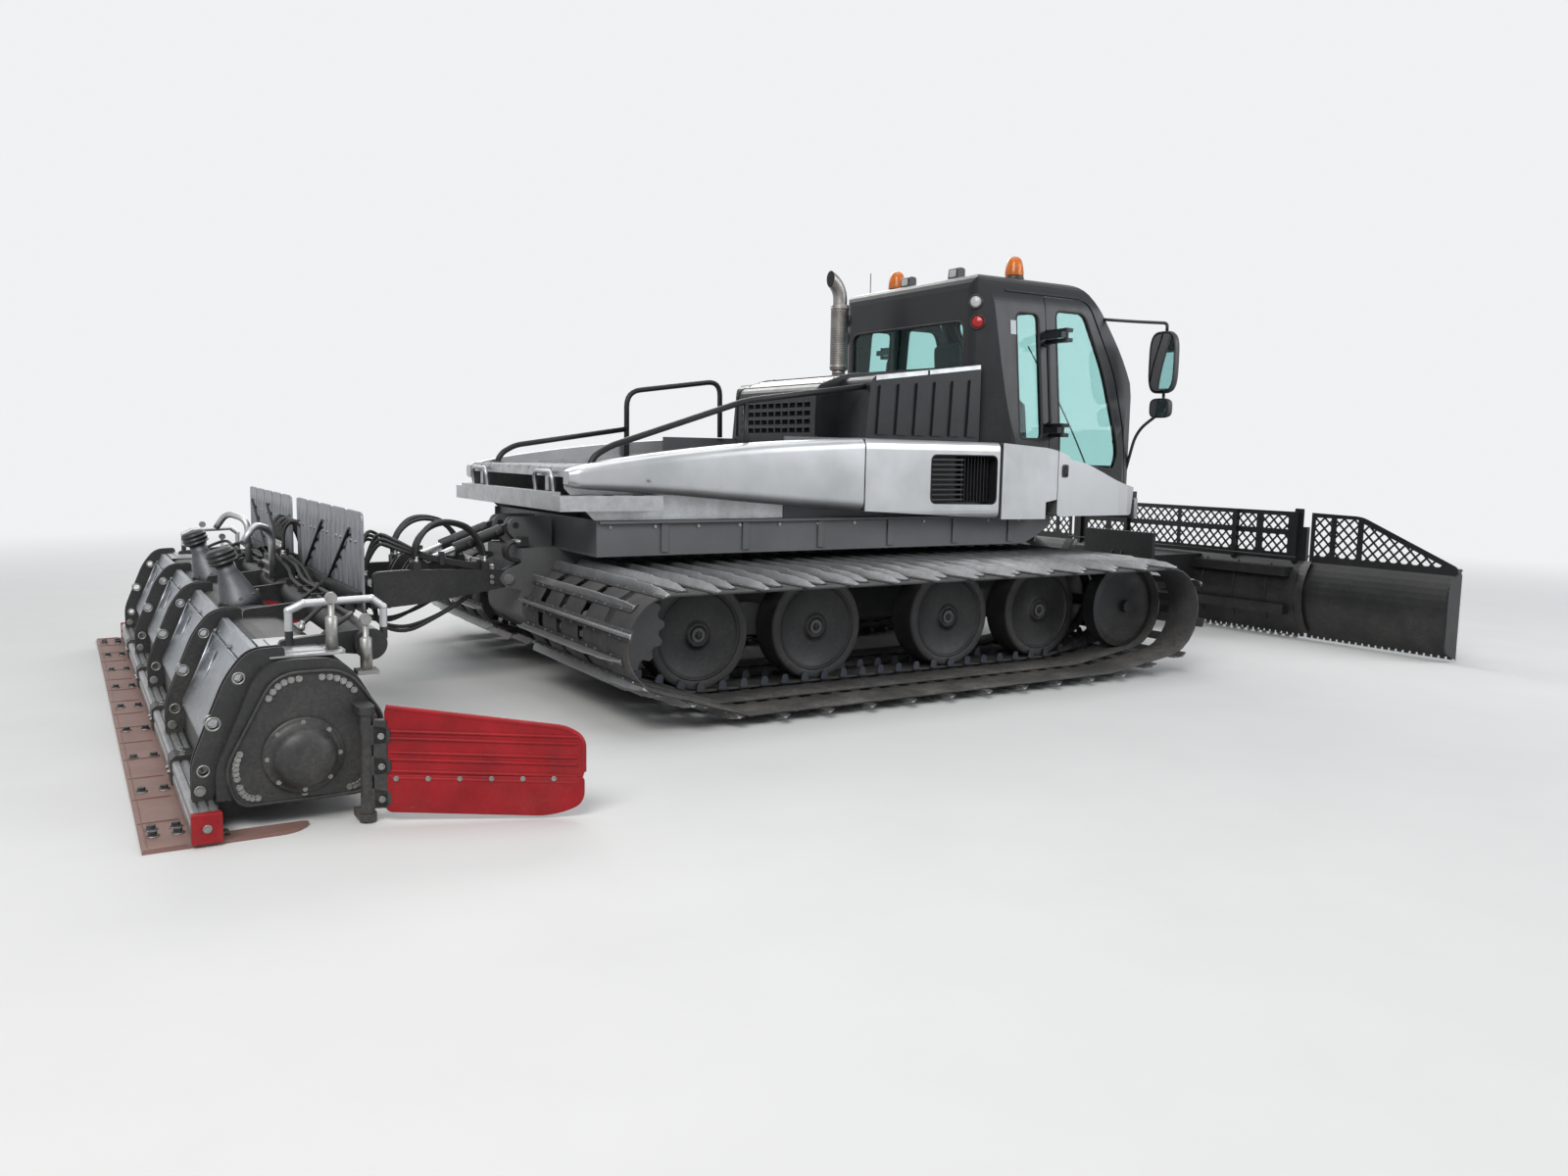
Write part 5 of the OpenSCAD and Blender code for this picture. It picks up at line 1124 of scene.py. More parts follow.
# Cab
# Outlines of the cab as the source has them: front (y, z), plan (x, y) and side (x, z)
ROOF = 2.95
FRONT = outline([(-1.05, 1.18, 0), (-1.05, 1.7, 0.1), (-0.94, 2.76, 0.06), (-0.85, ROOF, 0.09), (0.85, ROOF, 0.09),
                 (0.94, 2.76, 0.06), (1.05, 1.7, 0.1), (1.05, 1.18, 0)])
EDGE = sorted((p[1], p[0]) for p in FRONT if p[0] > 0.5)
PLAN = outline([(1.12, -0.83, 0.06), (1.35, -1.05, 0.09), (2.85, -1.05, 0.4), (2.85, 1.05, 0.4), (1.35, 1.05, 0.09),
                (1.12, 0.83, 0.06)], 8)
SIDE = outline([(1.12, 1.18, 0), (1.12, ROOF, 0.11), (2.23, ROOF, 0.15), (2.64, 2.33, 0.26), (2.85, 1.52, 0.16),
                (2.75, 1.18, 0)], 8)


def edge_y(z):
    """Half width of the cab's front outline at z"""
    for a, b in zip(EDGE, EDGE[1:]):
        if a[0] <= z <= b[0] and a[0] != b[0]:
            return a[1] + (b[1] - a[1]) * (z - a[0]) / (b[0] - a[0])
    return EDGE[-1][1] if abs(z - EDGE[-1][0]) < abs(z - EDGE[0][0]) else EDGE[0][1]


def reach(ring, key, i):
    """Farthest the ring goes in its other coordinate where its coordinate i is key"""
    best = 0.0
    for a, b in zip(ring, ring[1:] + ring[:1]):
        if min(a[i], b[i]) <= key <= max(a[i], b[i]) and abs(a[i] - b[i]) > 1e-9:
            best = max(best, abs(a[1 - i] + (b[1 - i] - a[1 - i]) * (key - a[i]) / (b[i] - a[i])))
    return best


def cab_y(x, z):
    """Half width of the cab's skin at x and z"""
    return min(edge_y(z), reach(PLAN, x, 0))


def dense(ring, step):
    """Closed ring with points at most a step apart"""
    out = []
    for i in range(len(ring)):
        a, b = Vector(ring[i]), Vector(ring[(i + 1) % len(ring)])
        n = max(1, int((b - a).length / step))
        out += [a + (b - a) * k / n for k in range(n)]
    return out


# Window openings in the side, (x, z, rounding)
DOOR_WINDOW = [(1.865, 1.56, 0.05), (2.48, 1.47, 0.06), (2.53, 1.6, 0.06), (2.375, 2.27, 0.14), (2.18, 2.71, 0.07),
               (1.865, 2.71, 0.06)]
NARROW = [(1.45, 1.71, 0.05), (1.685, 1.71, 0.05), (1.685, 2.67, 0.06), (1.45, 2.67, 0.06)]


def seals(side):
    """Window seals, door handle and grab rail of one side"""
    name = SIDES[side]
    for rows, who, body, r in ((DOOR_WINDOW, "door_seal_", "door_r" if side < 0 else "door_l", 0.011),
                               (NARROW, "window_seal_", "root", 0.011)):
        f = Form()
        ring = dense(outline(rows), 0.04)
        f.tube([(p.x, side * (cab_y(p.x, p.y) - 0.006), p.y) for p in ring], r, 8, None, True)
        f.piece(who + name, "seal", body, "black_plastic")
    # Handle of the door
    f = Form()
    f.slab(outline([(1.8, 1.42, 0.02), (1.86, 1.42, 0.02), (1.86, 1.52, 0.02), (1.8, 1.52, 0.02)], 4),
           *span(side, 1.158, 1.168), "y")
    grip = [(1.83, side * y, z) for y, z in ((1.165, 1.435), (1.185, 1.445), (1.185, 1.495), (1.165, 1.505))]
    f.tube(rounded(grip, 0.012, 4), 0.007, 10)
    f.piece("door_handle_" + name, "plastic", "door_r" if side < 0 else "door_l", "black_plastic", "", 0.001, 1)
    # Grab rail behind the door
    g = Form()
    pts = [(1.72, side * (cab_y(1.72, at) + off), z)
           for at, off, z in ((1.75, -0.004, 1.82), (1.75, 0.045, 1.84), (2.3, 0.045, 2.42), (2.4, -0.004, 2.44))]
    g.tube(rounded(pts, 0.04, 5), 0.012, 12)
    g.piece("grab_rail_" + name, "black", "root", "black_paint")


def front_bits():
    """Windscreen and rear window seals, wipers and head lamps in the nose"""
    f = Form()
    ring = dense(outline([(-0.86, 1.5, 0.12), (0.86, 1.5, 0.12), (0.81, 2.8, 0.12), (-0.81, 2.8, 0.12)]), 0.05)

    def skin_x(y, z):
        """X of the cab's front skin at y and z"""
        lo, hi = 2.0, 2.86
        for _ in range(26):
            mid = (lo + hi) / 2
            if reach(SIDE, z, 1) >= mid and reach(PLAN, mid, 0) >= abs(y):
                lo = mid
            else:
                hi = mid
        return lo

    f.tube([(skin_x(p.x, p.y) - 0.007, p.x, p.y) for p in ring], 0.013, 8, None, True)
    rear = dense(outline([(-0.74, 2.18, 0.09), (0.74, 2.18, 0.09), (0.74, 2.6, 0.09), (-0.74, 2.6, 0.09)]), 0.05)
    f.tube([(1.124, p.x, p.y) for p in rear], 0.011, 8, None, True)
    f.piece("screen_seals", "seal", "root", "black_plastic")
    w = Form()
    for y0, y1, z1 in ((-0.42, -0.06, 2.25), (0.3, 0.66, 2.2)):
        base = (skin_x(y0, 1.47) + 0.012, y0, 1.47)
        mid = (skin_x((y0 + y1) / 2, 1.8) + 0.035, (y0 + y1) / 2, 1.8)
        end = (skin_x(y1, z1) + 0.025, y1, z1)
        w.tube(curve([base, mid, end], 0.05), 0.007, 8)
        w.lathe([(0.026, -0.012), (0.026, 0.01), (0.014, 0.02)], 20, facing(base, (1, 0, 0.25)))
        low = z1 - 0.42
        blade = [(skin_x(y1 + 0.02 * k / 6 - 0.01, low + 0.84 * k / 12) + 0.013, y1 + 0.012, low + 0.7 * k / 12)
                 for k in range(13)]
        w.tube(blade, 0.006, 6)
    w.piece("wipers", "plastic", "root", "black_plastic")
    lamp, glass_f = Form(), Form()
    for s in SIDES:
        for y, r in ((0.62, 0.055), (0.76, 0.04)):
            at = facing((2.905 if y < 0.7 else 2.893, s * y, 1.2), (1, 0, 0.02))
            lamp.lathe([(r + 0.012, -0.03), (r + 0.012, 0.0), (r, 0.004), (r - 0.006, -0.004), (r - 0.012, -0.018),
                        (0.0, -0.022)], 32, at)
            glass_f.lathe([(0.0, 0.001), (r * 0.6, -0.0005), (r - 0.004, -0.003)], 32, at)
    lamp.piece("head_lamp_bowls", "chrome", "root", "exhaust_chrome")
    glass_f.piece("head_lamp_glass", "white_lens", "root", "tinted_glass")


def lamps():
    """Amber beacons with ribbed domes, work lamps, rear corner lamps and a bare plate"""
    base, dome, white, red_f = Form(), Form(), Form(), Form()
    for x, y in ((1.69, -0.65), (1.43, 0.54)):
        at = shift(x, y, ROOF)
        base.lathe([(0.077, 0.0), (0.078, 0.022), (0.073, 0.034), (0.072, 0.044), (0.066, 0.047),
                    (0.0, 0.048)], 40, at)
        dome.lathe([(0.073, 0.042), (0.0735, 0.05), (0.069, 0.09), (0.0625, 0.132), (0.059, 0.152), (0.0505, 0.17),
                    (0.036, 0.184), (0.018, 0.191), (0.0, 0.1925)], 40, at)
        for k in range(24):
            a = TAU * k / 24
            rib = [(x + q * math.cos(a), y + q * math.sin(a), ROOF + h)
                   for q, h in ((0.0725, 0.056), (0.0688, 0.092), (0.0625, 0.13))]
            dome.tube(rib, 0.0016, 5)
        base.tube([(x, y, 2.99), (x, y, 3.06)], 0.022, 12)
    for y in (-0.42, 0.2):
        base.slab(outline([(1.255, 2.952, 0.01), (1.33, 2.952, 0.01), (1.33, 3.04, 0.02), (1.262, 3.044, 0.02)], 4),
                  y - 0.06, y + 0.06, "y")
        base.box((1.285, y - 0.012, ROOF - 0.001), (1.31, y + 0.012, ROOF + 0.02))
        face = [(-0.04, 2.972, 0.008), (0.04, 2.972, 0.008), (0.04, 3.026, 0.008), (-0.04, 3.026, 0.008)]
        white.slab(outline(face, 3), 1.252, 1.2575, "x", shift(0, y, 0))
        for k in range(5):
            base.box((1.33, y - 0.05, 2.965 + 0.015 * k), (1.34, y + 0.05, 2.969 + 0.015 * k))
    for s in SIDES:
        # Lamps in the slanting rear corners of the cab
        n = Vector((-0.8, s * 0.6, 0.03)).normalized()
        at = facing((1.137, s * 0.847, 2.732), n)
        white.lathe([(0.042, -0.004), (0.042, 0.004), (0.03, 0.008), (0.0, 0.01)], 32, at)
        base.lathe([(0.056, -0.03), (0.056, 0.005), (0.046, 0.008), (0.042, -0.004)], 32, at, True)
        at = facing((1.15, s * 0.86, 2.582), n)
        red_f.lathe([(0.046, -0.004), (0.046, 0.005), (0.033, 0.01), (0.0, 0.012)], 32, at)
        base.lathe([(0.059, -0.03), (0.059, 0.006), (0.05, 0.009), (0.046, -0.004)], 32, at, True)
    # Bare plate beside the right corner lamps
    low = [(x, -cab_y(x, z) - 0.0008, z) for x, z in ((1.39, 2.5), (1.455, 2.5), (1.455, 2.605), (1.39, 2.605))]
    out_by = Vector((0, -0.0022, 0))
    plate = Form()
    plate.add(low + [tuple(Vector(p) + out_by) for p in low],
              [(0, 3, 2, 1), (4, 5, 6, 7), (0, 1, 5, 4), (1, 2, 6, 5), (2, 3, 7, 6), (3, 0, 4, 7)])
    plate.piece("bare_plate", "pale", "root", "silver_paint")
    base.piece("lamp_housings", "housing", "root", "black_plastic", "lamps")
    dome.piece("beacon_domes", "amber", "root", "amber_plastic", "lamps")
    white.piece("lamp_lenses", "white_lens", "root", "tinted_glass", "lamps")
    red_f.piece("tail_lenses", "red_lens", "root", "red_plastic", "lamps")


def roof_bits():
    """Shallow ribs on the roof, an aerial and rain gutters"""
    f = Form()
    for y in (-0.5, -0.25, 0.0, 0.25, 0.5):
        rib = [(1.38, y - 0.03, 0.02), (2.1, y - 0.03, 0.02), (2.1, y + 0.03, 0.02), (1.38, y + 0.03, 0.02)]
        f.slab(outline(rib, 4), 2.9495, 2.956, "z")
    f.tube(rounded([(1.3, 0.75, 2.93), (1.3, 0.75, 3.02), (1.3, 0.75, 3.14)], 0.01, 2), 0.004, 8)
    f.lathe([(0.022, 0.0), (0.02, 0.02), (0.006, 0.035)], 20, shift(1.3, 0.75, 2.94))
    for s in SIDES:
        pts = [(x, s * (cab_y(x, 2.83) + 0.002), 2.828) for x in (1.37, 1.6, 1.9, 2.15)]
        f.tube(pts, 0.009, 8)
    f.piece("roof_bits", "body_black", "root", "black_panel", "", 0.0015, 1)


def mirrors(side):
    """Mirrors on their arms: an oval bowl turned a little towards the driver, and its glass"""
    name = SIDES[side]
    s, n = side, 32
    f, g = Form(), Form()
    a = rounded([(2.345, s * 0.88, 2.69), (2.56, s * 1.14, 2.66), (2.745, s * 1.29, 2.65), (2.745, s * 1.29, 2.59)],
                0.1, 6)
    f.tube(a, 0.0125, 14)
    b = rounded([(2.7, s * 0.975, 1.48), (2.71, s * 1.06, 1.8), (2.745, s * 1.29, 1.96), (2.745, s * 1.29, 2.09)],
                0.12, 6)
    f.tube(b, 0.0125, 14)
    f.tube([(2.745, s * 1.29, 2.06), (2.745, s * 1.29, 2.62)], 0.011, 12)
    for cx, cz, w, h, d in ((2.745, 2.34, 0.132, 0.245, 0.045), (2.735, 1.98, 0.098, 0.078, 0.04)):
        rows = []
        for t, q in ((-1.0, 0.9), (-1.02, 0.97), (-0.9, 1.0), (-0.2, 1.0), (0.35, 0.93), (0.75, 0.72), (1.0, 0.35)):
            ring = []
            for j in range(n):
                u = TAU * j / n
                cy = math.copysign(abs(math.cos(u)) ** 0.55, math.cos(u)) * w * q
                cc = math.copysign(abs(math.sin(u)) ** 0.55, math.sin(u)) * h * (q if cz < 2.1 else 1 - (1 - q) * 0.5)
                ring.append((cx + d * t, s * 1.29 + cy, cz + cc))
            rows.append(ring)
        m = len(rows)
        f.add([p for r in rows for p in r], quads(m, n) + [tuple(range((m - 1) * n, m * n))], True)
        ring = [(p[0] + 0.003, s * 1.29 + (p[1] - s * 1.29) * 0.97, cz + (p[2] - cz) * 0.97) for p in rows[0]]
        g.add(ring, [tuple(range(n))])
    f.piece("mirror_body_" + name, "plastic", "root", "black_plastic", "mirror_" + name)
    g.piece("mirror_glass_" + name, "mirror", "root", "tinted_glass", "mirror_" + name)


# Seats and console
def pillow(f, size, at, crown=0.02, n=12):
    """Crowned cushion with tucked sides and a piped seam"""
    sx, sy, sz = size
    e = 0.32

    def point(i, j, up):
        u, v = i / n * 2 - 1, j / n * 2 - 1
        k = (1 - abs(u) ** 6) * (1 - abs(v) ** 6)
        z = sz / 2 * (max(0.0, k) ** e)
        tuck = 1 - 0.05 * (1 - max(0.0, k) ** e)
        return (u * sx / 2 * tuck, v * sy / 2 * tuck, up * z + crown * up * (1 - u * u) * (1 - v * v))

    for up in (1, -1):
        verts = [point(i, j, up) for i in range(n + 1) for j in range(n + 1)]
        m = n + 1
        faces = [(i * m + j, (i + 1) * m + j, (i + 1) * m + j + 1, i * m + j + 1) for i in range(n) for j in range(n)]
        f.add(verts, faces, True, at)
    rim = [point(i, 0, 1) for i in range(n)] + [point(n, j, 1) for j in range(n)] + \
        [point(n - i, n, 1) for i in range(n)] + [point(0, n - j, 1) for j in range(n)]
    f.tube([at @ Vector((p[0], p[1], 0)) for p in rim], 0.005, 6, None, True)


def seats():
    """Cushions, frames and bellows of both seats, and the consoles"""
    f, g = Form(), Form()
    z0 = 1.225
    for y, w in ((0.0, 0.54), (-0.62, 0.42)):
        base = shift(1.89, y, z0 + 0.265) @ turn(-4, "Y")
        pillow(f, (0.47, w - 0.02, 0.12), base, 0.012)
        for s in SIDES:
            pillow(f, (0.44, 0.09, 0.13), shift(1.88, y + s * (w / 2 - 0.055), z0 + 0.285), 0.004, 8)
        back = shift(1.655, y, z0 + 0.6) @ turn(84, "Y")
        pillow(f, (0.5, w - 0.05, 0.11), back, 0.012)
        for s in SIDES:
            pillow(f, (0.46, 0.08, 0.14), shift(1.67, y + s * (w / 2 - 0.06), z0 + 0.58) @ turn(84, "Y"), 0.004, 8)
        top = 1.16 if y == 0.0 else 0.98
        head = shift(1.585, y, z0 + top - 0.03) @ turn(86, "Y")
        pillow(f, (0.3, 0.3, 0.11), head, 0.01, 10)
        upper = shift(1.62, y, z0 + top - 0.27) @ turn(84, "Y")
        pillow(f, (0.24, w - 0.14, 0.1), upper, 0.008, 10)
        for s in SIDES:
            g.tube([(1.6, y + s * 0.06, z0 + top - 0.32), (1.592, y + s * 0.06, z0 + top - 0.14)], 0.007, 8)
            arm = y + s * (w / 2 - 0.02)
            rest = [(1.64, arm, z0 + 0.42), (1.68, arm, z0 + 0.45), (1.93, arm, z0 + 0.44)]
            g.tube(rounded(rest, 0.03, 4), 0.02, 12)
        g.box((1.72, y - w / 3, z0 + 0.001), (2.0, y + w / 3, z0 + 0.05))
        for k in range(5):
            g.box((1.735, y - w / 3 + 0.02, z0 + 0.05 + 0.028 * k), (1.985, y + w / 3 - 0.02, z0 + 0.066 + 0.028 * k))
        g.box((1.72, y - w / 3, z0 + 0.18), (2.0, y + w / 3, z0 + 0.205))
    o = f.piece("seat_cushions", "fabric", "root", "seat_fabric", "seats")
    g.piece("seat_frames", "plastic", "root", "black_plastic", "seats", 0.002, 1)
    c = Form()
    # Screen and joystick consoles by the operator's seat
    c.slab(outline([(-0.16, 1.62, 0.015), (0.1, 1.62, 0.015), (0.1, 1.8, 0.015), (-0.16, 1.8, 0.015)], 4),
           2.5, 2.525, "x",
           shift(0, 0.55, 0))
    c.tube(rounded([(2.51, 0.52, 1.45), (2.51, 0.52, 1.64)], 0.01), 0.012, 10)
    c.tube(rounded([(1.95, 0.33, 1.62), (2.02, 0.33, 1.66), (2.03, 0.33, 1.78)], 0.03, 4), 0.017, 12)
    c.slab(outline([(1.72, 1.56, 0.02), (2.05, 1.56, 0.04), (2.05, 1.64, 0.03), (1.72, 1.62, 0.02)], 4),
           0.29, 0.37, "y")
    c.slab([(1.8, 1.226), (1.9, 1.226), (1.88, 1.56), (1.8, 1.56)], 0.31, 0.35, "y")
    c.piece("consoles", "plastic", "root", "black_plastic", "", 0.002, 1)


# Hydraulic pieces
def ram(f, a, b, bore, split):
    """Cylinder details from its pinned end a towards the rod end b: base ring, gland and ports"""
    at = facing(a, (Vector(b) - Vector(a)).normalized())
    f.lathe([(bore * 1.06, 0.085), (bore * 1.06, 0.115), (bore * 1.0, 0.12)], 28, at)
    f.lathe([(bore * 1.02, split - 0.06), (bore * 1.1, split - 0.052), (bore * 1.1, split - 0.006),
             (bore * 0.8, split)], 28, at)
    for z in (0.13, split - 0.09):
        f.lathe([(0.017, 0.0), (0.017, bore + 0.028), (0.012, bore + 0.03)], 12, at @ shift(0, 0, z) @ turn(90, "Y"))


def hose(f, points, r=0.011, step=0.025):
    f.tube(curve(points, step), r, 10)


def fitting(f, point, direction, r=0.015, length=0.05):
    """Crimped hose end with its nut"""
    at = facing(point, direction)
    f.lathe([(r * 0.75, -0.004), (r * 1.2, 0.0), (r * 1.2, 0.016), (r, 0.018), (r, length * 0.7), (r * 0.92, length)],
            12, at)


# Blade
def blade_back(z):
    """X of the mouldboard's back at height z"""
    return 4.9418 - math.sqrt(max(0.0, 0.4858 ** 2 - (z - 0.395) ** 2))


def blade_bits():
    """Teeth, bolts, weld beads and lap strips of the blade's middle part"""
    f, bolts, g = Form(), Form(), Form()
    for i in range(-6, 7):
        for dy in (0.0, 0.07):
            bolts.bolt((4.621, i * 0.2 + dy, 0.075), (1, 0, 0), 0.013, 0.009)
    n = 34
    for i in range(n):
        y = -1.36 + 2.72 * (i + 0.5) / n
        f.slab([(y - 0.028, 0.021), (y + 0.028, 0.021), (y + 0.018, 0.002), (y - 0.018, 0.002)], 4.606, 4.618, "x")
    f.piece("blade_teeth", "plate", "blade", "bare_aluminium", "", 0.001, 1)
    bolts.piece("blade_bolts", "steel", "blade", "bare_aluminium")
    # Weld beads behind the mouldboard
    for y in (-1.1, -0.75, -0.4, 0.4, 0.75, 1.1):
        g.tube([(blade_back(z) - 0.004, y + 0.012, z) for z in (0.15, 0.25, 0.35, 0.45, 0.55, 0.66)], 0.005, 6)
    g.tube([(4.458, -1.38, 0.735), (4.458, 1.38, 0.735)], 0.007, 8)
    g.piece("blade_welds", "blade", "blade", "black_paint")
    # Lap strips on the middle part that stand behind the inner edges of the wings, and a stay beside each guard
    laps = Form()
    section = [(0.004, 1.325), (0.004, 1.38), (-0.009, 1.403), (-0.026, 1.484), (-0.033, 1.484), (-0.016, 1.399),
               (-0.004, 1.376), (-0.004, 1.325)]
    for s in SIDES:
        heights = [0.062 + 0.64 * i / 16 for i in range(17)]
        rings = [(blade_back(z) + dx, s * y, z) for z in heights for dx, y in section]
        n = len(section)
        faces = quads(17, n) + [tuple(range(n))[::-1], tuple(range(16 * n, 17 * n))]
        laps.add(rings, faces if s > 0 else flipped(faces))
        laps.side_box(s, (4.561, 4.596), (1.362, 1.404), (0.7, 1.0))
    laps.piece("blade_laps", "blade", "blade", "black_paint")


# Tiller
def tiller_deck():
    """Cover plates on the hood's rear slope, with raised borders, cross ribs and bolts"""
    f, g, b = Form(), Form(), Form()
    slope0, slope1 = Vector((-4.335, 0, 0.275)), Vector((-4.178, 0, 0.655))
    along = (slope1 - slope0).normalized()
    out = Vector((-along.z, 0, along.x))
    for i in range(-2, 2):
        y0, y1 = i * 1.3 + 0.06, i * 1.3 + 1.24
        a, c = slope0 + along * 0.02 + out * 0.014, slope1 - along * 0.03 + out * 0.014
        for y in (y0 + 0.03, y1 - 0.03):
            f.tube([a + Vector((0, y, 0)), c + Vector((0, y, 0))], 0.006, 8)
        for p in (a, c):
            f.tube([p + Vector((0, y0 + 0.03, 0)), p + Vector((0, y1 - 0.03, 0))], 0.006, 8)
        for y in (y0 + 0.33, y0 + 0.85):
            f.tube([a + along * 0.05 + Vector((0, y, 0)), c - along * 0.05 + Vector((0, y, 0))], 0.005, 8)
        for y in (y0 + 0.05, (y0 + y1) / 2, y1 - 0.05):
            for p in (a - along * 0.012, c + along * 0.012):
                b.bolt(tuple(p + Vector((0, y, 0)) - out * 0.004), tuple(out), 0.01, 0.006)
        g.slab([(-4.349, 0.2715), (-4.342, 0.268), (-4.155, 0.655), (-4.128, 0.7), (-4.16, 0.7005), (-4.349, 0.302)],
               y0 - 0.0015, y1 + 0.0015, "y")
    f.piece("cover_ribs", "plate", "tiller", "bare_aluminium")
    g.piece("cover_sheets", "plate", "tiller", "bare_aluminium", "", 0.004)
    b.piece("cover_bolts", "steel", "tiller", "bare_aluminium")


def tiller_beam():
    """Two-groove aluminium sections over the finisher's edge, black clamps between them, red end caps"""
    f, g, r, b = Form(), Form(), Form(), Form()
    joints = (-1.85, -0.65, 0.65, 1.85)
    section = [(-4.444, 0.028), (-4.436, 0.02), (-4.352, 0.02), (-4.344, 0.028), (-4.344, 0.118), (-4.352, 0.128),
               (-4.366, 0.128), (-4.368, 0.121), (-4.378, 0.121), (-4.38, 0.129), (-4.402, 0.129), (-4.404, 0.121),
               (-4.414, 0.121), (-4.416, 0.128), (-4.436, 0.128), (-4.444, 0.118), (-4.444, 0.085), (-4.438, 0.08),
               (-4.438, 0.066), (-4.444, 0.061)]
    cuts = [-2.84] + [y for c in joints for y in (c - 0.07, c + 0.07)] + [2.84]
    for a, c in zip(cuts[::2], cuts[1::2]):
        f.slab(section, a + 0.004, c - 0.004, "y")
    for c in joints:
        g.slab([(-4.45, 0.016), (-4.338, 0.016), (-4.332, 0.135), (-4.36, 0.15), (-4.43, 0.15), (-4.452, 0.13)],
               c - 0.07, c + 0.07, "y")
        for y in (c - 0.045, c + 0.045):
            b.bolt((-4.395, y, 0.15), (0, 0, 1), 0.013, 0.01)
            b.bolt((-4.452, y, 0.075), (-1, 0, 0), 0.011, 0.008)
    for s in SIDES:
        r.slab([(-4.449, 0.014), (-4.337, 0.014), (-4.337, 0.134), (-4.449, 0.134)], *span(s, 2.828, 2.872), "y")
        b.bolt((-4.393, s * 2.873, 0.075), (0, s, 0), 0.012, 0.008)
    f.piece("finisher_beam_bars", "alu_bar", "tiller", "bare_aluminium", "", 0.0012, 1)
    g.piece("finisher_clamps", "frame_black", "tiller", "black_paint", "", 0.002, 1)
    r.piece("finisher_caps", "red", "tiller", "red_plastic", "", 0.004)
    b.piece("finisher_bolts", "steel", "tiller", "bare_aluminium")


def mats():
    """Trailing mats: their bolts and washers, raised seams and the rear edge"""
    f, b, w = Form(), Form(), Form()
    for i in range(9):
        y = -2.62 + 5.24 * i / 8
        for x in (-4.572, -4.482):
            for d in ((-0.045, 0.045) if i in (0, 8) else (0.0,)):
                w.lathe([(0.026, 0.0), (0.026, 0.003), (0.022, 0.005), (0.0, 0.0055)], 20, shift(x, y + d, 0.0138))
                b.bolt((x, y + d, 0.019), (0, 0, 1), 0.0165, 0.014)
    for i in range(16):
        y = max(-2.84, min(2.84, -2.85 + 5.7 * i / 15))
        f.slab([(-4.6195, 0.0135), (-4.612, 0.0175), (-4.475, 0.0195), (-4.457, 0.0135)], y - 0.006, y + 0.006, "y")
    f.tube([(-4.6, -2.84, 0.0138), (-4.6, 2.84, 0.0138)], 0.0028, 6)
    f.piece("mat_seams", "mat", "tiller", "mat_rubber")
    for i in range(30):
        y = -2.85 + 5.7 * (i + 0.5) / 30
        for d in (-0.032, 0.032):
            b.bolt((-4.315, y + d, 0.0135), (0, 0, 1), 0.009, 0.006)
    b.piece("mat_bolts", "frame_black", "tiller", "bare_aluminium")
    w.piece("mat_washers", "steel", "tiller", "bare_aluminium")


def finisher_arms():
    """Hole rims and pins of the finisher's curved brackets, and the covers at the rotor's ends"""
    b = Form()
    for y in (-2.62, -1.3, 0.0, 1.3, 2.62):
        for x, z, r in ((-4.38, 0.25, 0.018), (-4.338, 0.44, 0.022), (-4.238, 0.62, 0.018)):
            for g in (-0.0335, 0.0295, -0.0255, 0.0215):
                b.lathe([(r + 0.001, g), (r + 0.009, g), (r + 0.009, g + 0.004), (r + 0.001, g + 0.004)], 20,
                        shift(x, y, z) @ turn(90, "X"), True)
        b.lathe([(0.012, -0.045), (0.012, 0.045)], 14, shift(-4.395, y, 0.17) @ turn(90, "X"))
        for g in (-1, 1):
            b.bolt((-4.395, y + g * 0.033, 0.17), (0, g, 0), 0.016, 0.009)
    b.piece("finisher_arm_pins", "steel", "tiller", "bare_aluminium")
    m, c = Form(), Form()
    mid = Vector((-4.0, 0.37))
    for s in SIDES:
        at = facing((-4.01, s * 2.716, 0.29), (0, s, 0))
        m.lathe([(0.1615, -0.001), (0.1615, 0.0145), (0.151, 0.0165), (0.132, 0.0235), (0.122, 0.061), (0.102, 0.087),
                 (0.055, 0.097), (0.0, 0.099)], 48, at)
        for k in range(8):
            a = TAU * k / 8
            c.bolt(tuple(at @ Vector((0.142 * math.cos(a), 0.142 * math.sin(a), 0.012))), (0, s, 0), 0.011, 0.008)
        rim = outline([(-4.27, 0.102, 0.06), (-3.75, 0.102, 0.06), (-3.68, 0.42, 0.06), (-3.83, 0.638, 0.09),
                       (-4.11, 0.638, 0.09), (-4.308, 0.26, 0.06)], 5)
        m.tube([(p[0], s * 2.717, p[1]) for p in dense(rim, 0.08)], 0.008, 8, None, True)
        for p in dense(rim, 0.19):
            q = mid + (p - mid) * 0.9
            c.bolt((q.x, s * 2.716, q.y), (0, s, 0), 0.01, 0.007)
    m.piece("rotor_ends", "frame_black", "tiller", "black_paint")
    c.piece("rotor_end_bolts", "steel", "tiller", "bare_aluminium")


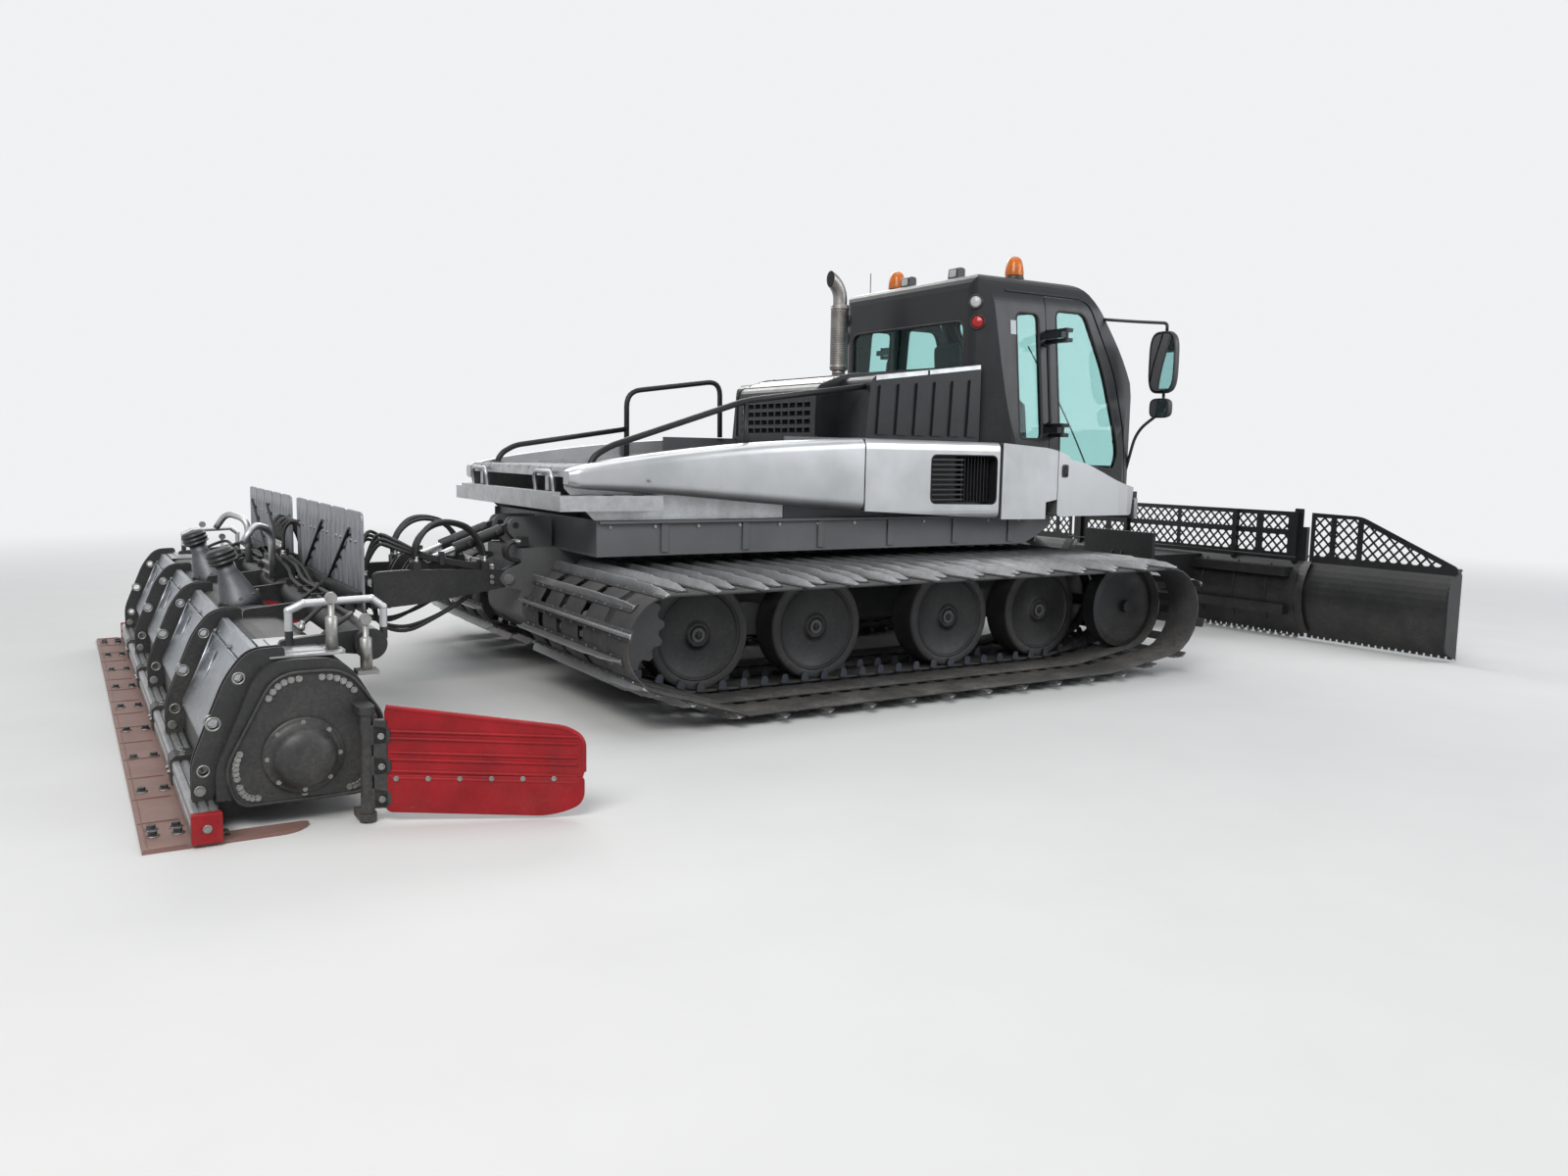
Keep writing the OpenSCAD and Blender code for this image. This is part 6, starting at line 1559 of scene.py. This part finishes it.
def tiller_top():
    """Hoses, blocks and guards on the tiller frame, adjuster cylinders and tube guards at both ends"""
    f, steel, hoses, tubes, plate, cast = Form(), Form(), Form(), Form(), Form(), Form()
    for s in SIDES:
        # Upright adjusters with feet
        for x, z0 in ((-3.86, 0.7), (-3.72, 0.6)):
            y = s * 2.58
            at = shift(x, y, z0)
            steel.lathe([(0.026, 0.0), (0.026, 0.14), (0.02, 0.145), (0.013, 0.15), (0.013, 0.21)], 20, at)
            steel.slab(outline([(-0.03, -0.012, 0.01), (0.03, -0.012, 0.01), (0.03, 0.012, 0.01),
                                (-0.03, 0.012, 0.01)], 3), 0.0, 0.012, "z", at)
            steel.lathe([(0.024, -0.016), (0.024, 0.016)], 20, at @ shift(0, 0, 0.225) @ turn(90, "X"))
            steel.box((x - 0.045, y - 0.045, z0 - 0.012), (x + 0.045, y + 0.045, z0 + 0.006))
        # Strip over the hood's end with a turned edge
        plate.slab([(-4.12, 0.692), (-3.86, 0.692), (-3.83, 0.7), (-3.83, 0.706), (-4.12, 0.7)],
                   *span(s, 2.14, 2.66), "y")
        plate.slab([(-4.08, 0.7), (-3.9, 0.7), (-3.9, 0.708), (-4.08, 0.708)], *span(s, 2.2, 2.6), "y")
        # Gear housing, boot and pale bend by the middle of each half
        at = shift(-3.99, s * 0.72, 0.685) @ turn(-19, "Y")
        cast.lathe([(0.112, -0.05), (0.112, 0.031), (0.0965, 0.051), (0.0635, 0.166), (0.052, 0.191), (0.052, 0.242),
                    (0.0, 0.244)], 48, at)
        f.lathe([(0.052, 0.238), (0.078, 0.249), (0.0715, 0.262), (0.078, 0.275), (0.0715, 0.288), (0.078, 0.301),
                 (0.0715, 0.315), (0.06, 0.326), (0.0, 0.333)], 32, at)
        for k in range(8):
            a = TAU * k / 8
            steel.bolt(tuple(at @ Vector((0.103 * math.cos(a), 0.103 * math.sin(a), 0.041))),
                       tuple(at.to_3x3() @ Vector((0, 0, 1))), 0.008, 0.006)
        bend = [(-3.79, s * 0.5, 0.8), (-3.79, s * 0.5, 1.08), (-3.9, s * 0.62, 1.12), (-3.96, s * 0.66, 1.02)]
        tubes.tube(rounded(bend, 0.07, 6), 0.02, 14)
        # Hoses along the tube and up over the shields' foot
        for k, (z, y1) in enumerate(((0.79, 2.3), (0.815, 1.75), (0.8, 1.2))):
            y0 = 0.34 + 0.05 * k
            x = -3.7 + 0.032 * k
            hose(hoses, [(x - 0.05, s * y0, 0.92), (x, s * (y0 + 0.12), z + 0.06), (x, s * (y0 + 0.4), z),
                         (x, s * (y1 - 0.3), z),
                         (x - 0.03, s * y1, z + 0.02), (x - 0.14, s * (y1 + 0.1), 0.76),
                         (x - 0.2, s * (y1 + 0.12), 0.71)], 0.0115)
            fitting(steel, (x - 0.2, s * (y1 + 0.12), 0.69), (0.25, 0, 1), 0.014, 0.045)
        for y in (0.55, 0.95, 1.35, 1.6):
            f.box((-3.73, s * y - 0.015, 0.765), (-3.6, s * y + 0.015, 0.8))
            steel.bolt((-3.665, s * y, 0.8), (0, 0, 1), 0.008, 0.006)
    # Valve block with its row of fittings
    f.box((-3.72, -0.12, 0.889), (-3.64, 0.12, 0.94))
    for y in (-0.16, -0.08, 0.0, 0.08, 0.16):
        steel.bolt((-3.7415, y, 0.84), (-1, 0, 0), 0.014, 0.012)
        steel.bolt((-3.7415, y, 0.78), (-1, 0, 0), 0.011, 0.01)
    for i in range(6):
        y = -0.17 + 0.068 * i
        top = 0.89 if abs(y) > 0.12 else 0.94
        fitting(steel, (-3.68, y, top), (0, 0, 1), 0.014, 0.045)
        hose(hoses, [(-3.68, y, top + 0.045), (-3.67, y, 1.06 + 0.02 * (i % 3)), (-3.61, y * 1.15, 1.11),
                     (-3.54, y * 1.2, 1.0), (-3.5, y, 0.82), (-3.47, y * 0.8, 0.74)], 0.0115)
    f.piece("tiller_blocks", "frame_black", "tiller", "black_paint", "", 0.002, 1)
    steel.piece("tiller_fittings", "steel", "tiller", "bare_aluminium")
    cast.piece("gear_castings", "casting", "tiller", "bare_aluminium")
    hoses.piece("tiller_hoses", "hose", "tiller", "rubber_belt")
    tubes.piece("tiller_tubes", "alu", "tiller", "bare_aluminium")
    plate.piece("tiller_strips", "alu", "tiller", "bare_aluminium", "", 0.001, 1)


def shields():
    """Ribbed snow shields with rolled edges, lower fins and cross braces"""
    f, g, b = Form(), Form(), Form()
    # A sheet's heights, with the share of the flutes' depth and the lean there
    heights = ((0.762, 0, 0), (0.772, 0, 0), (0.8, 0, 0), (0.815, 1, 0), (1.15, 1, 0), (1.17, 0.5, 0),
               (1.2, 0, -0.004), (1.235, 0, -0.007), (1.245, 0, -0.0085))
    n = 44
    grid = quads(len(heights), n + 1, across=False)
    for s in SIDES:
        for i in range(5):
            lo, hi = span(s, 0.12 + 0.36 * i, 0.46 + 0.36 * i)
            # Pressed sheet: flutes stand out toward the rear
            rows = []
            for k in range(n + 1):
                t = k / n
                d = max(max(0.0, 1 - ((t - c) / 0.07) ** 2) ** 0.5 for c in (0.17, 0.5, 0.83))
                rows.append((lo + (hi - lo) * t, d))
            for faces, off in ((grid, -3.576), (flipped(grid), -3.586)):
                f.add([(off - e * d * 0.011 + l * 0.4, y, z) for z, e, l in heights for y, d in rows], faces, True)
            # Rolled rim
            rim = outline([(lo, 0.762, 0.02), (hi, 0.762, 0.02), (hi, 1.245, 0.04), (lo, 1.245, 0.04)], 5)
            f.tube([(-3.5815, p[0], p[1]) for p in dense(rim, 0.06)], 0.0075, 8, None, True)
            for t in (0.335, 0.665):
                for z in (0.83, 1.1):
                    b.bolt((-3.5885, lo + (hi - lo) * t, z), (-1, 0, 0), 0.009, 0.006)
    f.piece("shield_sheets", "shield", "tiller", "bare_aluminium", "snow_shields")
    for s in SIDES:
        g.side_box(s, (-3.61, -3.59), (0.13, 1.88), (0.8, 0.86))
        for y in (0.3, 1.0, 1.7):
            g.slab([(-3.64, 0.742), (-3.59, 0.742), (-3.59, 0.83), (-3.615, 0.83)], *span(s, y, y + 0.04), "y")
        for y0, y1 in ((0.3, 1.0), (1.0, 1.7)):
            g.tube([(-3.603, s * (y0 + 0.05), 0.81), (-3.603, s * y1, 1.16)], 0.009, 8)
        # Narrow lower fin beside the swing joint
        g.slab([(-3.6, 0.76), (-3.585, 0.76), (-3.585, 0.9), (-3.6, 0.9)], *span(s, 0.02, 0.1), "y")
    g.piece("shield_frame", "frame_black", "tiller", "black_paint", "snow_shields", 0.0015, 1)
    b.piece("shield_bolts", "steel", "tiller", "bare_aluminium", "snow_shields")


def wing_panel(side):
    """Red side panel with its three double ribs, lower flap and black hinge frame"""
    name = SIDES[side]
    body = "side_r" if side < 0 else "side_l"
    at = shift(-3.78, side * 2.83, 0) @ turn(24 * side, "Z")
    f, low, g, b = Form(), Form(), Form(), Form()
    rows = [(0.075, 0.19, 0.01), (0.888, 0.165, 0.02), (0.899, 0.2, 0.03), (0.899, 0.379, 0.09), (0.075, 0.489, 0.02)]
    f.slab(outline(rows), -0.0125, 0.0125, "y", at)
    low.slab(outline([(0.075, 0.044, 0.03), (0.76, 0.0105, 0.16), (0.899, 0.06, 0.06), (0.899, 0.178, 0.02),
                      (0.075, 0.204, 0.01)]), -0.0175, -0.0045, "y", at)
    # Rolled top edge
    top = [(0.08, -0.002, 0.489), (0.82, -0.002, 0.391), (0.893, -0.002, 0.345), (0.893, -0.002, 0.2)]
    f.tube(rounded(top, 0.07, 6), 0.0135, 12, at)
    for z in (0.175, 0.255, 0.345):
        for dz in (0.0, 0.03):
            for y in (-1, 1):
                a = Vector((0.09, y * 0.0125, z + dz + 0.016))
                c = Vector((0.875, y * 0.0125, z + dz - 0.022))
                f.tube([a, a + (c - a) * 0.02, c - (c - a) * 0.02, c], [0.003, 0.0075, 0.0075, 0.003], 10, at)
    for k in range(6):
        x = 0.12 + 0.13 * k
        b.bolt(tuple(at @ Vector((x, -0.0175, 0.19 - 0.02 * x))), tuple(at.to_3x3() @ Vector((0, -1, 0))),
               0.008, 0.006)
    g.lathe([(0.014, 0.002), (0.015, 0.006), (0.015, 0.494), (0.014, 0.498)], 24, at)
    g.lathe([(0.028, 0.04), (0.028, 0.46)], 28, at)
    for z in (0.06, 0.2, 0.33):
        g.slab(outline([(0.0, z, 0.01), (0.1, z + 0.012, 0.02), (0.1, z + 0.075, 0.02), (0.0, z + 0.09, 0.01)], 4),
               -0.0178, 0.0178, "y", at)
    g.box((0.03, -0.0178, 0.062), (0.085, 0.0178, 0.438), at)
    for z in (0.1, 0.24, 0.37):
        for y in (-1, 1):
            b.bolt(tuple(at @ Vector((0.062, y * 0.0178, z))), tuple(at.to_3x3() @ Vector((0, y, 0))), 0.01, 0.007)
    mine = "side_wing_" + name
    f.piece("wing_sheet_" + name, "red", body, "red_plastic", mine, 0.003)
    low.piece("wing_flap_" + name, "red", body, "red_plastic", mine, 0.003)
    g.piece("wing_hinge_" + name, "frame_black", body, "black_paint", mine, 0.0015, 1)
    b.piece("wing_bolts_" + name, "steel", body, "bare_aluminium", mine)


# Hitch, push frame and undercarriage
def arm_bits():
    """Pins, plates, clamps and hoses of the rear arms, each hose held on one body"""
    arm_f, arm_s, arm_h = Form(), Form(), Form()
    for s in SIDES:
        for y in (s * 0.3 - 0.062, s * 0.3 + 0.062):
            arm_s.lathe([(0.034, -0.007), (0.034, 0.007)], 20, shift(-2.34, y, 0.72) @ turn(90, "X"))
        # Hoses clamped along each arm, arching over to the swing head
        for k in range(3):
            z = 0.055 + 0.026 * k
            y = s * 0.262
            path = [(-2.42, y, 0.735 + z * 0.6), (-2.6, y, 0.775 + z * 0.5), (-2.85, s * 0.25, 0.835 + z * 0.5),
                    (-3.02, s * (0.24 - 0.02 * k), 0.87 + z),
                    (-3.12, s * (0.2 - 0.03 * k), 0.9 + z), (-3.185, s * (0.15 - 0.03 * k), 0.84),
                    (-3.2, s * (0.14 - 0.03 * k), 0.76)]
            hose(arm_h, path, 0.0115)
            fitting(arm_s, (-3.2, s * (0.14 - 0.03 * k), 0.74), (0.1, 0, 1), 0.014, 0.05)
            fitting(arm_s, (-2.405, y, 0.732 + z * 0.6), (-1, 0, 0.2), 0.014, 0.045)
        # A bundle that arches above the arm, and two hoses that sag below it
        for k in range(4):
            y, up = s * (0.236 + 0.024 * k), 0.016 * (k % 2)
            hose(arm_h, [(-2.92, y, 0.845), (-2.925, y, 0.9), (-2.895, y, 0.99), (-2.82, y, 1.06 + up),
                         (-2.72, y, 1.085 + up), (-2.6, y, 1.055 + up),
                         (-2.52, y, 0.985), (-2.485, y, 0.9), (-2.48, y, 0.835)], 0.0125)
            for x, z in ((-2.92, 0.842), (-2.48, 0.832)):
                fitting(arm_s, (x, y, z), (0, 0, 1), 0.0145, 0.04)
        arm_f.side_box(s, (-2.945, -2.895), (0.22, 0.325), (0.79, 0.845))
        arm_f.side_box(s, (-2.505, -2.455), (0.22, 0.325), (0.775, 0.835))
        arm_f.side_box(s, (-2.495, -2.455), (0.205, 0.278), (0.7, 0.735))
        for k in range(2):
            y = s * (0.25 - 0.028 * k)
            hose(arm_h, [(-2.47, y, 0.72), (-2.52, y, 0.65), (-2.62, y, 0.575), (-2.78, y, 0.485),
                         (-2.95, y, 0.41 + 0.02 * k),
                         (-3.07, y, 0.42 + 0.02 * k), (-3.135, s * (0.2 - 0.03 * k), 0.47),
                         (-3.15, s * (0.17 - 0.03 * k), 0.565)], 0.0125)
            fitting(arm_s, (-3.15, s * (0.17 - 0.03 * k), 0.562), (0.1, 0, -1), 0.0145, 0.04)
        for x, z in ((-2.5, 0.79), (-2.75, 0.85)):
            arm_f.side_box(s, (x - 0.016, x + 0.016), (0.245, 0.28), (z - 0.03, z + 0.055))
        arm_f.slab(outline([(-3.21, 0.7, 0.01), (-3.19, 0.7, 0.01), (-3.19, 0.76, 0.01), (-3.21, 0.76, 0.01)], 3),
                   *span(s, 0.06, 0.17), "y")
        # Side plates welded on the arms
        side_plate = [(-2.46, 0.68, 0.03), (-2.28, 0.675, 0.03), (-2.28, 0.765, 0.03), (-2.46, 0.755, 0.03)]
        arm_f.slab(outline(side_plate, 4), *span(s, 0.324, 0.33), "y")
        for x, z in ((-2.44, 0.7), (-2.44, 0.735)):
            arm_s.bolt((x, s * 0.33, z), (0, s, 0), 0.01, 0.007)
    arm_f.piece("arm_plates", "frame_black", "arms", "black_paint", "", 0.0015, 1)
    arm_s.piece("arm_fittings", "steel", "arms", "bare_aluminium")
    arm_h.piece("arm_hoses", "hose", "arms", "rubber_belt")


def manifold_bits():
    """Manifold and fittings on the tub's rear wall, with hoses that turn back into the wall above the arms' pivot"""
    f, st, h = Form(), Form(), Form()
    for s in SIDES:
        f.side_box(s, (-2.245, -2.195), (0.24, 0.34), (0.93, 0.99))
        for k in range(4):
            y = s * (0.25 + 0.026 * k)
            fitting(st, (-2.243, y, 0.96), (-1, 0, 0), 0.013, 0.04)
            fitting(st, (-2.197, y, 0.835), (-1, 0, 0), 0.013, 0.045)
            hose(h, [(-2.275, y, 0.96), (-2.3, y, 0.957), (-2.33, y, 0.935), (-2.34, y, 0.9), (-2.33, y, 0.86),
                     (-2.3, y, 0.839),
                     (-2.27, y, 0.835), (-2.235, y, 0.835)], 0.011)
    f.piece("rear_manifolds", "frame_black", "root", "black_paint", "", 0.002, 1)
    st.piece("rear_fittings", "steel", "root", "bare_aluminium")
    h.piece("rear_hoses", "hose", "root", "rubber_belt")


def push_bits():
    """Pins, clamps and hoses of the push frame, gussets and bolts of the yoke"""
    p_f, p_s, p_h = Form(), Form(), Form()
    for s in SIDES:
        for y in (s * 0.3 - 0.062, s * 0.3 + 0.062):
            p_s.lathe([(0.034, -0.007), (0.034, 0.007)], 20, shift(2.23, y, 0.48) @ turn(90, "X"))
        for k in range(2):
            y = s * (0.262 - 0.028 * k)
            hose(p_h, [(2.34, y, 0.51), (2.6, y, 0.535), (2.9, y, 0.55), (3.2, y, 0.6),
                       (3.38, s * (0.23 - 0.03 * k), 0.625), (3.43, s * (0.2 - 0.03 * k), 0.61)], 0.011)
            fitting(p_s, (3.43, s * (0.2 - 0.03 * k), 0.6), (-0.4, 0, 0.5), 0.014, 0.045)
        for x, z in ((2.5, 0.525), (3.1, 0.585)):
            p_f.side_box(s, (x - 0.016, x + 0.016), (0.22, 0.28), (z - 0.035, z + 0.03))
    p_f.piece("push_clamps", "frame_black", "push", "black_paint", "", 0.0015, 1)
    p_s.piece("push_fittings", "steel", "push", "bare_aluminium")
    p_h.piece("push_hoses", "hose", "push", "rubber_belt")

    y_f, y_s = Form(), Form()
    for s in SIDES:
        for z in (0.47, 0.6, 0.73, 0.86):
            y_s.bolt((3.751, s * 0.38, z), (1, 0, 0), 0.014, 0.009)
            if z > 0.65:
                y_s.bolt((3.751, s * 0.2, z), (1, 0, 0), 0.014, 0.009)
        y_f.slab([(3.64, 0.545), (3.711, 0.545), (3.711, 0.72)], *span(s, 0.05, 0.065), "y")
    y_f.piece("yoke_gussets", "frame_black", "yoke", "black_paint", "", 0.001, 1)
    y_s.piece("yoke_bolts", "steel", "yoke", "bare_aluminium")


def ram_bits():
    """Rings and ports of the lift cylinders"""
    front, rear = Form(), Form()
    for s in SIDES:
        ram(front, (2.15, s * 0.18, 1.0), (2.9, s * 0.18, 0.62), 0.036, 0.48)
        ram(rear, (-2.24, s * 0.16, 1.06), (-2.88, s * 0.16, 0.82), 0.036, 0.42)
    front.piece("blade_ram_rings", "frame_black", "blade_barrel", "black_paint")
    rear.piece("tiller_ram_rings", "frame_black", "tiller_barrel", "black_paint")


def make(*makers):
    """Runs each maker for both sides"""
    for maker in makers:
        for side in SIDES:
            maker(side)


make(track, wheels, pod, seam_and_trim)
chassis_bits()
hood_bits()
cover_edge_highlights()
exhaust_bits()
rails()
deck_bits()
make(seals)
front_bits()
lamps()
roof_bits()
make(mirrors)
seats()
blade_bits()
tiller_deck()
tiller_beam()
mats()
finisher_arms()
tiller_top()
shields()
make(wing_panel)
arm_bits()
manifold_bits()
push_bits()
ram_bits()
